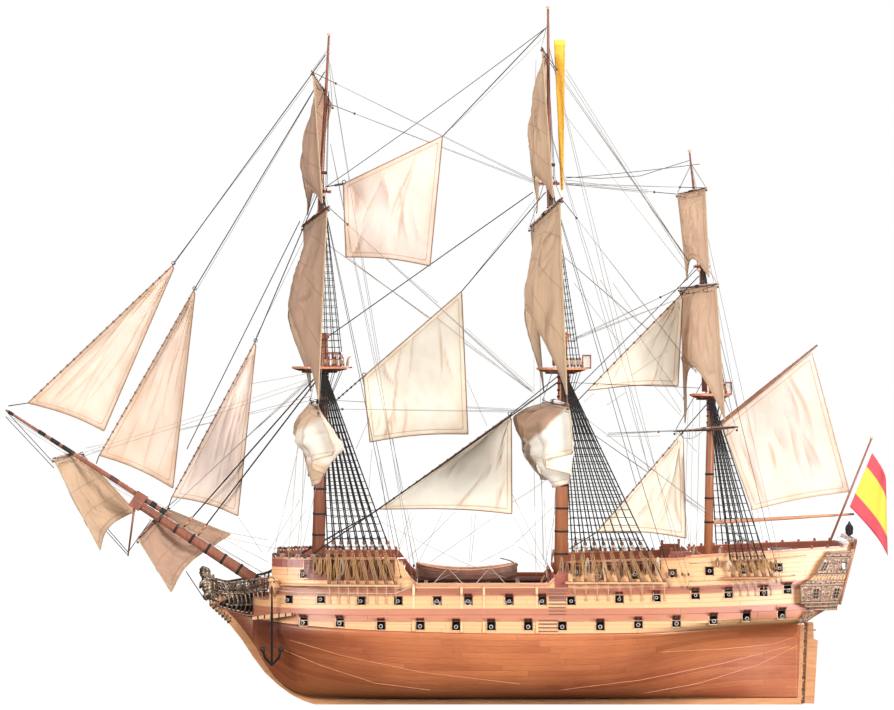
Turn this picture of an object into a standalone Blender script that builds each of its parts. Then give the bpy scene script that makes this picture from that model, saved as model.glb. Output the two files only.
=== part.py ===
"""Wooden display model of a three-masted tall ship, a two-deck ship of the line with her sails set.

Frame: +Z up, the bow towards -X, the port side towards -Y. The origin is on the underside of the
keel, midway between the two places where a stand holds it. Lengths below are in millimetres, and MM
turns them into Blender's metres.
"""

import math

import bmesh
import bpy
from mathutils import Vector

MM = 0.001
SEAT = 0.3  # clearance between a piece and what carries it

# Keel, stem and sternpost
KEEL_HALF_WIDTH = 3.0
KEEL_DEPTH = 6.4
STEM_FOOT_X = -214.0  # where the rabbet leaves the level keel
STEM_RABBET_X = -291.0  # where the rabbet stands upright
STEM_RISE = 57.6  # height of the rabbet's curved stretch
POST_X = 253.0  # fore side of the sternpost at the heel
POST_THICK = 5.6
POST_HEAD_Z = 80.0

# Hull form
HALF_BEAM = 75.0
BEAM_Z = 78.0
BOW_LENGTH = 150.0  # from the stem to the full beam
RUN_START_X = 90.0  # where the sides begin to close towards the stern
STERN_NARROWING = 25.0
TUMBLEHOME = 23.0  # at forecastle height amidships
TUMBLEHOME_ENDS = 8.0
TUCK_Z = 96.0
BAND_Z = 78.4  # lower edge of the lower gun band amidships
BAND_RISE_FORE = 8.0
BAND_RISE_AFT = 5.0
COUNTER_X = 257.0
TRANSOM_X = 285.0
COUNTER_Z = 103.0
TRANSOM_RAKE = 0.28

# Decks and rails, as (where it ends aft, deck height, rail height at its fore end and its aft end)
BULKHEAD_X = -272.0
WAIST_X = -138.0
QUARTER_X = 4.0
POOP_X = 140.0
TAFFRAIL_X = 282.0
BULWARK = 2.5
BEAK_Z = 108.5
FORECASTLE_Z = 124.0
WAIST_Z = 98.0
QUARTERDECK_Z = 125.0
POOP_Z = 143.5
POOP_RISE = 8.0  # the poop deck climbs this much by the taffrail
FORECASTLE_RAIL_Z = 150.0
BULKHEAD_RAIL_Z = 132.0
WAIST_RAIL_Z = 126.0
QUARTER_RAIL_Z = (146.5, 150.5)
POOP_RAIL_Z = (152.4, 160.8)
TAFFRAIL_Z = 165.0

# Upper edges of the lower gun band, wale, upper gun band and red band, as (amidships, fore, aft rise)
BAND_EDGES = [(91.0, -0.6, 2.0), (102.6, -1.0, 4.0), (115.2, -1.0, 6.0), (122.0, -1.4, 7.0)]
WALE_PROUD = 0.8
RED_BAND_PROUD = 0.5
RAIL_CAP_DEPTH = 1.4
RAIL_CAP_PROUD = 0.9

# Masts, as (foot x, foot z, head x, head z)
FORE_LOWER = (-226.6, FORECASTLE_Z, -219.4, 368.0)
MAIN_LOWER = (16.8, QUARTERDECK_Z, 20.0, 369.0)
MIZZEN_LOWER = (164.0, POOP_Z + 1.4, 167.4, 340.0)
FORE_TOPMAST = (-227.4, 338.0, -222.2, 530.0)
MAIN_TOPMAST = (12.0, 338.0, 5.0, 538.0)
MIZZEN_TOPMAST = (160.4, 312.0, 157.2, 448.0)
FORE_TRUCK = (-215.0, 671.0)
MAIN_TRUCK = (4.0, 698.0)
MIZZEN_TRUCK = (145.5, 554.5)

# Yards, as (centre x, centre z, half length, radius, port end aft of centre, port end above centre)
YARDS = {
    "fore_course_yard": (-229.6, 300.3, 160.0, 2.6, 12.5, -2.0),
    "fore_topsail_yard": (-229.2, 486.8, 120.0, 2.1, 20.0, 3.6),
    "fore_topgallant_yard": (-221.4, 615.0, 75.0, 1.4, -7.0, 9.5),
    "main_course_yard": (10.6, 302.2, 165.0, 2.7, 5.7, 0.2),
    "main_topsail_yard": (0.8, 490.3, 122.0, 2.1, 12.0, 8.0),
    "main_topgallant_yard": (1.1, 649.5, 75.0, 1.4, -6.4, -2.2),
    "crossjack_yard": (160.4, 274.9, 100.0, 1.8, 21.8, 5.0),
    "mizzen_topsail_yard": (153.8, 417.9, 75.0, 1.5, 12.4, 0.0),
    "mizzen_topgallant_yard": (147.2, 512.9, 50.0, 1.1, 10.2, 0.0),
    "sprit_topsail_yard": (-475.4, 248.8, 50.0, 1.5, -8.0, -1.4),
    "spritsail_yard": (-390.0, 182.2, 78.0, 1.9, -7.0, -12.0),
}

# Tops and crosstrees, as (top height, half length, half width) and (height, half length, half width)
TOPS = {"fore": (337.0, 28.0, 30.0), "main": (336.0, 24.0, 31.0), "mizzen": (310.0, 19.0, 22.0)}
CROSSTREES = {"fore": (514.0, 10.0, 15.0), "main": (522.0, 10.0, 15.0), "mizzen": (439.0, 8.0, 11.0)}
LOWER_MASTS = {"fore": FORE_LOWER, "main": MAIN_LOWER, "mizzen": MIZZEN_LOWER}
TOPMASTS = {"fore": FORE_TOPMAST, "main": MAIN_TOPMAST, "mizzen": MIZZEN_TOPMAST}
TRUCKS = {"fore": FORE_TRUCK, "main": MAIN_TRUCK, "mizzen": MIZZEN_TRUCK}
MAST_RADIUS = {"fore": 6.4, "main": 6.8, "mizzen": 4.4}
TOPMAST_RADII = {
    "fore": (3.6, 3.2, 2.4, 1.1), "main": (3.7, 3.3, 2.5, 1.1), "mizzen": (2.6, 2.3, 1.8, 0.9),
}

HINGE_X = 261.2  # the rudder's pintles, at the keel's underside
HINGE_RAKE = math.radians(2.2)

MATERIALS = {
    "hull_wood": ((0.45, 0.17, 0.08), 0.42, 0.0),
    "keel_wood": ((0.58, 0.27, 0.12), 0.45, 0.0),
    "band_wood": ((0.80, 0.55, 0.26), 0.45, 0.0),
    "spar_wood": ((0.32, 0.12, 0.06), 0.4, 0.0),
    "dark_wood": ((0.10, 0.05, 0.035), 0.5, 0.0),
    "cast_metal": ((0.32, 0.26, 0.17), 0.4, 0.8),
    "black_iron": ((0.02, 0.02, 0.02), 0.5, 0.6),
    "tarred_rope": ((0.02, 0.02, 0.02), 0.85, 0.0),
    "sailcloth": ((0.76, 0.60, 0.42), 0.85, 0.0),
    "flag_cloth": ((0.62, 0.05, 0.06), 0.8, 0.0),
    "pennant_cloth": ((0.85, 0.42, 0.06), 0.8, 0.0),
}


def clear_scene():
    for obj in list(bpy.data.objects):
        bpy.data.objects.remove(obj, do_unlink=True)


def material(name):
    found = bpy.data.materials.get(name)
    if found:
        return found
    colour, roughness, metallic = MATERIALS[name]
    made = bpy.data.materials.new(name)
    made.use_nodes = True
    shader = made.node_tree.nodes["Principled BSDF"]
    shader.inputs["Base Color"].default_value = (*colour, 1.0)
    shader.inputs["Roughness"].default_value = roughness
    shader.inputs["Metallic"].default_value = metallic
    return made


def solid(name, slot, points, faces, smooth=False, origin=(0, 0, 0)):
    """A mesh object from points in millimetres, with its faces turned outwards."""
    start = Vector(origin)
    shape = bmesh.new()
    verts = [shape.verts.new((Vector(p) - start) * MM) for p in points]
    for face in faces:
        shape.faces.new([verts[i] for i in face])
    bmesh.ops.recalc_face_normals(shape, faces=shape.faces)
    mesh = bpy.data.meshes.new(name)
    shape.to_mesh(mesh)
    shape.free()
    obj = bpy.data.objects.new(name, mesh)
    obj.location = start * MM
    bpy.context.scene.collection.objects.link(obj)
    mesh.materials.append(material(slot))
    if smooth:
        mesh.shade_smooth()
        mesh.set_sharp_from_angle(angle=math.radians(40))
    return obj


def loft(name, slot, rings, smooth=False, origin=(0, 0, 0)):
    """A closed solid through rings of as many points each, capped at both ends."""
    size = len(rings[0])
    points = [p for ring in rings for p in ring]
    faces = [list(range(size)), list(range(len(points) - size, len(points)))]
    for k in range(len(rings) - 1):
        for i in range(size):
            a = k * size + i
            b = k * size + (i + 1) % size
            faces.append([a, b, b + size, a + size])
    return solid(name, slot, points, faces, smooth, origin)


def box(name, slot, low, high):
    rings = [
        [(x, low[1], low[2]), (x, high[1], low[2]), (x, high[1], high[2]), (x, low[1], high[2])]
        for x in (low[0], high[0])
    ]
    return loft(name, slot, rings)


def ring(centre, across, up, radius, sides):
    turn = [2 * math.pi * (i + 0.5) / sides for i in range(sides)]
    return [centre + (across * math.cos(a) + up * math.sin(a)) * radius for a in turn]


def spar(name, slot, line, radii, sides=10):
    """A round stick along the points of line, with a radius at each."""
    points = [Vector(p) for p in line]
    rings = []
    for i, point in enumerate(points):
        ahead = (points[min(i + 1, len(points) - 1)] - points[max(i - 1, 0)]).normalized()
        across = ahead.cross((0, 1, 0) if abs(ahead.y) < 0.9 else (1, 0, 0)).normalized()
        rings.append(ring(point, across, across.cross(ahead), radii[i], sides))
    return loft(name, slot, rings, smooth=True)


def along(start, end, share):
    return Vector(start).lerp(Vector(end), share)


def hide(helper):
    helper.hide_render = True
    helper.display_type = "WIRE"


def combine(base, others, operation):
    for other in others:
        made = base.modifiers.new(other.name, "BOOLEAN")
        made.operation = operation
        made.object = other
        hide(other)
    return base


def fuse(base, *others):
    return combine(base, others, "UNION")


def cut(base, *others):
    return combine(base, others, "DIFFERENCE")


def smooth_step(value, low, high):
    t = min(max((value - low) / (high - low), 0.0), 1.0)
    return t * t * (3 - 2 * t)


def mix(low, high, share):
    return low + (high - low) * share


# Hull form: x runs along the ship at transom-foot height, and the stern's raked end leans aft

def rabbet_z(x):
    """Height of the planking's lowest line."""
    rise = min(max((STEM_FOOT_X - x) / (STEM_FOOT_X - STEM_RABBET_X), 0.0), 1.0)
    return KEEL_DEPTH + STEM_RISE * rise**3


def band_z(x):
    """Lower edge of the lower gun band, where the bottom planking ends."""
    if x < -10:
        return BAND_Z + BAND_RISE_FORE * ((-10 - x) / 245) ** 2
    side = BAND_Z + BAND_RISE_AFT * ((x + 10) / 267) ** 2
    return mix(side, COUNTER_Z, max((x - COUNTER_X) / (TRANSOM_X - COUNTER_X), 0.0) ** 0.8)


def beam_at(x):
    u = min(max((x - STEM_RABBET_X) / BOW_LENGTH, 0.0), 1.0)
    bow = KEEL_HALF_WIDTH + (HALF_BEAM - KEEL_HALF_WIDTH) * (1 - (1 - u) ** 2.6) ** 0.5
    aft = max(x - RUN_START_X, 0.0) / (COUNTER_X - RUN_START_X)
    return bow - STERN_NARROWING * aft**2


def half_breadth(x, z):
    """Half the hull's width at a height: a full bilge amidships, hollow towards both ends."""
    widest = beam_at(x)
    run = smooth_step(x, 20, COUNTER_X)
    wide_z = mix(BEAM_Z, TUCK_Z, run) + (COUNTER_Z - TUCK_Z) * smooth_step(x, COUNTER_X, TRANSOM_X)
    if z >= wide_z:
        sides = smooth_step(x, -262, -180) * (1 - smooth_step(x, 120, 250))
        lean = mix(TUMBLEHOME_ENDS, TUMBLEHOME, sides) * min(1.0, (x - STEM_RABBET_X) / 20)
        return widest - lean * ((z - wide_z) / (FORECASTLE_RAIL_Z - BEAM_Z)) ** 1.6
    low = rabbet_z(x)
    t = min(max((z - low) / (wide_z - low), 0.0), 1.0)
    full = (1 - (1 - t) ** 2.4) ** (1 / 2.4)
    hollow = t ** (1.2 + 8.3 * run**1.5)
    entry = 1 - smooth_step(x, STEM_RABBET_X, -120)
    share = mix(full, hollow, max(run, 0.75 * entry))
    return KEEL_HALF_WIDTH + (widest - KEEL_HALF_WIDTH) * share


def hull_x(x, z):
    lean = smooth_step(x, 200, TRANSOM_X) * TRANSOM_RAKE
    return x + lean * max(z - COUNTER_Z, 0.0)


def station_at(x, z):
    """The station whose raked section passes through x at a height."""
    station = x
    for _ in range(12):
        station = x - (hull_x(station, z) - station)
    return station


def side_at(x, z):
    """Half the hull's width at a point of the frame."""
    return half_breadth(min(station_at(x, z), TRANSOM_X), z)


def hull_point(x, y, z):
    return (hull_x(x, z), y, z)


BOTTOM_STATIONS = [
    -290.6, -286, -279, -270, -258, -244, -228, -210, -188, -160, -125, -80, -30, 30, 80, 120, 150,
    178, 200, 218, 232, 243, 252.6,
]
SIDE_STATIONS = [
    -290.6, -286, -279, BULKHEAD_X - 0.1, BULKHEAD_X, -269.6, -269.5, -258, -244, -228, -210, -188,
    -160, -146, WAIST_X - 0.1, WAIST_X, -128, -100, -60, -20, QUARTER_X, QUARTER_X + 0.1, 18, 50,
    80, 112, POOP_X - 0.1, POOP_X, 160, 185, 210, 230, 245, COUNTER_X, 266, 275, TAFFRAIL_X,
    TAFFRAIL_X + 0.1, TRANSOM_X,
]


def deck_z(x):
    if x < BULKHEAD_X:
        return BEAK_Z - 0.5
    if x <= -269.6:
        return BULKHEAD_RAIL_Z - 0.5
    if x < WAIST_X:
        return FORECASTLE_Z
    if x <= QUARTER_X:
        return WAIST_Z
    if x < POOP_X:
        return QUARTERDECK_Z
    if x <= TAFFRAIL_X:
        return POOP_Z + POOP_RISE * (x - POOP_X) / (TAFFRAIL_X - POOP_X)
    return TAFFRAIL_Z - 0.5


def rail_z(x):
    if x < BULKHEAD_X:
        return BEAK_Z
    if x <= -269.6:
        return BULKHEAD_RAIL_Z
    if x <= -146:
        return FORECASTLE_RAIL_Z
    if x <= -128:
        return mix(FORECASTLE_RAIL_Z, WAIST_RAIL_Z, (x + 146) / 18)
    if x <= QUARTER_X:
        return WAIST_RAIL_Z
    if x < 18:
        return mix(WAIST_RAIL_Z, QUARTER_RAIL_Z[0], (x - QUARTER_X) / 14)
    if x < POOP_X:
        return mix(*QUARTER_RAIL_Z, (x - 18) / (POOP_X - 18))
    if x <= TAFFRAIL_X:
        return mix(*POOP_RAIL_Z, (x - POOP_X) / (TAFFRAIL_X - POOP_X))
    return TAFFRAIL_Z


def mirrored(half):
    """A closed ring from its port half, which runs from the bottom to the top."""
    return half + [(x, -y, z) for x, y, z in reversed(half)]


def bottom_half(x):
    low = rabbet_z(x - SEAT) + SEAT
    heights = [mix(low, band_z(x), (j / 9) ** 1.15) for j in range(10)]
    return [hull_point(x, -half_breadth(x, z), z) for z in heights]


def sheer(x, middle, fore, aft):
    if x < -10:
        return middle + fore * ((-10 - x) / 245) ** 2
    return middle + aft * ((x + 10) / 267) ** 2


def band_marks(x):
    """The bands' edges at a station, from the bottom planking to the rail."""
    marks = [band_z(x) + SEAT, *[sheer(x, *edge) for edge in BAND_EDGES], rail_z(x)]
    for i in range(1, 5):
        marks[i] = max(marks[i], marks[i - 1] + 0.3)
    for i in range(4, 0, -1):
        marks[i] = min(marks[i], marks[i + 1] - 0.3)
    return marks


def side_half(x):
    """Port half of a station: the bands with their wales, the rail's cap, the bulwark and the deck."""
    low, wale_low, wale_high, red_low, red_high, top = band_marks(x)
    deck = deck_z(x)
    proud = max(smooth_step(x, -291, -276) * (1 - smooth_step(x, 236, 252)), 0.08)
    wale, red, cap = WALE_PROUD * proud, RED_BAND_PROUD * proud, RAIL_CAP_PROUD * proud
    cap_low = top - min(RAIL_CAP_DEPTH, (top - red_high) / 2)
    rows = [
        (low, 0), (wale_low, 0), (wale_low, wale), (wale_high, wale), (wale_high, 0), (red_low, 0),
        (red_low, red), (red_high, red), (red_high, 0), (mix(red_high, cap_low, 0.5), 0), (cap_low, 0),
        (cap_low, cap), (top, cap),
    ]
    half = [hull_point(x, -half_breadth(x, z) - out, z) for z, out in rows]
    inner_top = half_breadth(x, top)
    inner_deck = half_breadth(x, deck)
    half.append(hull_point(x, -max(inner_top - BULWARK, inner_top * 0.6), top))
    half.append(hull_point(x, -max(inner_deck - BULWARK, inner_deck * 0.6), deck))
    half.append(hull_point(x, -inner_deck * 0.3, deck + 0.4))
    return half


def build_hull():
    bottom = [mirrored(bottom_half(x)) for x in BOTTOM_STATIONS]
    loft("lower_hull", "hull_wood", bottom, smooth=True)
    sides = loft("topsides", "band_wood", [mirrored(side_half(x)) for x in SIDE_STATIONS], smooth=True)
    fuse(sides, *[cathead(side) for side in (-1, 1)])


CATHEAD_ROOT = (-256.0, 34.0, 126.0)
CATHEAD_TIP = (-268.5, 59.0, 130.0)
CATHEAD_HALF = 1.9


def cathead(side):
    root = Vector((CATHEAD_ROOT[0], side * CATHEAD_ROOT[1], CATHEAD_ROOT[2]))
    tip = Vector((CATHEAD_TIP[0], side * CATHEAD_TIP[1], CATHEAD_TIP[2]))
    name = "cathead_port" if side < 0 else "cathead_starboard"
    return spar(name, "band_wood", [root, tip], [CATHEAD_HALF * 1.4] * 2, sides=4)


def flat_plate(name, slot, outline, half_width):
    """A plate of the outline in the ship's centre plane."""
    rings = [[(x, side * half_width, z) for x, z in outline] for side in (-1, 1)]
    return loft(name, slot, rings)


STEM_OUTER = [
    (-229, 0), (-240, 3.6), (-252, 9.5), (-265, 19), (-279, 32), (-291, 48), (-302, 65), (-314, 80),
    (-325, 91), (-334, 98),
]
HEAD_KNEE = [
    (-335, 103), (-328, 103.6), (-325, 109.6), (-313, 108), (-299, 110.2), (-297.5, 115.6),
    (-291.3, 115.6),
]


def build_keel():
    inner = [(STEM_RABBET_X, STEM_RISE + KEEL_DEPTH)]
    for i in range(1, 9):
        x = mix(STEM_RABBET_X, STEM_FOOT_X, i / 8)
        inner.append((x, rabbet_z(x)))
    lean = math.tan(HINGE_RAKE)
    post = [
        (POST_X + KEEL_DEPTH * lean, KEEL_DEPTH),
        (POST_X + POST_HEAD_Z * lean, POST_HEAD_Z),
        (POST_X + POST_THICK + POST_HEAD_Z * lean, POST_HEAD_Z),
        (POST_X + POST_THICK, 0),
    ]
    outline = STEM_OUTER + HEAD_KNEE + inner + post
    flat_plate("keel", "keel_wood", outline, KEEL_HALF_WIDTH)


RUDDER_HALF = 2.0
RUDDER_CHORD = 10.6
RUDDER_STOCK_CHORD = 7.6
RUDDER_FOOT_Z = 1.0
RUDDER_SHOULDER_Z = 64.6
RUDDER_HEAD_Z = 82.4


def rudder_ring(z, chord):
    """The blade across its height: a round fore edge on the pintles, straight sides behind it."""
    fore = []
    for i in range(7):
        a = math.pi * (0.5 + i / 6)
        fore.append((RUDDER_HALF * math.cos(a), RUDDER_HALF * math.sin(a), z))
    return fore + [(chord - RUDDER_HALF, -RUDDER_HALF, z), (chord - RUDDER_HALF, RUDDER_HALF, z)]


def build_rudder():
    levels = [
        (RUDDER_FOOT_Z, RUDDER_CHORD), (RUDDER_SHOULDER_Z, RUDDER_CHORD + 1.2),
        (RUDDER_SHOULDER_Z + 1.5, RUDDER_STOCK_CHORD), (RUDDER_HEAD_Z, RUDDER_STOCK_CHORD - 1),
    ]
    rudder = loft("rudder", "keel_wood", [rudder_ring(z, chord) for z, chord in levels])
    rudder.location = (HINGE_X * MM, 0, 0)
    rudder.rotation_euler = (0, HINGE_RAKE, 0)


GALLERY_GAP = 0.9
# Quarter gallery levels, as (height, fore end x, width); each runs aft to the transom
GALLERY_LEVELS = [
    (98.5, 263, 2.0), (102, 255, 6.0), (107, 248, 8.5), (124, 248, 9.0), (128, 256, 8.5),
    (134, 263, 8.5), (150, 273, 8.0), (156, 277, 5.0),
]
GALLERY_DROP = [(-4, 5.2, 99.5, 3.4), (-9, 5.2, 93, 2.4), (-11.5, 5.0, 88.5, 2.6), (-10, 4.8, 86.8, 1.2)]
TRANSOM_HALF = 44.0
TRANSOM_THICK = 3.0


def build_stern():
    """The carved stern: the transom's facing, a gallery on each quarter and the poop lantern."""
    face = []
    for offset in (SEAT, SEAT + TRANSOM_THICK):
        half = []
        for z in (COUNTER_Z + 1, 118, 133, 148, TAFFRAIL_Z + 3):
            reach = max(half_breadth(TRANSOM_X, z) + 3, TRANSOM_HALF - (z - COUNTER_Z) * 0.05)
            half.append((hull_x(TRANSOM_X, z) + offset, -reach, z))
        face.append(mirrored(half))
    stern = loft("stern_gallery", "cast_metal", face)
    galleries = []
    for side, word in ((-1, "port"), (1, "starboard")):
        rings = []
        for z, fore, width in GALLERY_LEVELS:
            aft = hull_x(TRANSOM_X, z) + SEAT + 0.6
            spots = [mix(fore, aft, k / 4) for k in range(5)]
            sides = [side_at(x, max(z, COUNTER_Z + 1)) for x in spots]
            inner = [(x, side * (y + GALLERY_GAP), z) for x, y in zip(spots, sides)]
            outer = [(x, side * (y + width), z) for x, y in zip(spots, sides)]
            rings.append(inner + outer[::-1])
        galleries.append(loft("gallery_" + word, "cast_metal", rings))
        line = [(265 + dx, side * (side_at(265, 103) + dy), z) for dx, dy, z, _ in GALLERY_DROP]
        galleries.append(spar("drop_" + word, "cast_metal", line, [drop[3] for drop in GALLERY_DROP], 6))
    top = hull_x(TRANSOM_X, TAFFRAIL_Z) + SEAT + TRANSOM_THICK / 2
    post = spar("lantern_post", "cast_metal", [(top, 0, TAFFRAIL_Z), (top + 1, 0, 170)], [1.2, 1.2], 6)
    lantern = spar(
        "lantern", "cast_metal",
        [(top + 1, 0, z) for z in (168.5, 170, 176, 179, 183)], [1.5, 3.2, 3.6, 2.4, 0.5], 8,
    )
    fuse(stern, *galleries, post, lantern)


# Figurehead and head rails
FIGURE_SPINE = [
    (-331.8, 104.0, 2.4), (-333.4, 109, 3.8), (-336, 115, 4.6), (-337, 121, 4.9), (-337.6, 127, 3.6),
    (-338.6, 130, 4.4), (-338.8, 134.5, 4.5), (-337.6, 138, 2.4),
]
RAIL_HALF = 1.1


def build_figurehead():
    line = [(x, 0, z) for x, z, _ in FIGURE_SPINE]
    spar("figurehead", "cast_metal", line, [r for _, _, r in FIGURE_SPINE], sides=8)


def rail_point(route, x, side):
    """The point of a rail's route at x, on one side of the ship."""
    for (x0, y0, z0), (x1, y1, z1) in zip(route, route[1:]):
        if x <= x1:
            share = (x - x0) / (x1 - x0)
            return (x, side * mix(y0, y1, share), mix(z0, z1, share))
    return route[-1]


UPPER_RAIL = [(-331, 5.2, 125), (-318, 9, 121.5), (-300, 20, 124), (BULKHEAD_X - 1.3, 36, 130)]
LOWER_RAIL = [(-329, 4.6, 112), (-312, 9, 110.8), (-297, 17, 112.5), (BULKHEAD_X - 1.3, 36, 119)]
HEAD_TIMBERS = [-327.0, -309.0, -291.0]
HEAD_PLATFORM = [(-321, 3.4), (-306, 12), (-299.6, 15)]
HEAD_PLATFORM_Z = (110.7, 112.3)


def build_head_rails():
    """The beakhead's platform on the knee, with its rails running aft and out to the bulkhead."""
    half = [[(x, -y, z) for x, y in HEAD_PLATFORM] for z in HEAD_PLATFORM_Z]
    platform = loft("head_rails", "dark_wood", [mirrored(level) for level in half])
    parts = []
    for side, word in ((-1, "port"), (1, "starboard")):
        for route, level in ((UPPER_RAIL, "upper"), (LOWER_RAIL, "lower")):
            line = [rail_point(route, x, side) for x, _, _ in route]
            parts.append(spar(f"{level}_rail_{word}", "dark_wood", line, [RAIL_HALF] * 4, 6))
        for x in HEAD_TIMBERS:
            post = [rail_point(LOWER_RAIL, x, side), rail_point(UPPER_RAIL, x, side)]
            parts.append(spar(f"timber_{word}_{int(-x)}", "dark_wood", post, [RAIL_HALF] * 2, 6))
    fuse(platform, *parts)


# Channels, as (fore end x, aft end x, height)
CHANNELS = {"fore": (-259.0, -143.0, 125.0), "main": (18.0, 116.0, 127.5), "mizzen": (172.0, 222.0, 132.0)}
CHANNEL_WIDTH = 9.0
CHANNEL_HALF_THICK = 0.9
# Lower shrouds of each side, as (first foot x, last foot x, how many, height of the upper deadeyes)
SHROUDS = {
    "fore": (-211.5, -147.0, 8, 157.0), "main": (27.0, 114.0, 9, 156.0), "mizzen": (181.0, 219.0, 6, 148.0),
}
SHROUD_RADIUS = 0.55
SHROUD_INSET = 1.8  # from the channel's outer edge to the shrouds' feet
DEADEYE_RADIUS = 1.9
DEADEYE_HALF = 0.8
COLLAR_DROP = 8.0  # the shrouds are looped around the mast this far under the top
COLLAR_HALF = 1.0
COLLAR_REACH = 3.4


def mast_x(mast, z):
    return mix(mast[0], mast[2], (z - mast[1]) / (mast[3] - mast[1]))


def mast_point(mast, z):
    return (mast_x(mast, z), 0, z)


def mast_radius(word, z):
    """A lower mast's radius at a height between its hounds and its top."""
    return MAST_RADIUS[word] * mix(0.84, 0.56, (z - TOPS[word][0] + 24) / 24)


def shroud_line(word, side, k):
    """A lower shroud, as its foot on the channel, its upper deadeye and its head at the mast."""
    first, last, count, eye_z = SHROUDS[word]
    share = k / (count - 1)
    z = CHANNELS[word][2]
    head_z = TOPS[word][0] - COLLAR_DROP
    x = mix(first, last, share)
    foot = Vector((x, side * (side_at(x, z) + CHANNEL_WIDTH - SHROUD_INSET), z))
    head_y = mast_radius(word, head_z - 2) + SEAT + COLLAR_HALF
    head_x = mast_x(LOWER_MASTS[word], head_z) + mix(-0.8, 0.8, share) * COLLAR_REACH
    head = Vector((head_x, side * head_y, head_z))
    return foot, foot.lerp(head, (eye_z - z) / (head_z - z)), head


def deadeye(name, spot, radius=DEADEYE_RADIUS):
    across = Vector((0, DEADEYE_HALF, 0))
    return spar(name, "band_wood", [spot - across, spot + across], [radius] * 2, 8)


def shroud_gang(word, side):
    """One side's lower shrouds with their deadeyes, and the collar that joins their heads."""
    mast = LOWER_MASTS[word]
    gang = []
    for k in range(SHROUDS[word][2]):
        foot, eye, head = shroud_line(word, side, k)
        name = f"{word}_shroud_{k}"
        gang.append(spar(name, "band_wood", [foot, head], [SHROUD_RADIUS] * 2, 4))
        gang.append(deadeye(name + "_low", foot + Vector((0, 0, CHANNEL_HALF_THICK + DEADEYE_RADIUS - 0.3))))
        gang.append(deadeye(name + "_high", eye))
    x, y, z = mast_x(mast, head.z), abs(head.y), head.z
    inner, outer = side * (y - COLLAR_HALF), side * (y + COLLAR_HALF)
    low = (x - COLLAR_REACH, min(inner, outer), z - 1.8)
    high = (x + COLLAR_REACH, max(inner, outer), z + 1.2)
    gang.append(box(word + "_collar", "band_wood", low, high))
    return gang


def build_channels():
    """The channels on the sides, each with the shrouds that it spreads."""
    for mast, (fore, aft, z) in CHANNELS.items():
        for side, word in ((-1, "port"), (1, "starboard")):
            rings = []
            for i in range(9):
                x = mix(fore, aft, i / 8)
                inner = half_breadth(x, z - CHANNEL_HALF_THICK) + SEAT
                outer = half_breadth(x, z) + CHANNEL_WIDTH
                low, high = z - CHANNEL_HALF_THICK, z + CHANNEL_HALF_THICK
                edge = [(inner, low), (outer, low), (outer, high), (inner, high)]
                rings.append([(hull_x(x, z), side * y, height) for y, height in edge])
            channel = loft(f"{mast}_channel_{word}", "band_wood", rings)
            fuse(channel, *shroud_gang(mast, side))


ANCHOR_X = -268.0
ANCHOR_Y = 58.0


def build_anchors():
    for side, word in ((-1, "port"), (1, "starboard")):
        y = side * ANCHOR_Y
        shank = spar(
            f"anchor_{word}", "black_iron",
            [(ANCHOR_X, y, 46), (ANCHOR_X, y, 96), (ANCHOR_X, y, 126.8)], [1.3, 1.1, 0.7], 6,
        )
        arms = spar(
            f"anchor_arms_{word}", "black_iron",
            [(ANCHOR_X + dx, y, z) for dx, z in ((-9.5, 62), (-6.5, 53), (0, 46.5), (6.5, 53), (9.5, 62))],
            [0.8, 1.6, 1.5, 1.6, 0.8], 6,
        )
        stock = spar(
            f"anchor_stock_{word}", "black_iron",
            [(ANCHOR_X - 20, y * 0.95, 91.5), (ANCHOR_X, y, 94), (ANCHOR_X + 21, y * 1.09, 96.5)],
            [1.8, 2.9, 1.8], 4,
        )
        fuse(shank, arms, stock)


SKID_Z = 122.4
SKID_THICK = 3.2
GANGWAY_WIDTH = 11.0
SKID_BEAMS = [-118.0, -88.0, -56.0, -26.0]


def build_skid_beams():
    """The gangways along the waist's sides, joined by the beams that carry the boat."""
    low, high = SKID_Z - SKID_THICK, SKID_Z
    ends = (WAIST_X + 0.4, QUARTER_X - 0.3)
    walks = []
    for side, word in ((-1, "port"), (1, "starboard")):
        rings = []
        for i in range(7):
            x = mix(*ends, i / 6)
            outer = half_breadth(x, rail_z(x)) - BULWARK - 0.8
            inner = outer - GANGWAY_WIDTH
            edge = [(inner, low), (outer, low), (outer, high), (inner, high)]
            rings.append([(x, side * y, z) for y, z in edge])
        walks.append(loft("gangway_" + word, "dark_wood", rings))
    beams = []
    for x in SKID_BEAMS:
        reach = half_breadth(x, high) - BULWARK - 4
        corners = ((x - 2, -reach, low + 0.4), (x + 2, reach, high - 0.4))
        beams.append(box(f"beam_{int(-x)}", "dark_wood", *corners))
    skids = walks[0]
    skids.name = "skid_beams"
    fuse(skids, *beams, walks[1])


BOAT_X = (-128.0, -27.0)
BOAT_Z = SKID_Z - 0.1
BOAT_HALF_BEAM = 12.0
BOAT_DEPTH = 13.0
BOAT_SKIN = 1.1


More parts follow.
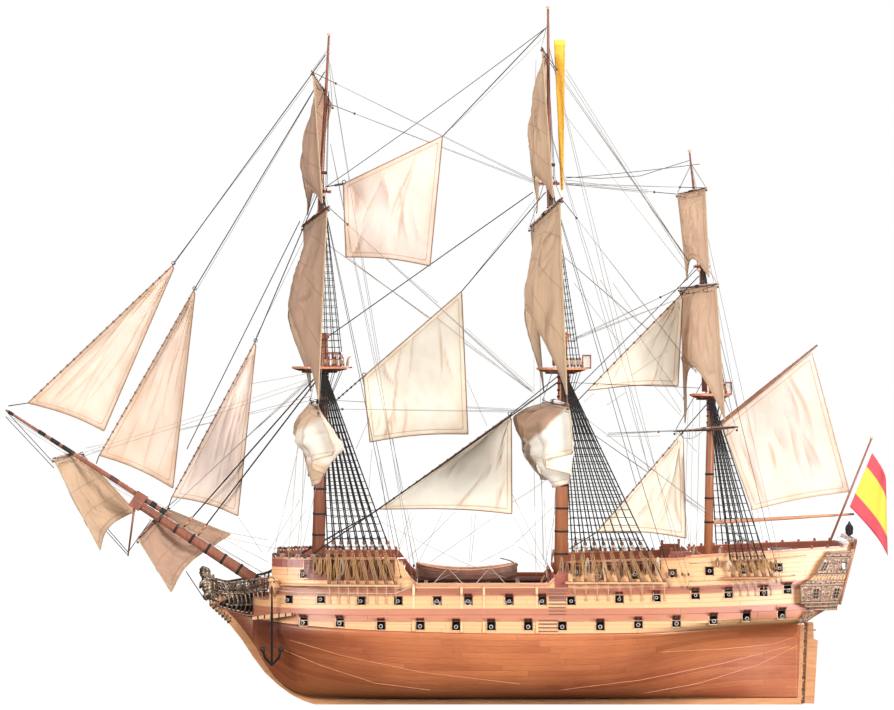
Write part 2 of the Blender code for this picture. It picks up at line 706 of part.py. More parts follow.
def boat_half(x):
    """The boat's port half: round bilge outside, hollow inside, with raised ends."""
    u = (x - BOAT_X[0]) / (BOAT_X[1] - BOAT_X[0])
    beam = BOAT_HALF_BEAM * max(1 - abs(2 * u - 1.04) ** 2.6, 0.08) ** 0.6
    keel = BOAT_Z + 4 * abs(2 * u - 1) ** 4
    gunwale = BOAT_Z + BOAT_DEPTH + 6 * abs(2 * u - 1) ** 2.5
    inner = max(beam - BOAT_SKIN, beam * 0.4)
    floor = keel + 2.4 if 0.06 < u < 0.95 else gunwale - 0.4
    outer = [(x, -beam * s, mix(keel, gunwale, t)) for s, t in ((0.12, 0), (0.72, 0.25), (0.95, 0.6), (1, 1))]
    inside = [(x, -inner * s, mix(floor, gunwale, t)) for s, t in ((1, 1), (0.93, 0.55), (0.6, 0.0))]
    return outer + inside


def build_longboat():
    shares = [0, 0.03, 0.06, 0.061, 0.12, 0.25, 0.4, 0.55, 0.7, 0.84, 0.949, 0.951, 1]
    stations = [mix(*BOAT_X, u) for u in shares]
    loft("longboat", "dark_wood", [mirrored(boat_half(x)) for x in stations], smooth=True)


# Bowsprit and jibboom
BOWSPRIT_HEEL = (-275.9, 0, 116.3)
BOWSPRIT_HEAD = (-407.0, 0, 201.0)
BOWSPRIT_RADII = (6.0, 5.6, 4.0)
JIBBOOM_HEEL = (-374.0, 0, 188.6)
JIBBOOM_HEAD = (-538.0, 0, 294.0)
JIBBOOM_RADII = (2.7, 2.6, 1.2)
STRIKER_FOOT = (-416.0, 0, 148.0)


def build_bowsprit():
    heel, head = Vector(BOWSPRIT_HEEL), Vector(BOWSPRIT_HEAD)
    stick = spar("bowsprit", "spar_wood", [heel, along(heel, head, 0.4), head], BOWSPRIT_RADII, 12)
    ahead = (head - heel).normalized()
    above = Vector((0, 1, 0)).cross(ahead)
    above = above if above.z > 0 else -above
    low, high = head - above * 5.5, head + above * 12
    cap = spar("bowsprit_cap", "spar_wood", [low, high], [8.2, 8.2], 4)
    striker = spar("dolphin_striker", "spar_wood", [low + above, Vector(STRIKER_FOOT)], [1.4, 0.9], 6)
    hole = spar(
        "jibboom_hole", "spar_wood",
        [along(JIBBOOM_HEEL, JIBBOOM_HEAD, 0.02), along(JIBBOOM_HEEL, JIBBOOM_HEAD, 0.45)],
        [JIBBOOM_RADII[0] + SEAT] * 2, 12,
    )
    fuse(stick, cap, striker)
    cut(stick, hole)
    spar(
        "jibboom", "spar_wood",
        [JIBBOOM_HEEL, along(JIBBOOM_HEEL, JIBBOOM_HEAD, 0.4), JIBBOOM_HEAD], JIBBOOM_RADII, 10,
    )


# The forestay and its preventer run beside the centre plane, clear of the staysail's leech
FORE_STAYS = [((-225.9, -2.6, 329.5), (-360.0, -2.2, 177.0)), ((-225.9, -2.6, 325.5), (-346.0, -2.2, 168.1))]
STAY_RADIUS = 0.7
STAY_COLLAR = ((-226.8, -3.6, 324.4), (-225.5, -1.6, 330.6))


def build_fore_stays():
    """Both stays from the foremast's head to the bowsprit, each with its heart near the lower end."""
    collar = box("fore_stay", "tarred_rope", *STAY_COLLAR)
    parts = []
    for k, (start, end) in enumerate(FORE_STAYS):
        head, foot = Vector(start), Vector(end)
        ahead = (head - foot).normalized()
        heart = foot + ahead * 12
        spots = [heart - ahead * 2.2, heart, heart + ahead * 2.2]
        parts.append(spar(f"stay_{k}", "tarred_rope", [head, foot], [STAY_RADIUS] * 2, 6))
        parts.append(spar(f"heart_{k}", "tarred_rope", spots, [0.9, DEADEYE_RADIUS, 0.9], 6))
    fuse(collar, *parts)


# Masts
DECK_GAP = 0.75
FENCE_HEIGHT = 15.0
FENCE_THICK = 1.4
FENCE_WIDTH = 0.6  # share of the top's half width
LANTERNS = {"main": ((38.0, -4.5), (47.0, 4.5), 13.0), "mizzen": ((180.5, -3.5), (187.5, 3.5), 12.0)}


def top_centre(word):
    z, long_half, _ = TOPS[word]
    return mast_x(LOWER_MASTS[word], z) - long_half * 0.12


def top_fence(word):
    """The fence around the after part of the fore top."""
    z, _, wide_half = TOPS[word]
    fore, aft = top_centre(word) - 1, top_centre(word) + 21
    y = wide_half * FENCE_WIDTH
    half = FENCE_THICK / 2
    parts = [
        box(word + "_fence_aft", "spar_wood", (aft - half, -y, z + FENCE_HEIGHT - FENCE_THICK),
            (aft + half, y, z + FENCE_HEIGHT)),
    ]
    for side in (-1, 1):
        name = f"{word}_fence_{side}"
        low, high = side * y - half, side * y + half
        parts.append(box(name, "spar_wood", (fore, low, z + FENCE_HEIGHT - FENCE_THICK), (aft, high, z + FENCE_HEIGHT)))
        for k, x in enumerate((fore + half, (fore + aft) / 2, aft)):
            parts.append(box(f"{name}_post_{k}", "spar_wood", (x - half, low, z - 0.6), (x + half, high, z + FENCE_HEIGHT)))
    return parts


def top_lantern(word):
    (x0, y0), (x1, y1), height = LANTERNS[word]
    z = TOPS[word][0]
    return box(word + "_lantern", "spar_wood", (x0, y0, z - 0.6), (x1, y1, z + height))


def build_lower_mast(word):
    """A lower mast with its round-fronted top, the trestles under it and the cap above."""
    name, mast, radius = word + "_mast", LOWER_MASTS[word], MAST_RADIUS[word]
    top_z, long_half, wide_half = TOPS[word]
    levels = [mast[1] + DECK_GAP, mix(mast[1], top_z, 0.5), top_z - 24, top_z, mast[3] + 3]
    radii = [radius, radius * 0.97, radius * 0.84, radius * 0.56, radius * 0.52]
    stick = spar(name, "spar_wood", [mast_point(mast, z) for z in levels], radii, 12)
    centre = top_centre(word)
    outline = [(long_half, -wide_half), (long_half, wide_half)]
    for i in range(7):
        a = math.pi * (0.5 + i / 6)
        outline.append((long_half * math.cos(a), wide_half * math.sin(a)))
    rings = [[(centre + x, y, top_z + dz) for x, y in outline] for dz in (-1.8, 0)]
    platform = loft(name + "_top", "spar_wood", rings)
    cheeks = box(
        name + "_cheeks", "spar_wood",
        (centre - long_half * 0.62, -radius, top_z - 6), (centre + long_half * 0.6, radius, top_z - 1),
    )
    mast_head = mast_x(mast, mast[3])
    cap = box(
        name + "_cap", "spar_wood",
        (mast_head - 12.5, -radius * 0.8, mast[3] - 2.5), (mast_head + radius * 0.8, radius * 0.8, mast[3] + 1),
    )
    fuse(stick, platform, cheeks, cap, *(top_fence(word) if word == "fore" else [top_lantern(word)]))
    line = TOPMASTS[word]
    ends = [mast_point(line, line[1] + 1), mast_point(line, line[1] + 60)]
    cut(stick, spar(word + "_cap_hole", "spar_wood", ends, [TOPMAST_RADII[word][0] + SEAT] * 2, 12))


TOPMAST_SHROUDS = 4
TOPMAST_SHROUD_RADIUS = 0.42
TOPMAST_EYE_RADIUS = 1.3


def topmast_shroud(word, side, k):
    """A topmast shroud, as its foot just over the top's edge and its head at the crosstrees."""
    top_z, long_half, wide_half = TOPS[word]
    cross_z = CROSSTREES[word][0]
    share = k / (TOPMAST_SHROUDS - 1)
    foot = (top_centre(word) + mix(-0.02, 0.78, share) * long_half, side * (wide_half - 2), top_z + 0.75)
    head = (mast_x(TOPMASTS[word], cross_z) + mix(-1.5, 2.5, share), side * 2.0, cross_z - 1.2)
    return Vector(foot), Vector(head)


def build_topmast(word):
    """A topmast with its crosstrees and shrouds, and the topgallant mast above it up to the truck."""
    name, mast, truck, radii = word + "_topmast", TOPMASTS[word], TRUCKS[word], TOPMAST_RADII[word]
    cross_z, long_half, wide_half = CROSSTREES[word]
    heel_gap = 0.35
    foot = (mast[0], 0, mast[1] + heel_gap)
    head = (mast[2], 0, mast[3])
    line = [foot, mast_point(mast, cross_z - 4), head, (truck[0], 0, truck[1] - 3)]
    line += [(truck[0], 0, truck[1] - 2.6), (truck[0], 0, truck[1])]
    stick = spar(name, "spar_wood", line, [*radii, radii[3] + 1.1, 0.9], 10)
    x = mast_x(mast, cross_z)
    trees = box(
        name + "_crosstrees", "spar_wood",
        (x - 1.6, -wide_half, cross_z - 1.2), (x + 1.6, wide_half, cross_z),
    )
    trestle = box(
        name + "_trestle", "spar_wood",
        (x - long_half, -2.2, cross_z - 2), (x + long_half, 2.2, cross_z - 0.4),
    )
    parts = [trees, trestle]
    for side in (-1, 1):
        for k in range(TOPMAST_SHROUDS):
            foot, head = topmast_shroud(word, side, k)
            rope = f"{word}_topmast_shroud_{side}_{k}"
            parts.append(spar(rope, "spar_wood", [foot, head], [TOPMAST_SHROUD_RADIUS] * 2, 4))
            eye = foot + Vector((0, 0, TOPMAST_EYE_RADIUS + 0.1))
            parts.append(deadeye(rope + "_eye", eye, TOPMAST_EYE_RADIUS))
    fuse(stick, *parts)


def build_masts():
    for word in LOWER_MASTS:
        build_lower_mast(word)
        build_topmast(word)
    build_fore_stays()


# Yards, gaff and boom
def yard_point(name, share):
    """A point on a yard's line: -1 at its port end, 1 at its starboard end."""
    x, z, half, _, aft, up = YARDS[name]
    return Vector((x - share * aft, share * half, z - share * up))


def build_yards():
    for name, values in YARDS.items():
        radius = values[3]
        line = [yard_point(name, share) for share in (-1, -0.55, 0, 0.55, 1)]
        spar(name, "spar_wood", line, [radius * 0.45, radius * 0.85, radius, radius * 0.85, radius * 0.45], 8)


GAFF = ((166.2, 272.5), (274.5, 359.0))  # from the mizzen mast's axis
BOOM = ((164.6, 181.4), (312.0, 189.5))
GAFF_RADII = (1.9, 1.1)
BOOM_RADII = (2.1, 1.3)
SWING = math.radians(3.9)  # the spanker rests this far to starboard, clear of the ensign staff


def swung(x, z):
    """A point of the spanker's plane, which stands on the mizzen mast's axis."""
    root = mast_x(MIZZEN_LOWER, z)
    reach = x - root
    return (root + reach * math.cos(SWING), reach * math.sin(SWING), z)


def build_gaff_and_boom():
    for name, ends, radii, clear in (("gaff", GAFF, GAFF_RADII, 6.8), ("boom", BOOM, BOOM_RADII, 4.8)):
        start, end = Vector(swung(*ends[0])), Vector(swung(*ends[1]))
        start = start + (end - start).normalized() * clear
        spar(name, "spar_wood", [start, along(start, end, 0.5), end], [radii[0], radii[0], radii[1]], 8)


# Sails
SAIL_HALF_THICK = 0.4
ROPE_RADIUS = 0.55


def patch(corners, belly, arch, across, up):
    """A sail's middle surface as rows from its foot to its head. Corners are foot start, foot end,
    head start and head end; belly is the push at its fullest, and arch how far the foot is cut up."""
    foot_a, foot_b, head_a, head_b = [Vector(c) for c in corners]
    push = Vector(belly)
    rows = []
    for j in range(up + 1):
        row = []
        for i in range(across + 1):
            u = i / across
            low, high = foot_a.lerp(foot_b, u), head_a.lerp(head_b, u)
            hollow = math.sin(math.pi * u)
            cut_up = min(arch * hollow / (high - low).length, 0.9)
            v = cut_up + (1 - cut_up) * j / up
            full = math.sin(math.pi * (1 - v) * 0.9) ** 1.3 if v < 1 else 0.0
            row.append(low.lerp(high, v) + push * hollow**0.8 * full)
        rows.append(row)
    return rows


def plate(name, slot, rows, half_thick=SAIL_HALF_THICK):
    """A thin closed plate about the surface that the rows give."""
    tall, wide = len(rows), len(rows[0])
    points = []
    for side in (-1, 1):
        for j in range(tall):
            for i in range(wide):
                along_row = rows[j][min(i + 1, wide - 1)] - rows[j][max(i - 1, 0)]
                along_column = rows[min(j + 1, tall - 1)][i] - rows[max(j - 1, 0)][i]
                normal = along_row.cross(along_column).normalized()
                points.append(rows[j][i] + normal * side * half_thick)
    layer = tall * wide
    faces = []
    for j in range(tall - 1):
        for i in range(wide - 1):
            a = j * wide + i
            faces.append([a, a + 1, a + wide + 1])
            faces.append([a, a + wide + 1, a + wide])
            faces.append([layer + a, layer + a + wide + 1, layer + a + 1])
            faces.append([layer + a, layer + a + wide, layer + a + wide + 1])
    edge = [i for i in range(wide)]
    edge += [j * wide + wide - 1 for j in range(1, tall)]
    edge += [(tall - 1) * wide + i for i in range(wide - 2, -1, -1)]
    edge += [j * wide for j in range(tall - 2, 0, -1)]
    for k, a in enumerate(edge):
        b = edge[(k + 1) % len(edge)]
        faces.append([a, b, layer + b, layer + a])
    return solid(name, slot, points, faces, smooth=True)


def centre(x, z, y=0.0):
    return (x, y, z)


# Staysails, as (stay route, foot start, foot end, head start, head end, belly to starboard).
# A point is (x, z), or (x, z, y) where it lies off the centre plane.
STAYSAILS = {
    "flying_jib": (
        [(-218.3, 649), (-371, 439), (-516, 301), (-535.5, 298.1)],
        (-516, 301), (-440, 273), (-371.2, 438.8), (-370.2, 435.4), 9,
    ),
    "jib": (
        [(-219.3, 632), (-350, 414), (-445, 248), (-447.6, 240.4)],
        (-444.6, 248.6), (-371, 216), (-350.2, 413.6), (-349, 410.4), 9,
    ),
    "fore_topmast_staysail": (
        [(-226.3, 510), (-289, 362), (-372, 207), (-376.4, 194.9)],
        (-371.8, 207.4), (-306, 188), (-289.2, 361.6), (-288, 358), 7,
    ),
    "main_topgallant_staysail": (
        [(1.9, 676), (-101, 568), (-201, 520), (-218, 517.2)],
        (-198, 447), (-114, 438), (-200.8, 520.1), (-101.4, 567.8), 8,
    ),
    "main_topmast_staysail": (
        [(1.7, 512), (-82, 413), (-181, 327), (-215.9, 296.7)],
        (-174, 262), (-76, 270), (-180.6, 327.3), (-82.4, 412.6), 8,
    ),
    "main_staysail": (
        [(13.4, 327.5), (-34, 289, 1.6), (-166, 194, 6.0), (-270.8, 133.2, 9.6)],
        (-165.4, 194.5, 6.0), (-32, 190, 3), (-35, 288.3, 1.6), (-32.6, 284.6, 1.7), 8,
    ),
    "mizzen_topmast_staysail": (
        [(155, 428), (43, 313), (25.6, 294.6)],
        (43.6, 313.6), (134, 318), (136.6, 409.1), (138.4, 405), 7,
    ),
    "mizzen_staysail": (
        [(162.5, 299.6), (137, 270), (53, 172), (25.2, 155)],
        (53.4, 172.5), (142, 166), (136.6, 269.5), (139, 266), 7,
    ),
}


def build_staysails():
    for name, (route, foot_a, foot_b, head_a, head_b, belly) in STAYSAILS.items():
        corners = [centre(*foot_a), centre(*foot_b), centre(*head_a), centre(*head_b)]
        rows = patch(corners, (0, belly, 0), 3.0, 6, 7)
        sail = plate(name, "sailcloth", rows)
        line = [centre(*point) for point in route]
        stay = spar(name + "_stay", "sailcloth", line, [ROPE_RADIUS] * len(line), 4)
        fuse(sail, stay)


# Square sails, as (yard, lower yard, head share, foot share, belly forward, arch of the foot)
SQUARE_SAILS = {
    "fore_topsail": ("fore_topsail_yard", "fore_course_yard", 0.86, 0.9, 26, 62),
    "fore_topgallant_sail": ("fore_topgallant_yard", "fore_topsail_yard", 0.85, 0.55, 16, 26),
    "main_topsail": ("main_topsail_yard", "main_course_yard", 0.86, 0.9, 24, 66),
    "main_topgallant_sail": ("main_topgallant_yard", "main_topsail_yard", 0.85, 0.5, 15, 30),
    "mizzen_topsail": ("mizzen_topsail_yard", "crossjack_yard", 0.9, 0.62, 10, 55),
    "mizzen_topgallant_sail": ("mizzen_topgallant_yard", "mizzen_topsail_yard", 0.9, 0.55, 6, 20),
}
HEAD_DROP = 0.3  # the head hangs this much under the yard's skin
CLEW_RISE = 6.0


def build_square_sails():
    for name, (yard, lower, head_share, foot_share, belly, arch) in SQUARE_SAILS.items():
        drop = Vector((0, 0, YARDS[yard][3] + HEAD_DROP))
        rise = Vector((0, 0, YARDS[lower][3] + CLEW_RISE))
        corners = [
            yard_point(lower, -foot_share) + rise, yard_point(lower, foot_share) + rise,
            yard_point(yard, -head_share) - drop, yard_point(yard, head_share) - drop,
        ]
        rows = patch(corners, (-belly, 0, 0), arch, 8, 8)
        plate(name, "sailcloth", rows)


def build_courses():
    """The courses hang gathered under their yards, with their clews hauled up."""
    for name, yard, depth, push in (
        ("fore_course", "fore_course_yard", 74, -14), ("main_course", "main_course_yard", 76, -14),
    ):
        drop = Vector((0, 0, YARDS[yard][3] + HEAD_DROP))
        rows = []
        for j in range(6):
            v = j / 5
            row = []
            for i in range(11):
                share = mix(-0.86, 0.86, i / 10)
                hang = depth * (0.42 + 0.58 * abs(math.sin(math.pi * share * 1.05)) ** 1.5)
                head = yard_point(yard, share) - drop
                row.append(head + Vector((push * math.sin(math.pi * v * 0.85), 0, -hang * v)))
            rows.append(row)
        plate(name, "sailcloth", rows)


SPANKER_CORNERS = ((209, 194), (307, 212), (178, 278.8), (269, 351.4))


def build_spanker():
    corners = [swung(x, z) for x, z in SPANKER_CORNERS]
    rows = patch(corners, (0, 9, 0), 2, 7, 7)
    plate("spanker", "sailcloth", rows)


def build_head_sails():
    yard = "sprit_topsail_yard"
    drop = Vector((0, 0, YARDS[yard][3] + HEAD_DROP))
    corners = [
        (-437, -50, 158), (-414, 44, 190), yard_point(yard, -0.9) - drop, yard_point(yard, 0.9) - drop,
    ]
    plate("sprit_topsail", "sailcloth", patch(corners, (-10, 0, -8), 8, 6, 6))
    yard = "spritsail_yard"
    drop = Vector((0, 0, YARDS[yard][3] + HEAD_DROP))
    corners = [
        (-366, -62, 118), (-318, 55, 166), yard_point(yard, -0.9) - drop, yard_point(yard, 0.9) - drop,
    ]
    plate("spritsail", "sailcloth", patch(corners, (-9, 0, -9), 8, 6, 6))


STAFF = ((281.8, 152.3), (327.5, 266.0))
HOIST = ((305.7, 197.3), (328.0, 251.0))
FLY = ((344.0, 148.4), (342.3, 219.7))


def build_ensign():
    """The ensign on its staff, hanging in folds from two ties."""
    foot, head = centre(*STAFF[0]), centre(*STAFF[1])
    staff = spar("ensign", "spar_wood", [foot, head], [1.3, 0.9], 8)
    staff.data.materials.clear()
    staff.data.materials.append(material("flag_cloth"))
    rows = []
    for j in range(7):
        near = along(centre(*HOIST[0]), centre(*HOIST[1]), j / 6)
        far = along(centre(*FLY[0]), centre(*FLY[1]), j / 6)
        row = []
        for i in range(7):
            u = i / 6
            fold = (3 * math.sin(math.pi * u), 4.5 * math.sin(2.2 * math.pi * u) * u, 0)
            row.append(near.lerp(far, u) + Vector(fold))
        rows.append(row)
    flag = plate("ensign_fly", "flag_cloth", rows)
    ties = []
    for k, (x, z) in enumerate((HOIST[0], HOIST[1])):
        share = (z + 1 - STAFF[0][1]) / (STAFF[1][1] - STAFF[0][1])
        pull = 1 if k == 0 else -1
        ends = [along(foot, head, share), (x + 1.2, 0, z + pull)]
        ties.append(spar(f"tie_{k}", "flag_cloth", ends, [0.5, 0.5], 4))
    fuse(staff, flag, *ties)


def build_pennant():
    rows = []
    for j in range(9):
        v = j / 8
        middle = Vector((mix(18, 15.5, v), 1.5 * math.sin(3 * math.pi * v), mix(514, 664, v)))
        half = mix(1.2, 5.6, v)
        rows.append([middle - Vector((half, 0, 0)), middle + Vector((half, 0, 0))])
    plate("pennant", "pennant_cloth", rows)


def main():
    clear_scene()
    build_keel()
    build_hull()
    build_stern()
    build_rudder()
    build_figurehead()
    build_head_rails()
    build_channels()
    build_anchors()
    build_skid_beams()
    build_longboat()
    build_bowsprit()
    build_masts()
    build_yards()
    build_gaff_and_boom()
    build_square_sails()
    build_courses()
    build_staysails()
    build_spanker()
    build_head_sails()
    build_ensign()
    build_pennant()


main()
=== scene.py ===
"""Looks of the wooden tall ship model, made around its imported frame.

Lengths are in millimetres and MM turns them into metres. The bow is towards -X and port is -Y. The
hull's form repeats the construction's own functions, so that the dressed hull lies on its solids.
"""

import math
import random

import bpy
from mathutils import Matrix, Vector, noise


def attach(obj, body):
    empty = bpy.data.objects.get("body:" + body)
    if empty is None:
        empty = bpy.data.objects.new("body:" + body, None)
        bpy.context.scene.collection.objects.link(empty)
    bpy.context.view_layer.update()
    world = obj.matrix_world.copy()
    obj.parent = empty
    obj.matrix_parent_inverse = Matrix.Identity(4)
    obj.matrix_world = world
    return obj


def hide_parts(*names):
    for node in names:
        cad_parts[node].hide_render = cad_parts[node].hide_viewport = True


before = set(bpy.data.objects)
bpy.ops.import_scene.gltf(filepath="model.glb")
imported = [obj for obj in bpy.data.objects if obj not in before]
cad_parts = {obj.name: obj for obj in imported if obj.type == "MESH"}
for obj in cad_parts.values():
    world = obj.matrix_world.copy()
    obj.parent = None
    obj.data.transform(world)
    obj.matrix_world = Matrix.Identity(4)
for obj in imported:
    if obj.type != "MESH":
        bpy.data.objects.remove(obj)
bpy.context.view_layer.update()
MM = 0.001
BOTH = (-1, 1)  # port and starboard
SIDES = ((-1, "port"), (1, "starboard"))
AFTWARD = Vector((1, 0, 0))
STARBOARD = Vector((0, 1, 0))
UP = Vector((0, 0, 1))
# The hanks' turns are a little off the quarters: at exact quarters a tube would lose its width
HANK_TURNS = (0.0, 1.57, 3.14, 4.71, 6.28)
HEAD_TURNS = [0.785 * k for k in range(9)]
DICE = random.Random(7)

# Camera: level, at the height of the photograph's middle
CAMERA_PLACE = Vector((-0.097, -2.5, 0.349))
CAMERA_LENS = 100.7
MIDDLE_PX = (447.0, 355.0)  # the photograph's middle pixel, which the camera looks at

# Hull form, as in the construction
SEAT = 0.3
KEEL_HALF_WIDTH = 3.0
KEEL_DEPTH = 6.4
STEM_FOOT_X = -214.0
STEM_RABBET_X = -291.0
STEM_RISE = 57.6
HALF_BEAM = 75.0
BEAM_Z = 78.0
BOW_LENGTH = 150.0
RUN_START_X = 90.0
STERN_NARROWING = 25.0
TUMBLEHOME = 23.0
TUMBLEHOME_ENDS = 8.0
TUCK_Z = 96.0
BAND_Z = 78.4
BAND_RISE_FORE = 8.0
BAND_RISE_AFT = 5.0
SHEER_LOW_X = -10.0  # where the sheer is lowest, and how far it rises from there each way
SHEER_FORE = 245.0
SHEER_AFT = 267.0
COUNTER_X = 257.0
TRANSOM_X = 285.0
COUNTER_Z = 103.0
TRANSOM_RAKE = 0.28
POST_FORE_X = 253.0
POST_AFT_X = 258.6
POST_LEAN = math.tan(math.radians(2.2))
BULKHEAD_X = -272.0
BULKHEAD_AFT_X = -269.6
WAIST_RAIL_X = (-146.0, -128.0)  # where the rail steps down to the waist
QUARTER_RAIL_X = 18.0
WAIST_X = -138.0
QUARTER_X = 4.0
POOP_X = 140.0
TAFFRAIL_X = 282.0
BULWARK = 2.5
BEAK_Z = 108.5
FORECASTLE_Z = 124.0
WAIST_Z = 98.0
QUARTERDECK_Z = 125.0
POOP_Z = 143.5
POOP_RISE = 8.0
FORECASTLE_RAIL_Z = 150.0
BULKHEAD_RAIL_Z = 132.0
WAIST_RAIL_Z = 126.0
QUARTER_RAIL_Z = (146.5, 150.5)
POOP_RAIL_Z = (152.4, 160.8)
TAFFRAIL_Z = 165.0

# Upper edges of the lower gun band, wale, upper gun band and red band, as (amidships, fore, aft rise)
BAND_EDGES = ((91.0, -0.6, 2.0), (102.6, -1.0, 4.0), (115.2, -1.0, 6.0), (122.0, -1.4, 7.0))
# How far each band stands proud, how many rows of faces it has, and its planks (0: one each 4.4 mm)
BANDS = ((0.0, 4, 3), (0.8, 3, 2), (0.0, 4, 3), (0.5, 2, 2), (0.0, 6, 0))
RAIL_CAP_DEPTH = 1.4
RAIL_CAP_PROUD = 0.9
PLANK = 4.4
PLANK_LENGTH = 95.0
INNER_PLANKS = 70  # the number of the bulwarks' first plank
DECK_CROWN = 0.4

# Looks: stretches of the grain, shadowed creases and stitching of sailcloth, its hem's distance from the
# edge in millimetres, and where the bottom turns darker on the bow, ahead of the origin and above the floor,
# in metres
EVEN = (1.0, 1.0, 1.0)
ALONG_HULL = (0.12, 1.0, 1.0)
UPRIGHT = (1.0, 1.0, 0.08)
ATHWART = (1.0, 0.08, 1.0)
CREASE = (0.58, 0.34, 0.20)
STITCH = (0.42, 0.26, 0.16)
HEM = 4.6
BOW_DARK_FORE = (0.195, 0.262)
BOW_DARK_HIGH = (0.046, 0.084)

# Masts, as (foot x, foot z, head x, head z), and their trucks, as (x, z)
LOWER_MASTS = {
    "fore": (-226.6, FORECASTLE_Z, -219.4, 368.0), "main": (16.8, QUARTERDECK_Z, 20.0, 369.0),
    "mizzen": (164.0, POOP_Z + 1.4, 167.4, 340.0),
}
TOPMASTS = {
    "fore": (-227.4, 338.0, -222.2, 530.0), "main": (12.0, 338.0, 5.0, 538.0),
    "mizzen": (160.4, 312.0, 157.2, 448.0),
}
TRUCKS = {"fore": (-215.0, 671.0), "main": (4.0, 698.0), "mizzen": (145.5, 554.5)}
# Tops and crosstrees, as (top height, half length, half width) and (height, half length, half width)
TOPS = {"fore": (337.0, 28.0, 30.0), "main": (336.0, 24.0, 31.0), "mizzen": (310.0, 19.0, 22.0)}
CROSSTREES = {"fore": (514.0, 10.0, 15.0), "main": (522.0, 10.0, 15.0), "mizzen": (439.0, 8.0, 11.0)}
MAST_RADIUS = {"fore": 6.4, "main": 6.8, "mizzen": 4.4}
# Radii of each topmast at its heel, its crosstrees, its head and its truck
TOPMAST_RADII = {
    "fore": (3.6, 3.2, 2.4, 1.1), "main": (3.7, 3.3, 2.5, 1.1), "mizzen": (2.6, 2.3, 1.8, 0.9),
}
DECK_GAP = 0.75
FENCE_HEIGHT = 15.0
FENCE_THICK = 1.4
FENCE_WIDTH = 0.6
# Lanterns on the tops, as (fore corner, after corner, height)
LANTERNS = {"main": ((38.0, -4.5), (47.0, 4.5), 13.0), "mizzen": ((180.5, -3.5), (187.5, 3.5), 12.0)}

# Channels, as (fore end x, aft end x, height)
CHANNELS = {"fore": (-259.0, -143.0, 125.0), "main": (18.0, 116.0, 127.5), "mizzen": (172.0, 222.0, 132.0)}
CHANNEL_WIDTH = 9.0
CHANNEL_HALF_THICK = 0.9
# Lower shrouds of each side, as (first foot x, last foot x, how many, height of the upper deadeyes)
SHROUDS = {
    "fore": (-211.5, -147.0, 8, 157.0), "main": (27.0, 114.0, 9, 156.0), "mizzen": (181.0, 219.0, 6, 148.0),
}
SHROUD_INSET = 1.8
SHROUD_COVER = 0.65
RATLINE = 0.36
DEADEYE_RADIUS = 1.9
COLLAR_DROP = 8.0
COLLAR_HALF = 1.0
COLLAR_REACH = 3.4
FORE_STAYS = [((-225.9, -2.6, 329.5), (-360.0, -2.2, 177.0)), ((-225.9, -2.6, 325.5), (-346.0, -2.2, 168.1))]
TOPMAST_SHROUDS = 4

# Yards, as (centre x, centre z, half length, radius, port end aft, port end up)
YARDS = {
    "fore_course_yard": (-229.6, 300.3, 160.0, 2.6, 12.5, -2.0),
    "fore_topsail_yard": (-229.2, 486.8, 120.0, 2.1, 20.0, 3.6),
    "fore_topgallant_yard": (-221.4, 615.0, 75.0, 1.4, -7.0, 9.5),
    "main_course_yard": (10.6, 302.2, 165.0, 2.7, 5.7, 0.2),
    "main_topsail_yard": (0.8, 490.3, 122.0, 2.1, 12.0, 8.0),
    "main_topgallant_yard": (1.1, 649.5, 75.0, 1.4, -6.4, -2.2),
    "crossjack_yard": (160.4, 274.9, 100.0, 1.8, 21.8, 5.0),
    "mizzen_topsail_yard": (153.8, 417.9, 75.0, 1.5, 12.4, 0.0),
    "mizzen_topgallant_yard": (147.2, 512.9, 50.0, 1.1, 10.2, 0.0),
    "sprit_topsail_yard": (-475.4, 248.8, 50.0, 1.5, -8.0, -1.4),
    "spritsail_yard": (-390.0, 182.2, 78.0, 1.9, -7.0, -12.0),
}


def smooth_step(value, low, high):
    t = min(max((value - low) / (high - low), 0.0), 1.0)
    return t * t * (3 - 2 * t)


def mix(low, high, share):
    return low + (high - low) * share


# Materials
class Wire:
    """A node's output, on which arithmetic adds math nodes."""

    def __init__(self, tree, socket):
        self.tree = tree
        self.socket = socket

    def maths(self, operation, first, second=0.0):
        return node(self.tree, "Math", {0: first, 1: second}, operation=operation)

    def __add__(self, other):
        return self.maths("ADD", self, other)

    def __sub__(self, other):
        return self.maths("SUBTRACT", self, other)

    def __rsub__(self, other):
        return self.maths("SUBTRACT", other, self)

    def __mul__(self, other):
        return self.maths("MULTIPLY", self, other)

    def __truediv__(self, other):
        return self.maths("DIVIDE", self, other)

    def __abs__(self):
        return self.maths("ABSOLUTE", self)

    def floor(self):
        return self.maths("FLOOR", self)

    def fract(self):
        return self.maths("FRACT", self)

    def at_least(self, other):
        return self.maths("MAXIMUM", self, other)

    def ramp(self, low, high):
        """0 up to low, 1 from high on, and even between them."""
        return node(self.tree, "MapRange", {0: self, 1: low, 2: high}, clamp=True)


def node(tree, kind, inputs=None, output=0, **settings):
    """An output of a new node, whose inputs are values or other outputs."""
    made = tree.nodes.new("ShaderNode" + kind)
    for key, value in settings.items():
        setattr(made, key, value)
    for key, value in (inputs or {}).items():
        if isinstance(value, Wire):
            tree.links.new(value.socket, made.inputs[key])
        else:
            made.inputs[key].default_value = value
    return Wire(tree, made.outputs[output])


def split(tree, vector):
    parts = node(tree, "SeparateXYZ", {0: vector}).socket.node.outputs
    return [Wire(tree, part) for part in parts]


def world_place(tree):
    return split(tree, node(tree, "NewGeometry", output="Position"))


def blend(share, first, second):
    """A colour between two, each an (r, g, b) or an output."""
    first, second = [c if isinstance(c, Wire) else (*c, 1.0) for c in (first, second)]
    return node(share.tree, "Mix", {0: share, 6: first, 7: second}, 2, data_type="RGBA")


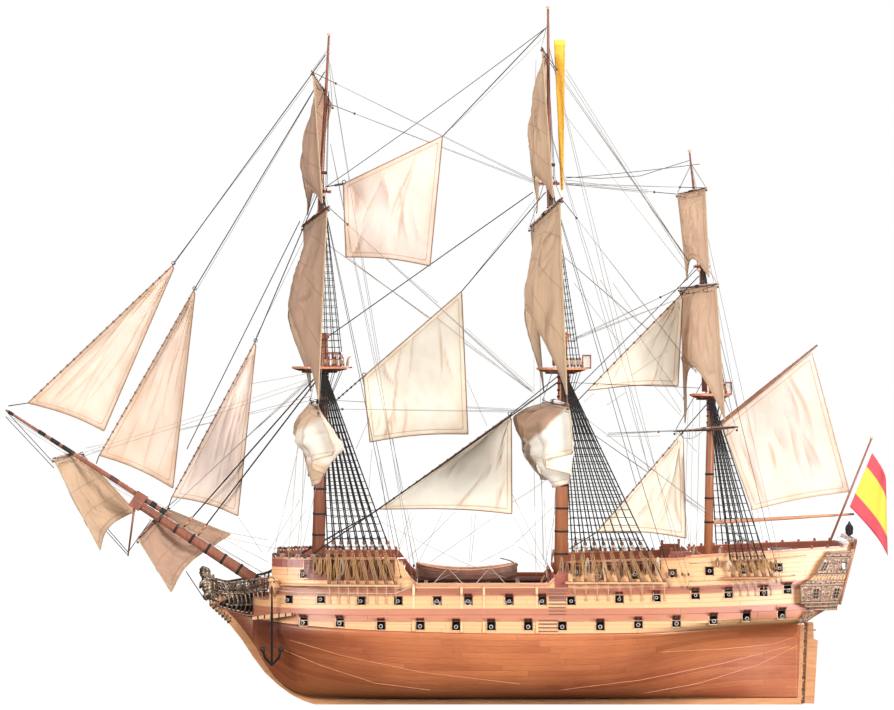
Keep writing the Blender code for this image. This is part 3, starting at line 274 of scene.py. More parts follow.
def new_look(name, roughness, metallic=0.0, **uniform):
    """A material with a Principled shader whose uniform values sit on the shader itself."""
    made = bpy.data.materials.new(name)
    made.use_nodes = True
    uniform.update(Roughness=roughness, Metallic=metallic)
    for key, value in uniform.items():
        made.node_tree.nodes["Principled BSDF"].inputs[key.replace("_", " ")].default_value = value
    return made, made.node_tree


def paint(tree, colours, height=None, strength=0.0, distance=0.0):
    """Gives the shader its colour and, from a height, its fine bumps."""
    inputs = tree.nodes["Principled BSDF"].inputs
    tree.links.new(colours.socket, inputs["Base Color"])
    if height:
        bump = node(tree, "Bump", {"Height": height, "Strength": strength, "Distance": distance * MM})
        tree.links.new(bump.socket, inputs["Normal"])


def stretched_noise(tree, stretch, scale, detail=4.0):
    place = node(tree, "TexCoord", output="Object")
    mapped = node(tree, "Mapping", {"Vector": place, "Scale": stretch})
    return node(tree, "TexNoise", {"Vector": mapped, "Scale": scale, "Detail": detail})


def planked(name, light, dark, seam, contrast=0.6, roughness=0.42, seams=0.75, bow_dark=None):
    """Planking laid along the UV map: U runs along the planks in millimetres, V counts them. It may turn
    darker high on the bow."""
    made, tree = new_look(name, roughness, Coat_Weight=0.25, Coat_Roughness=0.3)
    along, across, _ = split(tree, node(tree, "UVMap", uv_map="planks"))
    row = across.floor()
    jitter = node(tree, "TexWhiteNoise", {"W": row}, noise_dimensions="1D")
    cell = along / PLANK_LENGTH + jitter * 7.0
    tone = node(tree, "TexWhiteNoise", {"W": row * 13.7 + cell.floor()}, noise_dimensions="1D")
    place = node(tree, "CombineXYZ", {0: along * 0.035, 1: across * 3.2, 2: tone * 40.0})
    grain = node(tree, "TexNoise", {"Vector": place, "Scale": 2.2, "Detail": 6.0, "Roughness": 0.62})
    cloud = stretched_noise(tree, (9.0, 9.0, 16.0), 1.0, 2.0)
    share = (tone * 0.45 + grain.ramp(0.3, 0.72) * 0.55) * contrast + cloud.ramp(0.35, 0.7) * 0.5
    wood = blend(share, light, dark)
    if bow_dark:
        x, _, z = split(tree, node(tree, "TexCoord", output="Object"))
        bow_darkening = (x * -1.0).ramp(*BOW_DARK_FORE) * z.ramp(*BOW_DARK_HIGH)
        wood = blend(bow_darkening * 0.85, wood, bow_dark)
    gap, butt = abs(across.fract() - 0.5), abs(cell.fract() - 0.5)
    line = gap.ramp(0.44, 0.495).at_least(butt.ramp(0.4955, 0.4995))
    paint(tree, blend(line * seams, wood, seam), grain * 0.25 - line, 0.5, 0.25)
    return made


def timber(name, light, dark, stretch, roughness=0.4, coat=0.2):
    """Solid wood with grain along one axis: stretch is small along the grain."""
    made, tree = new_look(name, roughness, Coat_Weight=coat, Coat_Roughness=0.3)
    grain = stretched_noise(tree, stretch, 420.0, 6.0)
    cloud = stretched_noise(tree, stretch, 90.0, 2.0)
    share = grain.ramp(0.3, 0.7) * 0.6 + cloud.ramp(0.3, 0.7) * 0.4
    paint(tree, blend(share, light, dark), grain, 0.35, 0.2)
    return made


def cast(name, light, dark):
    """Antiqued casting: dark in its hollows, brighter on what stands proud."""
    made, tree = new_look(name, 0.45, 0.7)
    relief = stretched_noise(tree, EVEN, 330.0, 5.0)
    wear = node(tree, "NewGeometry", output="Pointiness")
    share = relief.ramp(0.34, 0.62) * wear.ramp(0.42, 0.56)
    paint(tree, blend(share, dark, light), relief, 0.6, 0.6)
    return made


def scrollwork(tree, light, dark):
    """The colours and the height of cast scrollwork: bright strands over dark hollows."""
    place = node(tree, "TexCoord", output="Object")
    drift = node(tree, "TexNoise", {"Vector": place, "Scale": 160.0, "Detail": 2.0}, 1)
    drift = node(tree, "VectorMath", {0: drift, "Scale": 0.006}, operation="SCALE")
    bent = node(tree, "VectorMath", {0: place, 1: drift}, operation="ADD")
    cells, fine = [
        node(tree, "TexVoronoi", {"Vector": bent, "Scale": scale}, "Distance", feature="DISTANCE_TO_EDGE")
        for scale in (330.0, 760.0)
    ]
    strand = (1.0 - cells.ramp(0.05, 0.26)).at_least((1.0 - fine.ramp(0.04, 0.2)) * 0.6)
    return blend(strand, dark, light), strand


def roped(name, light, dark):
    """Laid rope: U runs along it in millimetres and V once around it."""
    made, tree = new_look(name, 0.85)
    along, around, _ = split(tree, node(tree, "UVMap", uv_map="planks"))
    strand = abs((along * 0.9 + around).fract() - 0.5)
    paint(tree, blend(strand * 2.0, light, dark), strand, 0.4, 0.2)
    return made


def canvas(name, light, stain, crease=CREASE, stitch=STITCH, panel=0.0, brown=None):
    """Sailcloth. Its sheet says how far each point is from the nearest edge, in millimetres, and how deep
    it lies in a fold: hems, stains along the edges and shadowed creases follow from those. A brown is
    blended in as painted shade where the sheet's share of shade says so."""
    made, tree = new_look(name, 0.9, Sheen_Weight=0.1, Sheen_Roughness=0.6)
    edge, fold = [node(tree, "Attribute", output="Fac", attribute_name=word) for word in ("edge", "fold")]
    cloud = stretched_noise(tree, (1.0, 1.0, 0.7), 19.0)
    blotch = stretched_noise(tree, (1.0, 1.0, 0.8), 55.0, 5.0)
    weave = stretched_noise(tree, EVEN, 1500.0, 2.0)
    near = 1.0 - edge.ramp(0.5, 13.0)
    old = (near * 0.75 + 0.12) * blotch.ramp(0.3, 0.62) + cloud.ramp(0.45, 0.75) * 0.55
    cloth = blend(old, light, stain)
    # painted shade: the courses' shaded folds are blended towards brown
    if brown:
        shade_share = node(tree, "Attribute", output="Fac", attribute_name="shade_share") + (blotch - 0.5) * 0.5
        cloth = blend(shade_share.ramp(0.3, 0.7), cloth, brown)
    cloth = blend(fold.ramp(0.1, 0.9), cloth, crease)
    line = 1.0 - abs(edge - HEM).ramp(0.25, 0.6)
    if panel:
        along, across, _ = split(tree, node(tree, "UVMap", uv_map="planks"))
        for place, step in ((along, panel), (across, panel * 2.6)):
            seam = abs((place / step).fract() - 0.5).ramp(0.46, 0.49)
            line = line.at_least(seam * 0.55)
    height = weave * 0.3 + blotch * 0.8 + line
    paint(tree, blend(line * 0.6, cloth, stitch), height, 0.5, 0.45)
    return made


def striped_flag(name, red, yellow):
    """Three stripes along V, the middle one twice as wide."""
    made, tree = new_look(name, 0.8, Sheen_Weight=0.2, Sheen_Roughness=0.5)
    _, height, _ = split(tree, node(tree, "UVMap", uv_map="planks"))
    stripe = blend(abs(height - 0.5).ramp(0.24, 0.26), yellow, red)
    weave = stretched_noise(tree, EVEN, 900.0, 3.0)
    paint(tree, blend(weave * 0.1, stripe, (1.0, 0.9, 0.8)), weave, 0.3, 0.2)
    return made


def plain(name, light, dark, roughness, metallic=0.0):
    made, tree = new_look(name, roughness, metallic)
    share = stretched_noise(tree, EVEN, 260.0).ramp(0.35, 0.65)
    paint(tree, blend(share, light, dark))
    return made


LOOKS = {
    "bottom": planked(
        "bottom_planks", (0.68, 0.23, 0.085), (0.34, 0.085, 0.035), (0.16, 0.05, 0.03), 0.75, seams=0.4,
        bow_dark=(0.09, 0.025, 0.022),
    ),
    "maple": planked("maple_planks", (0.86, 0.50, 0.26), (0.72, 0.36, 0.16), (0.36, 0.15, 0.07), 0.5),
    "wale": planked("wale_planks", (0.60, 0.24, 0.13), (0.42, 0.14, 0.09), (0.14, 0.045, 0.03)),
    "red_band": planked("red_band_planks", (0.46, 0.165, 0.09), (0.31, 0.10, 0.06), (0.12, 0.04, 0.025)),
    "inner": planked("inner_planks", (0.30, 0.09, 0.05), (0.18, 0.05, 0.03), (0.06, 0.02, 0.02)),
    "deck": planked("deck_planks", (0.75, 0.48, 0.25), (0.56, 0.32, 0.15), (0.10, 0.05, 0.03), 0.5, 0.5),
    "knee": planked("knee_timber", (0.37, 0.13, 0.068), (0.26, 0.088, 0.05), (0.12, 0.05, 0.03)),
    # painted shade: the waist's deck, dark as if shaded by the boat and the gangways
    "hold": planked("shaded_waist_deck_planks", (0.16, 0.08, 0.05), (0.09, 0.045, 0.03), (0.03, 0.015, 0.01)),
    "keel": timber("keel_timber", (0.72, 0.36, 0.17), (0.50, 0.21, 0.09), ALONG_HULL),
    "seam": timber("seam_timber", (0.70, 0.30, 0.14), (0.58, 0.22, 0.10), ALONG_HULL),
    "rail": timber("rail_timber", (0.62, 0.30, 0.17), (0.44, 0.19, 0.10), ALONG_HULL),
    "pale": timber("pale_timber", (0.86, 0.56, 0.32), (0.70, 0.40, 0.20), (1.0, 1.0, 0.15)),
    "mast": timber("mast_timber", (0.36, 0.135, 0.08), (0.20, 0.065, 0.04), UPRIGHT),
    "warm_mast": timber("warm_mast_timber", (0.56, 0.22, 0.10), (0.36, 0.12, 0.06), UPRIGHT),
    "yard": timber("yard_timber", (0.36, 0.145, 0.08), (0.20, 0.07, 0.04), ATHWART),
    "rim": timber("rim_timber", (0.78, 0.32, 0.16), (0.55, 0.18, 0.09), (1.0, 0.2, 1.0)),
    "boat": timber("boat_timber", (0.26, 0.13, 0.09), (0.13, 0.06, 0.045), (0.15, 1.0, 1.0)),
    "deadeye": timber("deadeye_wood", (0.30, 0.15, 0.08), (0.15, 0.065, 0.035), EVEN, 0.8),
    "dark": timber("dark_timber", (0.14, 0.075, 0.05), (0.06, 0.03, 0.02), (0.15, 1.0, 1.0)),
    "carved": timber("carved_timber", (0.50, 0.31, 0.20), (0.24, 0.13, 0.09), EVEN, 0.5),
    "gilt": timber("gilt_timber", (0.74, 0.50, 0.33), (0.50, 0.31, 0.20), EVEN, 0.35),
    "gangway": timber("gangway_timber", (0.34, 0.16, 0.12), (0.18, 0.08, 0.06), (0.1, 1.0, 1.0), 0.9, 0.0),
    "lid": timber("lid_timber", (0.38, 0.11, 0.08), (0.24, 0.06, 0.045), (0.2, 1.0, 1.0)),
    "bronze": cast("bronze_casting", (0.52, 0.39, 0.28), (0.06, 0.042, 0.03)),
    # near-black: painted shade in the ports' pockets and the guns' bores, and the dark behind the windows'
    # bars
    "pocket": plain("port_pocket", (0.012, 0.009, 0.008), (0.03, 0.02, 0.015), 0.8),
    "iron": plain("black_iron", (0.012, 0.012, 0.014), (0.03, 0.028, 0.027), 0.75),
    "steel": plain("gun_muzzle", (0.52, 0.50, 0.48), (0.34, 0.33, 0.32), 0.6, 0.1),
    "glass": plain("lantern_glass", (0.80, 0.78, 0.70), (0.65, 0.62, 0.54), 0.2),
    "pane": plain("skylight_panes", (0.07, 0.06, 0.055), (0.03, 0.025, 0.02), 0.7),
    "tar": roped("tarred_rope", (0.035, 0.03, 0.028), (0.008, 0.007, 0.007)),
    "hemp": roped("hemp_rope", (0.66, 0.49, 0.31), (0.40, 0.27, 0.15)),
    "pale_rope": roped("pale_rope", (0.80, 0.66, 0.50), (0.44, 0.31, 0.20)),
    "gold_rope": roped("gold_rope", (0.62, 0.36, 0.15), (0.26, 0.12, 0.05)),
    "brown_rope": roped("brown_rope", (0.42, 0.24, 0.13), (0.22, 0.11, 0.06)),
    "grey_rope": roped("grey_rope", (0.42, 0.37, 0.33), (0.20, 0.17, 0.15)),
    "sail": canvas("sail_canvas", (0.76, 0.60, 0.49), (0.62, 0.40, 0.26)),
    "clean_sail": canvas("clean_canvas", (0.82, 0.67, 0.59), (0.72, 0.53, 0.40)),
    "bright_sail": canvas("bright_canvas", (0.96, 0.90, 0.77), (0.84, 0.66, 0.48)),
    "light_tan_sail": canvas("light_tan_canvas", (0.86, 0.61, 0.43), (0.66, 0.42, 0.275)),
    "tan_sail": canvas(
        "tan_canvas", (0.77, 0.53, 0.345), (0.60, 0.375, 0.23), (0.38, 0.22, 0.13), (0.28, 0.16, 0.09), 0.1,
    ),
    "brown_sail": canvas(
        "brown_canvas", (0.61, 0.375, 0.255), (0.44, 0.255, 0.16), (0.30, 0.17, 0.10), (0.22, 0.12, 0.07),
        0.1,
    ),
    # The courses' brown is painted shade, laid on by each point's share of shade
    "fore_course": canvas(
        "fore_course_canvas", (0.90, 0.80, 0.68), (0.82, 0.62, 0.44), (0.58, 0.38, 0.25), (0.50, 0.34, 0.24),
        brown=(0.70, 0.48, 0.32),
    ),
    "main_course": canvas(
        "main_course_canvas", (0.95, 0.90, 0.82), (0.88, 0.72, 0.54), (0.60, 0.42, 0.28), (0.60, 0.46, 0.34),
        brown=(0.42, 0.25, 0.16),
    ),
    "flag": striped_flag("flag_cloth", (0.60, 0.03, 0.06), (0.84, 0.62, 0.03)),
    "pennant_head": plain("pennant_head_cloth", (0.92, 0.72, 0.08), (0.85, 0.62, 0.05), 0.8),
    "pennant": plain("pennant_cloth", (0.90, 0.50, 0.05), (0.78, 0.38, 0.03), 0.8),
}


# Meshes
class Heap:
    """Points and faces of one piece, with a look for each face and a UV place for each point. Cloth also
    keeps each point's distance from its edge and how deep it lies in a fold."""

    def __init__(self):
        self.points = []
        self.faces = []
        self.looks = []
        self.smooth = []
        self.places = []
        self.traits = {}

    def put(self, points, faces, look, smooth=True, places=None):
        base = len(self.points)
        self.points += [tuple(p) for p in points]
        self.places += places or [(p[0], p[2] / PLANK) for p in points]
        for face in faces:
            self.faces.append([base + i for i in face])
            self.looks.append(look)
            self.smooth.append(smooth)


def emit(heap, name, body="root", replaces=()):
    """The piece made from a heap. It rides on a body, and stands for the CAD nodes that it replaces."""
    names = sorted(set(heap.looks))
    mesh = bpy.data.meshes.new(name)
    mesh.from_pydata([(x * MM, y * MM, z * MM) for x, y, z in heap.points], [], heap.faces)
    for look in names:
        mesh.materials.append(LOOKS[look])
    mesh.polygons.foreach_set("material_index", [names.index(look) for look in heap.looks])
    mesh.polygons.foreach_set("use_smooth", heap.smooth)
    places = mesh.uv_layers.new(name="planks")
    corners = [0] * len(mesh.loops)
    mesh.loops.foreach_get("vertex_index", corners)
    places.data.foreach_set("uv", [c for i in corners for c in heap.places[i]])
    for trait, values in heap.traits.items():
        mesh.attributes.new(trait, "FLOAT", "POINT").data.foreach_set("value", values)
    mesh.update()
    obj = bpy.data.objects.new(name, mesh)
    bpy.context.scene.collection.objects.link(obj)
    if body:
        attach(obj, body)
    if replaces:
        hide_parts(*replaces)
    return obj


def ring_pairs(size, rings):
    """Neighbours around each ring but the last, as indices, where rings of points follow one another."""
    for k in range(rings - 1):
        for i in range(size):
            yield k * size + i, k * size + (i + 1) % size


def shell(rings, places, look):
    """A closed form from the port halves of its rings, mirrored to starboard, with flat ends."""
    heap = Heap()
    for half, spots in zip(rings, places):
        heap.points += half + [(x, -y, z) for x, y, z in reversed(half)]
        heap.places += spots + spots[::-1]
    size, total = 2 * len(rings[0]), len(heap.points)
    heap.faces = [[b, a, a + size, b + size] for a, b in ring_pairs(size, len(rings))]
    heap.faces += [list(range(size)), list(range(total - size, total))[::-1]]
    heap.looks = [look] * len(heap.faces)
    heap.smooth = [True] * (len(heap.faces) - 2) + [False] * 2
    return heap


def lofted(heap, rings, look):
    """A flat-faced solid through rings of points, closed at both ends."""
    size = len(rings[0])
    faces = [[b, a, a + size, b + size] for a, b in ring_pairs(size, len(rings))]
    heap.put([p for ring in rings for p in ring], faces, look, False)
    heap.put(rings[0], [list(range(size))], look, False)
    heap.put(rings[-1], [list(range(size))[::-1]], look, False)


def tube(heap, line, radii, look, sides, caps=True):
    """A round stick or rope along a line, with one radius or a radius at each point."""
    points = [Vector(p) for p in line]
    count = len(points)
    if not hasattr(radii, "__len__"):
        radii = [radii] * count
    rings, places = [], []
    run = 0.0
    across = None
    for i, point in enumerate(points):
        ahead = (points[min(i + 1, count - 1)] - points[max(i - 1, 0)]).normalized()
        if across is None:
            across = ahead.cross((0, 1, 0) if abs(ahead.y) < 0.9 else (1, 0, 0)).normalized()
        else:
            across = (across - ahead * across.dot(ahead)).normalized()
            run += (point - points[i - 1]).length
        up = ahead.cross(across)
        for k in range(sides):
            turn = 2 * math.pi * k / sides
            rings.append(point + (across * math.cos(turn) + up * math.sin(turn)) * radii[i])
            places.append((run, abs(2 * k / sides - 1)))
    faces = [[a, b, b + sides, a + sides] for a, b in ring_pairs(sides, count)]
    if caps:
        faces.append(list(range(sides))[::-1])
        faces.append(list(range((count - 1) * sides, count * sides)))
    heap.put(rings, faces, look, True, places)


def block(heap, middle, size, look, axes=None):
    """A box about its middle, with its sides along three axes."""
    x, y, z = axes or (AFTWARD, STARBOARD, UP)
    centre = Vector(middle)
    half = [s / 2 for s in size]
    points = [centre + x * (a * half[0]) + y * (b * half[1]) + z * (c * half[2])
              for a in BOTH for b in BOTH for c in BOTH]
    faces = [[0, 1, 3, 2], [4, 6, 7, 5], [0, 4, 5, 1], [2, 3, 7, 6], [0, 2, 6, 4], [1, 5, 7, 3]]
    if x.cross(y).dot(z) < 0:
        faces = [face[::-1] for face in faces]
    heap.put(points, faces, look, False)


def circle(middle, radius, steps, across=AFTWARD):
    """A closed round line about its middle."""
    turns = [2 * math.pi * k / steps for k in range(steps + 1)]
    return [Vector(middle) + (across * math.cos(a) + UP * math.sin(a)) * radius for a in turns]


def upright_ring(middle, radius, turns):
    """A line about its middle, in the ship's length, with a point at each turn."""
    return [middle + (AFTWARD * math.cos(a) + UP * math.sin(a)) * radius for a in turns]


def sleeve(heap, middle, ahead, half, radius, look, sides):
    """A short round band about a spar or a rope that runs ahead."""
    tube(heap, [middle - ahead * half, middle + ahead * half], radius, look, sides)


def plate(heap, outline, side, out, back, look):
    """A thin plate on a face of the stem, from an outline of (x, z)."""
    size = len(outline)
    points = [(x, side * (KEEL_HALF_WIDTH + y), z) for y in (out, back) for x, z in outline]
    faces = [list(range(size))[::side], list(range(size, 2 * size))[::-side]]
    faces += [[k, k + size, (k + 1) % size + size, (k + 1) % size][::side] for k in range(size)]
    heap.put(points, faces, look)


def ball(heap, centre, radius, look, squash=1.0, sides=8):
    line = [Vector(centre) + Vector((0, 0, radius * squash * math.cos(math.pi * i / 6))) for i in range(7)]
    radii = [max(radius * math.sin(math.pi * i / 6), 0.02) for i in range(7)]
    tube(heap, line[::-1], radii, look, sides)


def sagging(start, end, drop, steps=8):
    a, b = Vector(start), Vector(end)
    shares = [i / steps for i in range(steps + 1)]
    return [a.lerp(b, share) - UP * (4 * drop * share * (1 - share)) for share in shares]


# Hull form
def rabbet_z(x):
    rise = min(max((STEM_FOOT_X - x) / (STEM_FOOT_X - STEM_RABBET_X), 0.0), 1.0)
    return KEEL_DEPTH + STEM_RISE * rise**3


def band_z(x):
    side = sheer(x, BAND_Z, BAND_RISE_FORE, BAND_RISE_AFT)
    return mix(side, COUNTER_Z, max((x - COUNTER_X) / (TRANSOM_X - COUNTER_X), 0.0) ** 0.8)


def beam_at(x):
    u = min(max((x - STEM_RABBET_X) / BOW_LENGTH, 0.0), 1.0)
    bow = KEEL_HALF_WIDTH + (HALF_BEAM - KEEL_HALF_WIDTH) * (1 - (1 - u) ** 2.6) ** 0.5
    aft = max(x - RUN_START_X, 0.0) / (COUNTER_X - RUN_START_X)
    return bow - STERN_NARROWING * aft**2


def half_breadth(x, z):
    widest = beam_at(x)
    run = smooth_step(x, 20, COUNTER_X)
    wide_z = mix(BEAM_Z, TUCK_Z, run) + (COUNTER_Z - TUCK_Z) * smooth_step(x, COUNTER_X, TRANSOM_X)
    if z >= wide_z:
        sides = smooth_step(x, -262, -180) * (1 - smooth_step(x, 120, 250))
        lean = mix(TUMBLEHOME_ENDS, TUMBLEHOME, sides) * min(1.0, (x - STEM_RABBET_X) / 20)
        return widest - lean * ((z - wide_z) / (FORECASTLE_RAIL_Z - BEAM_Z)) ** 1.6
    low = rabbet_z(x)
    t = min(max((z - low) / (wide_z - low), 0.0), 1.0)
    full = (1 - (1 - t) ** 2.4) ** (1 / 2.4)
    hollow = t ** (1.2 + 8.3 * run**1.5)
    entry = 1 - smooth_step(x, STEM_RABBET_X, -120)
    share = mix(full, hollow, max(run, 0.75 * entry))
    half = KEEL_HALF_WIDTH + (widest - KEEL_HALF_WIDTH) * share
    foot = band_z(x)
    if run <= 0 or z <= foot:
        return half
    rise = min(max((z - foot) / (wide_z - foot), 0.0), 1.0)
    tuck = mix(half_breadth(x, foot), widest, (1 - (1 - rise) ** 2.6) ** (1 / 2.6))
    return mix(half, max(half, tuck), run)


def hull_x(x, z):
    lean = smooth_step(x, 200, TRANSOM_X) * TRANSOM_RAKE
    return x + lean * max(z - COUNTER_Z, 0.0)


def station_at(x, z):
    station = x
    for _ in range(12):
        station = x - (hull_x(station, z) - station)
    return station


def side_at(x, z):
    return half_breadth(min(station_at(x, z), TRANSOM_X), z)


def deck_z(x):
    if x < BULKHEAD_X:
        return BEAK_Z - 0.5
    if x <= BULKHEAD_AFT_X:
        return BULKHEAD_RAIL_Z - 0.5
    if x < WAIST_X:
        return FORECASTLE_Z
    if x <= QUARTER_X:
        return WAIST_Z
    if x < POOP_X:
        return QUARTERDECK_Z
    if x <= TAFFRAIL_X:
        return POOP_Z + POOP_RISE * (x - POOP_X) / (TAFFRAIL_X - POOP_X)
    return TAFFRAIL_Z - 0.5


def rail_z(x):
    fore, aft = WAIST_RAIL_X
    if x < BULKHEAD_X:
        return BEAK_Z
    if x <= BULKHEAD_AFT_X:
        return BULKHEAD_RAIL_Z
    if x <= fore:
        return FORECASTLE_RAIL_Z
    if x <= aft:
        return mix(FORECASTLE_RAIL_Z, WAIST_RAIL_Z, (x - fore) / (aft - fore))
    if x <= QUARTER_X:
        return WAIST_RAIL_Z
    if x < QUARTER_RAIL_X:
        return mix(WAIST_RAIL_Z, QUARTER_RAIL_Z[0], (x - QUARTER_X) / (QUARTER_RAIL_X - QUARTER_X))
    if x < POOP_X:
        return mix(*QUARTER_RAIL_Z, (x - QUARTER_RAIL_X) / (POOP_X - QUARTER_RAIL_X))
    if x <= TAFFRAIL_X:
        return mix(*POOP_RAIL_Z, (x - POOP_X) / (TAFFRAIL_X - POOP_X))
    return TAFFRAIL_Z


def sheer(x, middle, fore, aft):
    if x < SHEER_LOW_X:
        return middle + fore * ((SHEER_LOW_X - x) / SHEER_FORE) ** 2
    return middle + aft * ((x - SHEER_LOW_X) / SHEER_AFT) ** 2


def band_marks(x):
    """The bands' edges at a station, from the bottom planking to the rail."""
    marks = [band_z(x) + SEAT, *[sheer(x, *edge) for edge in BAND_EDGES], rail_z(x)]
    for i in range(1, 5):
        marks[i] = max(marks[i], marks[i - 1] + 0.3)
    for i in range(4, 0, -1):
        marks[i] = min(marks[i], marks[i + 1] - 0.3)
    return marks


# Stations along the sides, and how near two of them stand at a step in the decks or the rails
FIRST_STATION = -288.0
STATION_STEP = 4.0
STEP_LENGTH = 0.2
FIXED_STATIONS = (
    -290.6, BULKHEAD_X - 0.1, BULKHEAD_X, BULKHEAD_AFT_X, -269.5, WAIST_RAIL_X[0], WAIST_X - 0.1, WAIST_X,
    WAIST_RAIL_X[1], QUARTER_X, QUARTER_X + 0.1, QUARTER_RAIL_X, POOP_X - 0.1, POOP_X, TAFFRAIL_X,
    TAFFRAIL_X + 0.1, TRANSOM_X,
)


def stations():
    """Stations along the sides: even ones, and two at each step in the decks or the rails."""
    found = set(FIXED_STATIONS)
    x = FIRST_STATION
    while x < TRANSOM_X:
        if min(abs(x - f) for f in FIXED_STATIONS) > STATION_STEP / 3:
            found.add(x)
        x += STATION_STEP
    return sorted(found)


def side_half(x):
    """Port half of a station's ring, as (point, UV place), with each stretch's look beside it."""
    marks = band_marks(x)
    taper = smooth_step(x, -291, -276) * (1 - smooth_step(x, 236, 252))
    half, looks = [], []
    for band, (proud, rows, planks) in enumerate(BANDS):
        for k in range(rows + 1):
            z = mix(marks[band], marks[band + 1], k / rows)
            y = half_breadth(x, z) + proud * taper
            count = k / rows * planks if planks else (z - marks[band]) / PLANK
            half.append(((hull_x(x, z), -y, z), (x, band * 10 + min(count, 9.99))))
            looks.append({1: "wale", 3: "red_band"}.get(band, "maple"))
    top, deck = marks[-1], deck_z(x)
    inner_top, inner_deck = half_breadth(x, top), half_breadth(x, deck)
    reach_top = max(inner_top - BULWARK, inner_top * 0.6)
    reach_deck = max(inner_deck - BULWARK, inner_deck * 0.6)
    wall, crown, flat = INNER_PLANKS, deck + DECK_CROWN, inner_deck * 0.3
    half.append(((hull_x(x, top), -reach_top, top), (x, wall)))
    half.append(((hull_x(x, deck), -reach_deck, deck), (x, wall + (top - deck) / PLANK)))
    half.append(((hull_x(x, deck), -reach_deck, deck), (x, reach_deck / PLANK)))
    half.append(((hull_x(x, crown), -flat, crown), (x, flat / PLANK)))
    return half, looks + ["inner"] + ["deck"] * 3


def build_sides():
    """The sides with their bands, the bulwarks and the decks, as one closed shell."""
    spots = stations()
    halves = [side_half(x) for x in spots]
    rings = [[point for point, _ in half] for half, _ in halves]
    heap = shell(rings, [[place for _, place in half] for half, _ in halves], "maple")
    looks = halves[-1][1]
    ring_looks = looks[:-1] + ["deck"] + looks[:-1][::-1] + ["maple"]
    size, middle = 2 * len(looks), len(looks)
    for face, (a, _) in enumerate(ring_pairs(size, len(rings))):
        k, i = divmod(a, size)
        look = ring_looks[i]
        if spots[k + 1] - spots[k] < STEP_LENGTH and middle - 4 <= i <= middle + 3:
            look = "inner"
        # the waist's deck takes the darker planks: painted shade under the boat
        elif look == "deck" and WAIST_X <= spots[k] < QUARTER_X:
            look = "hold"
        heap.looks[face] = look
    return emit(heap, "hull_sides")


# Ports, as pixels of the photograph at the ports' middles
LOWER_PORTS = [
    (304, 621.6), (340, 622.5), (381, 625.5), (420, 625.5), (456, 626), (491, 626), (528, 626), (562, 626),
    (600, 626), (638, 624), (676, 622.6), (713, 620), (746, 617), (781, 614.5),
]
UPPER_PORTS = [
    (289, 599), (321, 599), (361, 601), (398, 601), (437, 601), (468, 601), (509, 601), (542, 601),
    (571, 601), (619, 599), (656, 597.5), (695, 595), (728, 594), (763, 592), (787, 589.5),
]
RAIL_PORTS = [
    (304, 574), (339, 577.6), (576, 573), (599, 577), (634.5, 575.4), (672, 573.7), (709, 571.3),
    (743, 569.7), (778, 567.7),
]
LIDLESS = {(562, 626), (289, 599), (321, 599), (361, 601), (398, 601), (437, 601), (571, 601)}
PORT_WIDTH = 7.6
PORT_HEIGHT = 8.0
PORT_DEPTH = 6.0


def on_plane(pixel_x, pixel_y, y):
    """The x and z that a pixel of the photograph shows at a distance y to starboard."""
    k = 1 + y * MM / -CAMERA_PLACE.y
    x = CAMERA_PLACE.x / MM + (pixel_x - MIDDLE_PX[0]) * k
    return x, CAMERA_PLACE.z / MM + (MIDDLE_PX[1] - pixel_y) * k


def port_place(pixel):
    """The station and height on the port side that a pixel of the photograph shows."""
    y = -60.0
    for _ in range(6):
        x, z = on_plane(*pixel, y)
        y = -side_at(x, z)
    return x, z


def skin_frame(x, z, side):
    """A point of the side's skin, and the directions along it, up it and out of it."""
    point = Vector((x, side * side_at(x, z), z))
    along = Vector((4, side * (side_at(x + 2, z) - side_at(x - 2, z)), 0)).normalized()
    up = Vector((0, side * (side_at(x, z + 1.5) - side_at(x, z - 1.5)), 3)).normalized()
    out = along.cross(up).normalized()
    if out.y * side < 0:
        out = -out
    return point, along, up, out


def frame_port(trim, point, axes):
    """A port's frame, dark above and on one side, pale below and on the other."""
    along, out, up = axes
    for sign in BOTH:
        look = "dark" if sign > 0 else "pale"
        edge = point + along * sign * (PORT_WIDTH + 0.7) / 2 + out * 0.3
        block(trim, edge, (0.7, 1.0, PORT_HEIGHT + 1.5), look, axes)
        edge = point + up * sign * (PORT_HEIGHT + 0.7) / 2 + out * 0.3
        block(trim, edge, (PORT_WIDTH + 1.5, 1.0, 0.7), look, axes)


def hang_lid(trim, point, axes):
    """A port's open lid with its two straps."""
    along, out, up = axes
    hinge = point + up * (PORT_HEIGHT / 2 + 0.9) + out * 0.8
    reach = Vector((out.x * 0.86, out.y * 0.86, 0.5)).normalized()
    flat = (along, reach, along.cross(reach).normalized())
    block(trim, hinge + reach * 3.1, (PORT_WIDTH + 0.4, 6.2, 0.9), "lid", flat)
    for sign in BOTH:
        block(trim, hinge + reach * 2.4 + along * sign * 2.0, (0.7, 4.8, 1.3), "iron", flat)


def cut_ports(sides, cutters):
    """Cuts the ports' pockets out of the sides and gives their faces a black look, painted shade for the dark
    inside.
    """
    knife = emit(cutters, "port_cutter", None)
    carve = sides.modifiers.new("ports", "BOOLEAN")
    carve.object = knife
    carve.operation = "DIFFERENCE"
    carve.solver = "MANIFOLD"
    sides.data.materials.append(LOOKS["pocket"])
    knife.data.materials.clear()
    for slot in sides.data.materials:
        knife.data.materials.append(slot)
    last = len(sides.data.materials) - 1
    knife.data.polygons.foreach_set("material_index", [last] * len(knife.data.polygons))
    apply_all(sides)
    bpy.data.objects.remove(knife)
    sides.data.set_sharp_from_angle(angle=math.radians(32))
    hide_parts("topsides")


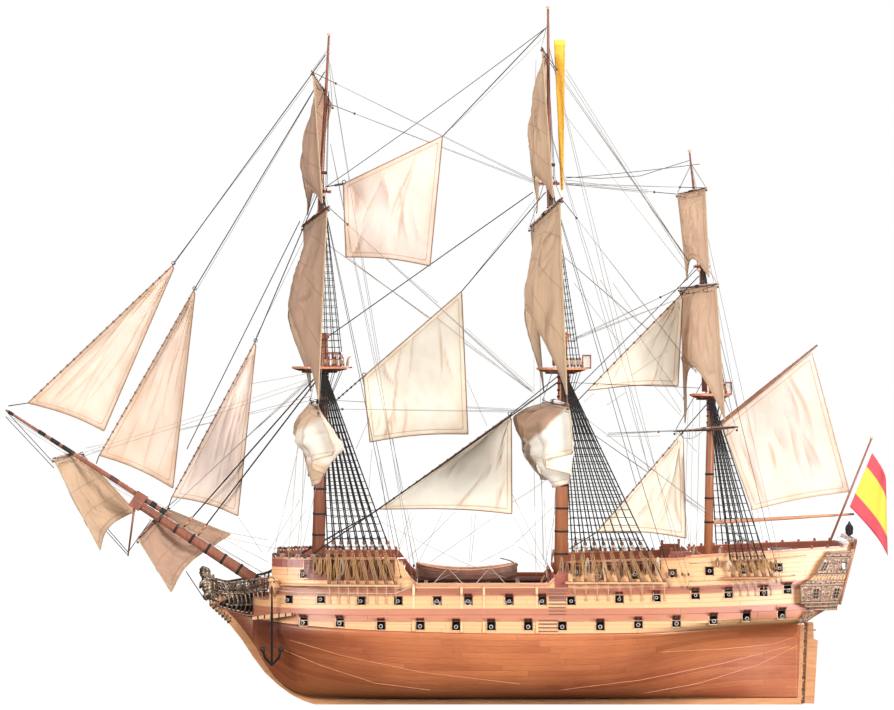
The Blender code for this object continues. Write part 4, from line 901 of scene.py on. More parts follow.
def build_ports(sides):
    """The gun ports of both sides, with their frames, lids and barrels, cut into the hull's sides."""
    cutters, trim, guns = Heap(), Heap(), Heap()
    size = (PORT_WIDTH, PORT_DEPTH + 3, PORT_HEIGHT)
    for row, ports in enumerate((LOWER_PORTS, UPPER_PORTS, RAIL_PORTS)):
        for pixel in ports:
            x, z = port_place(pixel)
            for side in BOTH:
                point, along, up, out = skin_frame(x, z, side)
                axes = (along, out, up)
                block(cutters, point + out * (1.5 - PORT_DEPTH / 2), size, "pocket", axes)
                frame_port(trim, point, axes)
                if row < 2 and pixel not in LIDLESS:
                    hang_lid(trim, point, axes)
                barrel(guns, point - up * 0.8, out, 3.4 if row < 2 else 5.0, 1.6 if row else 1.9)
    emit(trim, "port_trim")
    emit(guns, "guns")
    cut_ports(sides, cutters)


def apply_all(obj):
    graph = bpy.context.evaluated_depsgraph_get()
    mesh = bpy.data.meshes.new_from_object(obj.evaluated_get(graph))
    obj.modifiers.clear()
    obj.data = mesh


def barrel(heap, point, out, reach, radius):
    """A gun's barrel through a port, with its muzzle ring and bore."""
    line = [point - out * 7, point + out * reach * 0.75, point + out * reach]
    tube(heap, line, [radius * 1.15, radius * 0.9, radius * 0.95], "iron", 12)
    ring = [point + out * (reach + d) for d in (-0.5, -0.1, 0.2, 0.3)]
    tube(heap, ring, [radius, radius * 1.1, radius * 1.05, radius * 0.9], "steel", 14)
    # the bore: a near-black disc of painted shade
    tube(heap, [point + out * (reach - 0.3), point + out * (reach + 0.36)], radius * 0.68, "pocket", 14)


# The bottom's planking: its ends, its rows of faces and its planks, and where the deadwood starts
BOTTOM_FORE_X = -290.6
BOTTOM_AFT_X = 252.6
BOTTOM_FINE_X = -250.0  # ahead of this the stations stand closer
BOTTOM_ROWS = 26
BOTTOM_PLANKS = 17
DEADWOOD_X = 251.5


def build_bottom():
    """The bottom's planking, with the deadwood that closes it on the sternpost."""
    spots, x = [], BOTTOM_FORE_X
    while x < BOTTOM_AFT_X:
        spots.append(x)
        x += 2.0 if x < BOTTOM_FINE_X else 5.0
    rings, places = [], []
    for x in spots + [BOTTOM_AFT_X]:
        low = rabbet_z(x - SEAT) + SEAT
        heights = [mix(low, band_z(x), (j / BOTTOM_ROWS) ** 1.15) for j in range(BOTTOM_ROWS + 1)]
        half = [(hull_x(x, z), -half_breadth(x, z), z) for z in heights]
        run = [0.0]
        for p, q in zip(half, half[1:]):
            run.append(run[-1] + math.dist(p, q))
        rings.append(half)
        places.append([(x, 100 + r / run[-1] * BOTTOM_PLANKS) for r in run])
    heap = shell(rings, places, "bottom")
    for z0, z1 in ((KEEL_DEPTH + 0.4, 40.0), (40.0, 80.0)):
        a, b = [POST_FORE_X + z * POST_LEAN - 0.15 for z in (z0, z1)]
        ring = [(DEADWOOD_X, z0), (a, z0), (b, z1), (DEADWOOD_X, z1)]
        lofted(heap, [[(x, side * KEEL_HALF_WIDTH, z) for x, z in ring] for side in BOTH], "bottom")
    emit(heap, "hull_bottom", replaces=["lower_hull"])


def strake(heap, x0, x1, low, high, proud, look, step=6.0):
    """A strip on both sides' skin between two heights, which may be numbers or functions of x."""
    count = max(int(abs(x1 - x0) / step), 1)
    for side in BOTH:
        rings = []
        for k in range(count + 1):
            x = mix(x0, x1, k / count)
            bottom, top = [edge(x) if callable(edge) else edge for edge in (low, high)]
            corners = ((bottom, -0.4), (bottom, proud), (top, proud), (top, -0.4))
            ring = [(hull_x(x, z), side * (half_breadth(x, z) + out), z) for z, out in corners]
            rings.append(ring[::side])
        lofted(heap, rings, look)


def by_band(edge, rise):
    """A height beside one of the bands' edges, as a function of x."""
    return lambda x: band_marks(x)[edge] + rise


def by_rail(rise):
    return lambda x: rail_z(x) + rise


def skin_line(heap, pixels, radius, look, proud=0.2):
    """A line on both sides' skin through pixels of the photograph."""
    spots = []
    for (x0, y0), (x1, y1) in zip(pixels, pixels[1:]):
        steps = max(int(abs(x1 - x0) / 8), 2)
        spots += [port_place((mix(x0, x1, k / steps), mix(y0, y1, k / steps))) for k in range(steps)]
    spots.append(port_place(pixels[-1]))
    for side in BOTH:
        tube(heap, [(x, side * (side_at(x, z) + proud), z) for x, z in spots], radius, look, 6)


# Lines on the sides as pixels of the photograph: rails, mouldings, and the light seams of the bottom
RAIL_LINES = (
    ((280, 586.5), (340, 588), (400, 588.5), (415, 586)),
    ((272, 590), (300, 592.6), (395, 593.5), (408, 588), (415, 583)), ((690, 563), (760, 559), (806, 555)),
    ((690, 581), (760, 578), (795, 575)), ((576, 565.5), (660, 563)),
    ((573, 588.5), (700, 585.5), (796, 580)),
)
SEAM_LINES = (
    ((284, 650), (320, 665), (375, 683), (430, 690)), ((290, 640), (340, 655), (420, 672), (520, 684)),
    ((804, 625), (794, 637), (773, 644), (724, 649), (660, 652)),
    ((640, 694), (700, 683), (760, 664), (798, 645)), ((560, 690), (640, 680), (720, 664), (790, 646)),
)
# Fenders, as pixels across the photograph
FENDERS = (413.6, 461.6, 484.0, 537.0)
# Boarding steps, as (fore end, after end, lowest and highest pixel, how many)
STEPS = ((549, 566, 614, 590, 8), (539, 558, 631, 620, 4))


# Dark panels on the sides, as (fore end, after end, lower edge, upper edge, how far proud, look)
PANELS = (
    (-237, -148, CHANNELS["fore"][2] + 4, by_rail(-1.0), 0.35, "inner"),
    (-269, -238, 141.0, by_rail(-1.0), 0.35, "lid"), (22, 112, 138.5, by_rail(-1.0), 0.35, "inner"),
    (8, 21, 122.0, by_rail(-0.6), 0.7, "lid"), (2, 20, by_band(1, 1), by_band(4, -0.5), 0.6, "gangway"),
)


def build_trim():
    """Rails, mouldings, fenders, steps and dark panels on the sides."""
    heap, seams, panels = Heap(), Heap(), Heap()
    for edge in (1, 2, 3, 4):
        strake(heap, -284, 262, by_band(edge, -0.35), by_band(edge, 0.35), 1.1, "rail")
    strake(heap, -132, QUARTER_X + 4, by_rail(-2.2), by_rail(0.8), 1.3, "rail")
    for x0, x1 in ((-269, -147), (19, POOP_X), (POOP_X + 1, 281)):
        strake(heap, x0, x1, by_rail(-RAIL_CAP_DEPTH), by_rail(0.7), RAIL_CAP_PROUD + 0.3, "rail")
    for pixels in RAIL_LINES:
        skin_line(heap, pixels, 0.75, "gilt", 0.5)
    for pixel_x in FENDERS:
        x, _ = port_place((pixel_x, 612))
        strake(heap, x - 1.2, x + 1.2, by_band(0, 1), by_rail(-2.4), 2.0, "pale", 3)
    for first, last, low_px, high_px, count in STEPS:
        for k in range(count):
            pixel_y = mix(low_px, high_px, k / (count - 1))
            x0, z = port_place((first, pixel_y))
            x1, _ = port_place((last, pixel_y))
            strake(heap, x0, x1, z - 0.45, z + 0.45, 1.8, "gangway")
    for pixels in SEAM_LINES:
        skin_line(seams, pixels, 0.4, "seam", -0.15)
    for panel in PANELS:
        strake(panels, *panel, 5)
    emit(heap, "side_trim")
    emit(seams, "bottom_seams")
    emit(panels, "side_panels")


def build_keel():
    """The CAD keel and rudder keep their shape, with a timber finish, straps and a dark joint."""
    for name in ("keel", "rudder"):
        dress(name, "keel")
    post, blade = Heap(), Heap()
    for z in (8.0, 24.0, 41.0, 57.0, 74.0):
        for side in BOTH:
            block(post, (POST_AFT_X - 3.2 + z * POST_LEAN, side * 3.1, z), (6.0, 0.6, 1.8), "rail")
            block(blade, (POST_AFT_X + 7.0 + z * POST_LEAN, side * 2.15, z + 0.2), (6.0, 0.5, 1.6), "rail")
    for k in range(20):
        z = 3.0 + 4.0 * k
        width = 1.7 if k % 3 else 2.8
        for side in BOTH:
            block(post, (POST_AFT_X - 0.6 + z * POST_LEAN, side * 2.95, z), (width, 0.3, 3.7), "dark")
    emit(post, "gudgeons")
    emit(blade, "pintles", "rudder")


def dress(name, look):
    """Gives a CAD node that keeps its shape a look."""
    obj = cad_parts[name]
    obj.data.materials.clear()
    obj.data.materials.append(LOOKS[look])


# Stern
# The quarter galleries' form, as (height, fore end x, width)
GALLERY_LEVELS = (
    (98.5, 263, 2.0), (102, 255, 6.0), (107, 248, 8.5), (124, 248, 9.0), (128, 256, 8.5), (134, 263, 8.5),
    (150, 273, 8.0), (156, 277, 5.0),
)
TRANSOM_THICK = 3.0
# The galleries' mouldings, as (height, radius), black lines, and tiers of windows and panels, as
# (lower edge, upper edge, how many); the transom's rows of windows, as (lower edge, upper edge)
MOULDINGS = (
    (99.5, 1.0), (103, 0.8), (107, 1.1), (110, 0.5), (124, 1.1), (128.5, 0.9), (134, 1.0), (150, 1.0),
    (155.5, 1.2),
)
BLACK_MOULDINGS = (108.4, 126, 135.4, 151.4)
TIERS = ((108, 123.5, 4), (134.5, 149.5, 3))
WINDOW_ROWS = ((108, 120), (126, 138))


def gallery_point(share, z, out, side):
    """A point on a quarter gallery's side, at a share of its length from the fore end."""
    for (z0, fore0, width0), (z1, fore1, width1) in zip(GALLERY_LEVELS, GALLERY_LEVELS[1:]):
        if z <= z1:
            break
    level = (z - z0) / (z1 - z0)
    x = mix(mix(fore0, fore1, level), hull_x(TRANSOM_X, z) + SEAT + 0.6, share)
    return Vector((x, side * (side_at(x, max(z, COUNTER_Z + 1)) + mix(width0, width1, level) + out), z))


def scroll(heap, centre, along, up, out, radius, look, turns=1.6, thick=0.34):
    """A carved curl on a surface."""
    line = []
    for k in range(19):
        a, reach = 2 * math.pi * turns * k / 18, radius * (1 - 0.8 * k / 18)
        line.append(centre + (along * math.cos(a) + up * math.sin(a)) * reach + out * 0.2)
    tube(heap, line, thick, look, 5)


def stern_look():
    """The stern's castings: scrollwork on the galleries, a tan after edge, a red-brown taffrail and a
    black lantern."""
    made, tree = new_look("stern_casting", 0.45, 0.3)
    colours, strand = scrollwork(tree, (0.58, 0.39, 0.28), (0.075, 0.04, 0.03))
    x, _, z = world_place(tree)
    low, high = (hull_x(TRANSOM_X, z) + SEAT - 0.2 for z in (COUNTER_Z, TAFFRAIL_Z))
    slope = (high - low) / (TAFFRAIL_Z - COUNTER_Z)
    past = x - (z - COUNTER_Z * MM) * slope - low * MM
    colours = blend(past.ramp(0.0, 0.1 * MM), colours, (0.56, 0.33, 0.19))
    colours = blend(z.ramp(158.0 * MM, 158.4 * MM), colours, (0.20, 0.07, 0.045))
    colours = blend(z.ramp(168.3 * MM, 168.5 * MM), colours, (0.025, 0.02, 0.018))
    paint(tree, colours, strand, 0.7, 0.7)
    return made


def transom_x(z):
    """Where the transom's facing ends at a height."""
    return hull_x(TRANSOM_X, z) + SEAT + TRANSOM_THICK


def carve_window(heap, middle, axes):
    """A gallery's window with its glazing bars."""
    along, _, up = axes
    block(heap, middle, (5.2, 0.7, 9.5), "pocket", axes)
    for shift in (-2.9, 0, 2.9):
        block(heap, middle + along * shift, (0.5, 1.0, 10.5), "carved", axes)
    for shift in (-5.0, -1.6, 1.6, 5.0):
        block(heap, middle + up * shift, (6.2, 1.0, 0.5), "carved", axes)


def carve_tier(heap, side, low, high, count):
    """A tier of a quarter gallery: pilasters, and by turns a window and a panel with two curls."""
    for k in range(count + 1):
        share, heights = k / count * 0.98 + 0.01, (low, (low + high) / 2, high)
        tube(heap, [gallery_point(share, z, 0.2, side) for z in heights], 0.75, "carved", 6)
    for k in range(count):
        spot = (k + 0.5) / count
        middle = gallery_point(spot, (low + high) / 2, 0.1, side)
        along = (gallery_point(spot + 0.05, middle.z, 0.1, side) - middle).normalized()
        up = (gallery_point(spot, middle.z + 2, 0.1, side) - middle).normalized()
        out = STARBOARD * side
        if (k + (count == 3)) % 2:
            carve_window(heap, middle, (along, out, up))
            continue
        for turn in (1, -1):
            scroll(heap, middle + up * 3.4 * turn, along * turn, up, out, 2.6, "carved")
        ball(heap, middle, 0.9, "carved", 1.3)


def carve_gallery(heap, side):
    """A quarter gallery's mouldings, tiers, balusters, black lines, badge and lower curls."""
    for z, thick in MOULDINGS:
        tube(heap, [gallery_point(k / 8, z, 0.2, side) for k in range(9)], thick, "carved", 7)
    for tier in TIERS:
        carve_tier(heap, side, *tier)
    for k in range(11):
        line = [gallery_point(0.04 + 0.92 * k / 10, z, 0.3, side) for z in (129, 130.3, 131.5, 133.5)]
        tube(heap, line, [0.6, 1.25, 0.6, 0.9], "pale", 8)
    for z in BLACK_MOULDINGS:
        tube(heap, [gallery_point(k / 8, z, 0.45, side) for k in range(9)], 0.3, "iron", 5)
    heights = (104, 118, 133, 148, 166)
    edge = [(transom_x(z), side * (half_breadth(TRANSOM_X, z) + 3.4), z) for z in heights]
    tube(heap, edge, 1.4, "rail", 7)
    block(heap, gallery_point(0.82, 142, 0.6, side), (3.6, 0.6, 6.0), "glass")
    for k in range(3):
        middle = Vector((256 - 3.5 * k, side * (side_at(256, 100) + 5.5), 97 - 4 * k))
        scroll(heap, middle, AFTWARD, UP, STARBOARD * side, 3.0 - 0.6 * k, "carved", 1.5, 0.6)


def carve_transom(heap):
    """The transom's rows of windows with a moulding above and below, its curls, and the lantern's bars."""
    for low, high in WINDOW_ROWS:
        z = (low + high) / 2
        x = transom_x(z) + 0.2
        for k in range(7):
            y = mix(-33, 33, k / 6)
            block(heap, (x, y, z), (0.8, 6.4, 9.4), "pocket")
            for shift in (-3.4, 0, 3.4):
                block(heap, (x + 0.3, y + shift, z), (0.8, 0.6, 10.4), "carved")
            for shift in (-4.9, 0, 4.9):
                block(heap, (x + 0.3, y, z + shift), (0.8, 7.2, 0.6), "carved")
        for height in (low - 2, high + 2):
            x = transom_x(height) + 0.2
            tube(heap, [(x, -42, height), (x, 42, height)], 0.9, "carved", 7)
    for k in range(-5, 6):
        middle = Vector((transom_x(150) + 0.3, 7 * k, 150 + 4 * math.cos(k * 0.28)))
        scroll(heap, middle, STARBOARD * (1 if k < 0 else -1), UP, AFTWARD, 3.0, "carved", 1.5, 0.55)
    top = hull_x(TRANSOM_X, TAFFRAIL_Z) + SEAT + TRANSOM_THICK / 2 + 1
    for k in range(8):
        a = math.pi * k / 4
        levels = ((3.3, 170), (3.8, 176), (2.5, 179.2))
        tube(heap, [(top + r * math.cos(a), r * math.sin(a), z) for r, z in levels], 0.4, "iron", 5)


def build_gallery():
    heap = Heap()
    for side in BOTH:
        carve_gallery(heap, side)
    carve_transom(heap)
    emit(heap, "stern_carving")


# Bow
# The figure's body, as (x, z, radius) up its middle
FIGURE_SPINE = (
    (-331.8, 104.0, 2.4), (-333.4, 109, 3.8), (-336, 115, 4.6), (-337, 121, 4.9), (-337.6, 127, 3.6),
    (-338.6, 130, 4.4), (-338.8, 134.5, 4.5), (-337.6, 138, 2.4),
)
# Its fore legs, hind legs and tail, as (x, y, z, radius) at each point
FIGURE_LIMBS = (
    ((-338, 2.6, 125, 1.9), (-342.6, 3.4, 121.5, 1.5), (-343.6, 3.0, 116, 1.2)),
    ((-335, 3.0, 112, 2.0), (-339.6, 3.4, 108.6, 1.6), (-336.5, 3.0, 104.0, 1.3)),
    ((-331, 2.4, 106, 1.0), (-326, 3.4, 112, 0.9), (-324.5, 3.6, 119, 0.8), (-328, 3.4, 122, 0.9)),
)
UPPER_RAIL = ((-331, 5.2, 125), (-318, 9, 121.5), (-300, 20, 124), (-273.3, 36, 130))
HEAD_TIMBERS = 15
LATTICE_FOOT = ((-330, 4.2, 100), (-312, 4.6, 95), (-292, 8.5, 91.5), (-277, 26, 93))
# The head's cheeks, as (x, y, z, radius) at each point, and curls, as (x, height, which way they turn)
HEAD_CHEEKS = (
    (((-330, 3.6, 104, 0.7), (-312, 4.4, 99, 1.0), (-292, 10, 100.5, 1.0), (-276, 24, 104, 0.8)), "bronze"),
    (((-328, 3.5, 98, 0.6), (-312, 3.8, 93, 0.8), (-296, 5.5, 89, 0.9), (-284, 13, 90, 0.7)), "knee"),
)
HEAD_CURLS = ((-330, 108, 1), (-322, 112, -1), (-313, 114, 1), (-303, 115.5, -1), (-292, 117, 1))
LOWER_RAIL = ((-329, 4.6, 112), (-312, 9, 110.8), (-297, 17, 112.5), (-273.3, 36, 119))


def build_figurehead():
    """A rearing lion, cast, with its mane in curls and a drape down the stem."""
    heap = Heap()
    spine, radii = [], []
    for a, b in zip(FIGURE_SPINE, FIGURE_SPINE[1:]):
        for k in range(5):
            x, z, r = [mix(a[i], b[i], k / 5) for i in range(3)]
            spine.append((x, 0, z))
            radii.append(r * (1.22 + 0.1 * math.sin(2.3 * len(spine))))
    tube(heap, spine, radii, "bronze", 16)
    belly = [(x + 4.5, y, z) for x, y, z in spine[2:24]]
    tube(heap, belly, [min(r, 4.6) * 0.9 for r in radii[2:24]], "bronze", 14)
    for side in BOTH:
        for limb in FIGURE_LIMBS:
            tube(heap, [(x, side * y, z) for x, y, z, _ in limb], [r for *_, r in limb], "bronze", 8)
        for k in range(7):
            x, z = mix(-333.5, -316, k / 6), mix(101, 84, k / 6)
            leaf = [(x, side * 2.6, z - 2.6), (x + 1.4, side * 3.9, z), (x + 3.0, side * 3.1, z + 3.4)]
            tube(heap, leaf, [0.9, 1.3, 0.7], "bronze", 7)
    for k in range(34):
        a, b = k * 2.4, mix(-0.7, 1.0, k / 33)
        ring = 4.4 * math.sqrt(max(1 - b * b, 0.05))
        spot = (-337.4 + ring * 0.75 * math.cos(a), ring * math.sin(a), 130 + 5.0 * b)
        ball(heap, spot, 1.25, "bronze", 1.0, 6)
    ball(heap, (-342.2, 0, 132.4), 2.1, "bronze", 0.9, 10)
    tube(heap, [(-342.6, 0, 131.6), (-344.6, 0, 130.8)], [1.5, 1.1], "bronze", 8)
    emit(heap, "lion_figure", replaces=["figurehead"])


def on_route(route, x):
    for (x0, y0, z0), (x1, y1, z1) in zip(route, route[1:]):
        if x <= x1:
            break
    share = (x - x0) / (x1 - x0)
    return Vector((x, mix(y0, y1, share), mix(z0, z1, share)))


def carve_rails(heap, side):
    """The head's rails, with the timbers and the netting between them."""
    rows = []
    for share in (0.0, 0.35, 0.7, 1.0):
        row = []
        for k in range(HEAD_TIMBERS):
            x = mix(-329, -273.6, k / (HEAD_TIMBERS - 1))
            point = on_route(UPPER_RAIL, x).lerp(on_route(LOWER_RAIL, x), share)
            sag = 2.4 * math.sin(math.pi * k / (HEAD_TIMBERS - 1)) * math.sin(math.pi * share)
            row.append(Vector((point.x, side * (point.y + 0.4), point.z - sag)))
        rows.append(row)
    for row, thick in zip(rows, (1.25, 0.6, 0.6, 1.25)):
        tube(heap, row, thick, "bronze", 8)
    for k in range(HEAD_TIMBERS):
        tube(heap, [row[k] for row in rows], [0.7, 1.2, 0.8, 1.0], "dark" if k % 3 else "bronze", 6)
        if k < HEAD_TIMBERS - 1:
            tube(heap, [rows[1][k], rows[2][k + 1]], 0.5, "iron", 5)


def carve_cheeks(heap, side):
    """The cheeks below the rails, the cathead with its bracket, and curls."""
    for line, look in HEAD_CHEEKS:
        tube(heap, [(x, side * y, z) for x, y, z, _ in line], [r for *_, r in line], look, 7)
    tube(heap, [(-262, side * 36, 127.5), (-269, side * 66, 129.8)], [2.3, 2.0], "pale", 4)
    tube(heap, [(-266, side * (side_at(-266, 112) + 0.4), 112), (-268, side * 62, 128)], 1.2, "pale", 6)
    ball(heap, (-269.4, side * 66.4, 129.8), 1.9, "gilt")
    for x, z, turn in HEAD_CURLS:
        middle = Vector((x, side * (on_route(LOWER_RAIL, max(x, -329)).y + 1.2), z))
        scroll(heap, middle, AFTWARD * turn, UP, STARBOARD * side, 3.0, "bronze", 1.5, 0.7)


def carve_lattice(heap, side):
    """Short carved timbers over the hollow between the lower rail and the knee."""
    for k in range(11):
        x = mix(-324, -280, k / 10)
        top, low = on_route(LOWER_RAIL, x), on_route(LATTICE_FOOT, x)
        middle = top.lerp(low, 0.5) + STARBOARD * 0.8
        leant = ((top, 0), (middle, 1.5), (low, -1.5))
        line = [Vector((p.x + shift, side * (p.y + 0.6), p.z)) for p, shift in leant]
        tube(heap, line, [0.9, 0.6, 0.8], "bronze" if k % 2 else "carved", 6)
    tube(heap, [(x, side * y, z) for x, y, z in LATTICE_FOOT], 1.1, "bronze", 8)


def add_anchor_parts(heap, side):
    """The anchor's flukes and its ring."""
    for tip in (-9.5, 9.5):
        foot = Vector((ANCHOR_X + tip * 1.02, side * ANCHOR_Y, 62.5))
        inward = Vector((-tip * 0.32, 0, -3.4))
        tube(heap, [foot - inward * 0.5, foot + inward * 0.2, foot + inward], [0.4, 2.6, 1.0], "iron", 4)
    tube(heap, circle((ANCHOR_X, side * ANCHOR_Y, 129), 2.6, 8), 0.6, "iron", 6, False)


def build_head():
    """The beakhead's carved rails, timbers and netting, over the CAD rails, with the catheads, and the
    darker planking on the faces of the head's knee, inside the paler stem strip."""
    dress("head_rails", "dark")
    heap = Heap()
    for side in BOTH:
        carve_rails(heap, side)
        carve_cheeks(heap, side)
        # a near-black plate behind the lattice: painted shade in the open head
        plate(heap, HEAD_HOLLOW, side, 0.8, 0.1, "iron")
        carve_lattice(heap, side)
    for side in BOTH:
        add_anchor_parts(heap, side)
    for side in BOTH:
        plate(heap, STEM_INSET, side, 0.35, -0.5, "knee")
    emit(heap, "head_carving")


# The anchors' place, and the height of their stocks' middle
ANCHOR_X = -268.0
ANCHOR_Y = 58.0
STOCK_Z = 94.0
# The hollow over the knee, where a near-black plate is painted shade, and the knee's darker face,
# as outlines of (x, z)
HEAD_HOLLOW = ((-325, 100.5), (-316, 105.6), (-300, 107.6), (-291, 112), (-291, 93), (-304, 93.5), (-316, 96))
STEM_INSET = (
    (-237, 8.5), (-249, 16), (-262, 27), (-275, 40), (-287, 56), (-298, 72), (-309, 86), (-320, 96.5),
    (-327, 101), (-313, 106.5), (-299, 108.6), (-288, 112), (-270, 112), (-262, 60), (-240, 14),
)


def anchor_look():
    """Black iron, with the stock that crosses the shank in banded wood."""
    made, tree = new_look("anchor_iron", 0.8, Specular_IOR_Level=0.15)
    x, _, z = world_place(tree)
    height, reach = abs(z - STOCK_Z * MM), abs(x + -ANCHOR_X * MM)
    stock = (1.0 - height.ramp(5.8 * MM, 6.0 * MM)) * reach.ramp(1.4 * MM, 1.5 * MM)
    bands = (reach / (6.5 * MM)).fract()
    paint(tree, blend(stock * bands.ramp(0.2, 0.22), (0.012, 0.012, 0.014), (0.62, 0.36, 0.20)))
    return made


# Boat and decks
BOAT_ENDS = (-128.0, -27.0)
BOAT_Z = 122.3
BOAT_HALF = 12.0
BOAT_DEPTH = 13.0
BOAT_SHEER = 6.0


def boat_edge(x, side):
    share = 2 * (x - BOAT_ENDS[0]) / (BOAT_ENDS[1] - BOAT_ENDS[0]) - 1
    half = BOAT_HALF * (1 - abs(share) ** 2.6) ** 0.5
    return Vector((x, side * half, BOAT_Z + BOAT_DEPTH + BOAT_SHEER * share * share))


def build_boat_fittings():
    """The longboat's gunwales, thwarts and tiller, and the lines that hold it down."""
    dress("longboat", "boat")
    dress("skid_beams", "gangway")
    heap = Heap()
    for side in BOTH:
        line = [boat_edge(mix(BOAT_ENDS[0] + 1, BOAT_ENDS[1] - 1, k / 20), side) for k in range(21)]
        tube(heap, line, 0.9, "rail", 7)
        low = [p - Vector((0, side * 0.25, 3.4)) for p in line]
        tube(heap, low, 0.45, "lid", 5)
    for x in (-112, -98, -84, -70, -56, -44):
        reach = boat_edge(x, 1)
        block(heap, (x, 0, reach.z - 2.0), (3.0, 2 * reach.y - 1.5, 1.0), "lid")
    tube(heap, [(-26, 0, 139), (-34, 0, 143.5), (-44, 0, 146)], [0.8, 0.6, 0.5], "dark", 6)
    block(heap, (-27.5, 0, 134), (1.4, 1.6, 12), "dark")
    for x0, x1 in ((-112, -80), (-70, -38)):
        for side in BOTH:
            ends = Vector((x0, side * 52, 123.5)), Vector((x1, side * 52, 123.5))
            middle = boat_edge((x0 + x1) / 2, side) + Vector((0, side * 1.2, 1.2))
            tube(heap, [ends[0], middle, ends[1]], 0.35, "pale_rope", 5)
    emit(heap, "boat_fittings")


# Gratings, as (middle x, deck height, length, width), and ladders, as (foot x, foot z, head x, head z)
GRATINGS = (
    (-182, FORECASTLE_Z, 26, 24), (-254, FORECASTLE_Z, 12, 22), (52, QUARTERDECK_Z, 30, 22),
    (96, QUARTERDECK_Z, 22, 20), (205, 147.5, 20, 16),
)
LADDERS = (
    (-12, WAIST_Z, 2, QUARTERDECK_Z), (-124, WAIST_Z, -137, FORECASTLE_Z), (128, QUARTERDECK_Z, 139, POOP_Z),
)
# Rails across the decks' breaks, as (x, deck height, half width)
BREAK_RAILS = ((-140.0, FORECASTLE_Z, 54), (6.5, QUARTERDECK_Z, 54), (142.0, POOP_Z + 0.5, 46))

WHEEL = Vector((126, 0, QUARTERDECK_Z + 9))
BELFRY = Vector((-143, 0, FORECASTLE_Z))
# Capstans, as (x, deck height), and their form as (height, radius)
CAPSTANS = ((112, QUARTERDECK_Z), (-160, FORECASTLE_Z))
CAPSTAN_LEVELS = ((0.4, 6.0), (2.0, 5.6), (3.0, 3.4), (9.0, 4.2), (9.6, 6.0), (12.0, 6.0), (12.6, 4.6))


def build_gratings(heap):
    """Gratings, each a coaming with bars both ways."""
    for x, z, long, wide in GRATINGS:
        for sign in BOTH:
            block(heap, (x, sign * wide / 2, z + 1.0), (long + 1.6, 1.4, 2.4), "lid")
            block(heap, (x + sign * long / 2, 0, z + 1.0), (1.4, wide, 2.4), "lid")
        for k in range(1, int(long / 2.5)):
            block(heap, (x - long / 2 + 2.5 * k, 0, z + 1.2), (0.8, wide, 1.0), "pale")
        for k in range(1, int(wide / 2.5)):
            block(heap, (x, -wide / 2 + 2.5 * k, z + 1.1), (long, 0.8, 1.0), "pale")


def build_ladders(heap):
    for x0, z0, x1, z1 in LADDERS:
        for y in (-34, 34):
            for side in (-4.5, 4.5):
                tube(heap, [(x0, y + side, z0 + 0.5), (x1, y + side, z1 + 0.5)], 0.9, "rail", 4)
            for k in range(1, 7):
                block(heap, (mix(x0, x1, k / 7), y, mix(z0, z1, k / 7)), (2.6, 8.6, 0.7), "rail")


def build_break_rails(heap):
    for x, z, half in BREAK_RAILS:
        for k in range(15):
            y = mix(-half, half, k / 14)
            block(heap, (x, y, z + 5.5), (1.3, 1.3, 11), "lid")
        for height in (4.0, 11.5):
            block(heap, (x, 0, z + height), (1.8, 2 * half, 1.2), "lid")


def build_capstans(heap):
    for x, z in CAPSTANS:
        tube(heap, [(x, 0, z + h) for h, _ in CAPSTAN_LEVELS], [r for _, r in CAPSTAN_LEVELS], "lid", 14)


def build_belfry(heap):
    for side in BOTH:
        tube(heap, [BELFRY + Vector((0, side * 5, h)) for h in (0, 20)], 1.1, "gilt", 6)
    block(heap, BELFRY + UP * 21, (7, 13, 2), "lid")
    tube(heap, [BELFRY + UP * h for h in (20, 17.5, 14, 12.5)], [0.5, 2.0, 2.6, 3.2], "gilt", 12)


def build_wheel(heap):
    """The wheel on its stand, the binnacle ahead of it and the skylight in the poop."""
    for a in range(12):
        turn = 2 * math.pi * a / 12
        spoke = (STARBOARD * math.cos(turn) + UP * math.sin(turn)) * 7.6
        tube(heap, [WHEEL, WHEEL + spoke], 0.4, "rail", 5)
    tube(heap, circle(WHEEL, 6, 24, STARBOARD), 0.7, "rail", 6, False)
    block(heap, WHEEL - UP * 5, (1.6, 3, 9), "rail")
    block(heap, (118, 0, QUARTERDECK_Z + 4), (4, 9, 8), "gilt")
    block(heap, (236, 0, 152), (24, 16, 6), "lid")
    block(heap, (236, 0, 155.4), (20, 12, 1.2), "pane")


def build_bitts(heap):
    """Racks of pins ahead of the masts and behind them, with coils on the pins."""
    for word, mast in LOWER_MASTS.items():
        z = mast[1] + (2 if word == "mizzen" else 0)
        for dx in (-13, 13):
            for side in BOTH:
                block(heap, (mast[0] + dx, side * 11, z + 6), (2, 2, 12), "lid")
            block(heap, (mast[0] + dx, 0, z + 9.5), (1.6, 26, 1.8), "lid")
            for k in range(6):
                spot = (mast[0] + dx, mix(-9, 9, k / 5), z + 9)
                hank(heap, spot, 8, 1.6, "pale_rope", 2)


def build_rail_posts(heap):
    """Short posts with round heads along the rails."""
    for x0, x1, step, high in ((-268, -149, 6.5, 5.0), (8, 137, 8.0, 4.0), (150, 276, 12.6, 3.0)):
        count = int((x1 - x0) / step)
        for k in range(count + 1):
            x = mix(x0, x1, k / count)
            for side in BOTH:
                y, z = side * (side_at(x, rail_z(x)) - 1.3), rail_z(x)
                tall = high * DICE.uniform(0.3, 0.6)
                block(heap, (hull_x(x, z), y, z + tall / 2), (2.4, 2.2, tall), "lid")
                ball(heap, (hull_x(x, z), y, z + tall + 0.5), 1.4, "dark" if k % 2 else "lid", 0.9, 7)


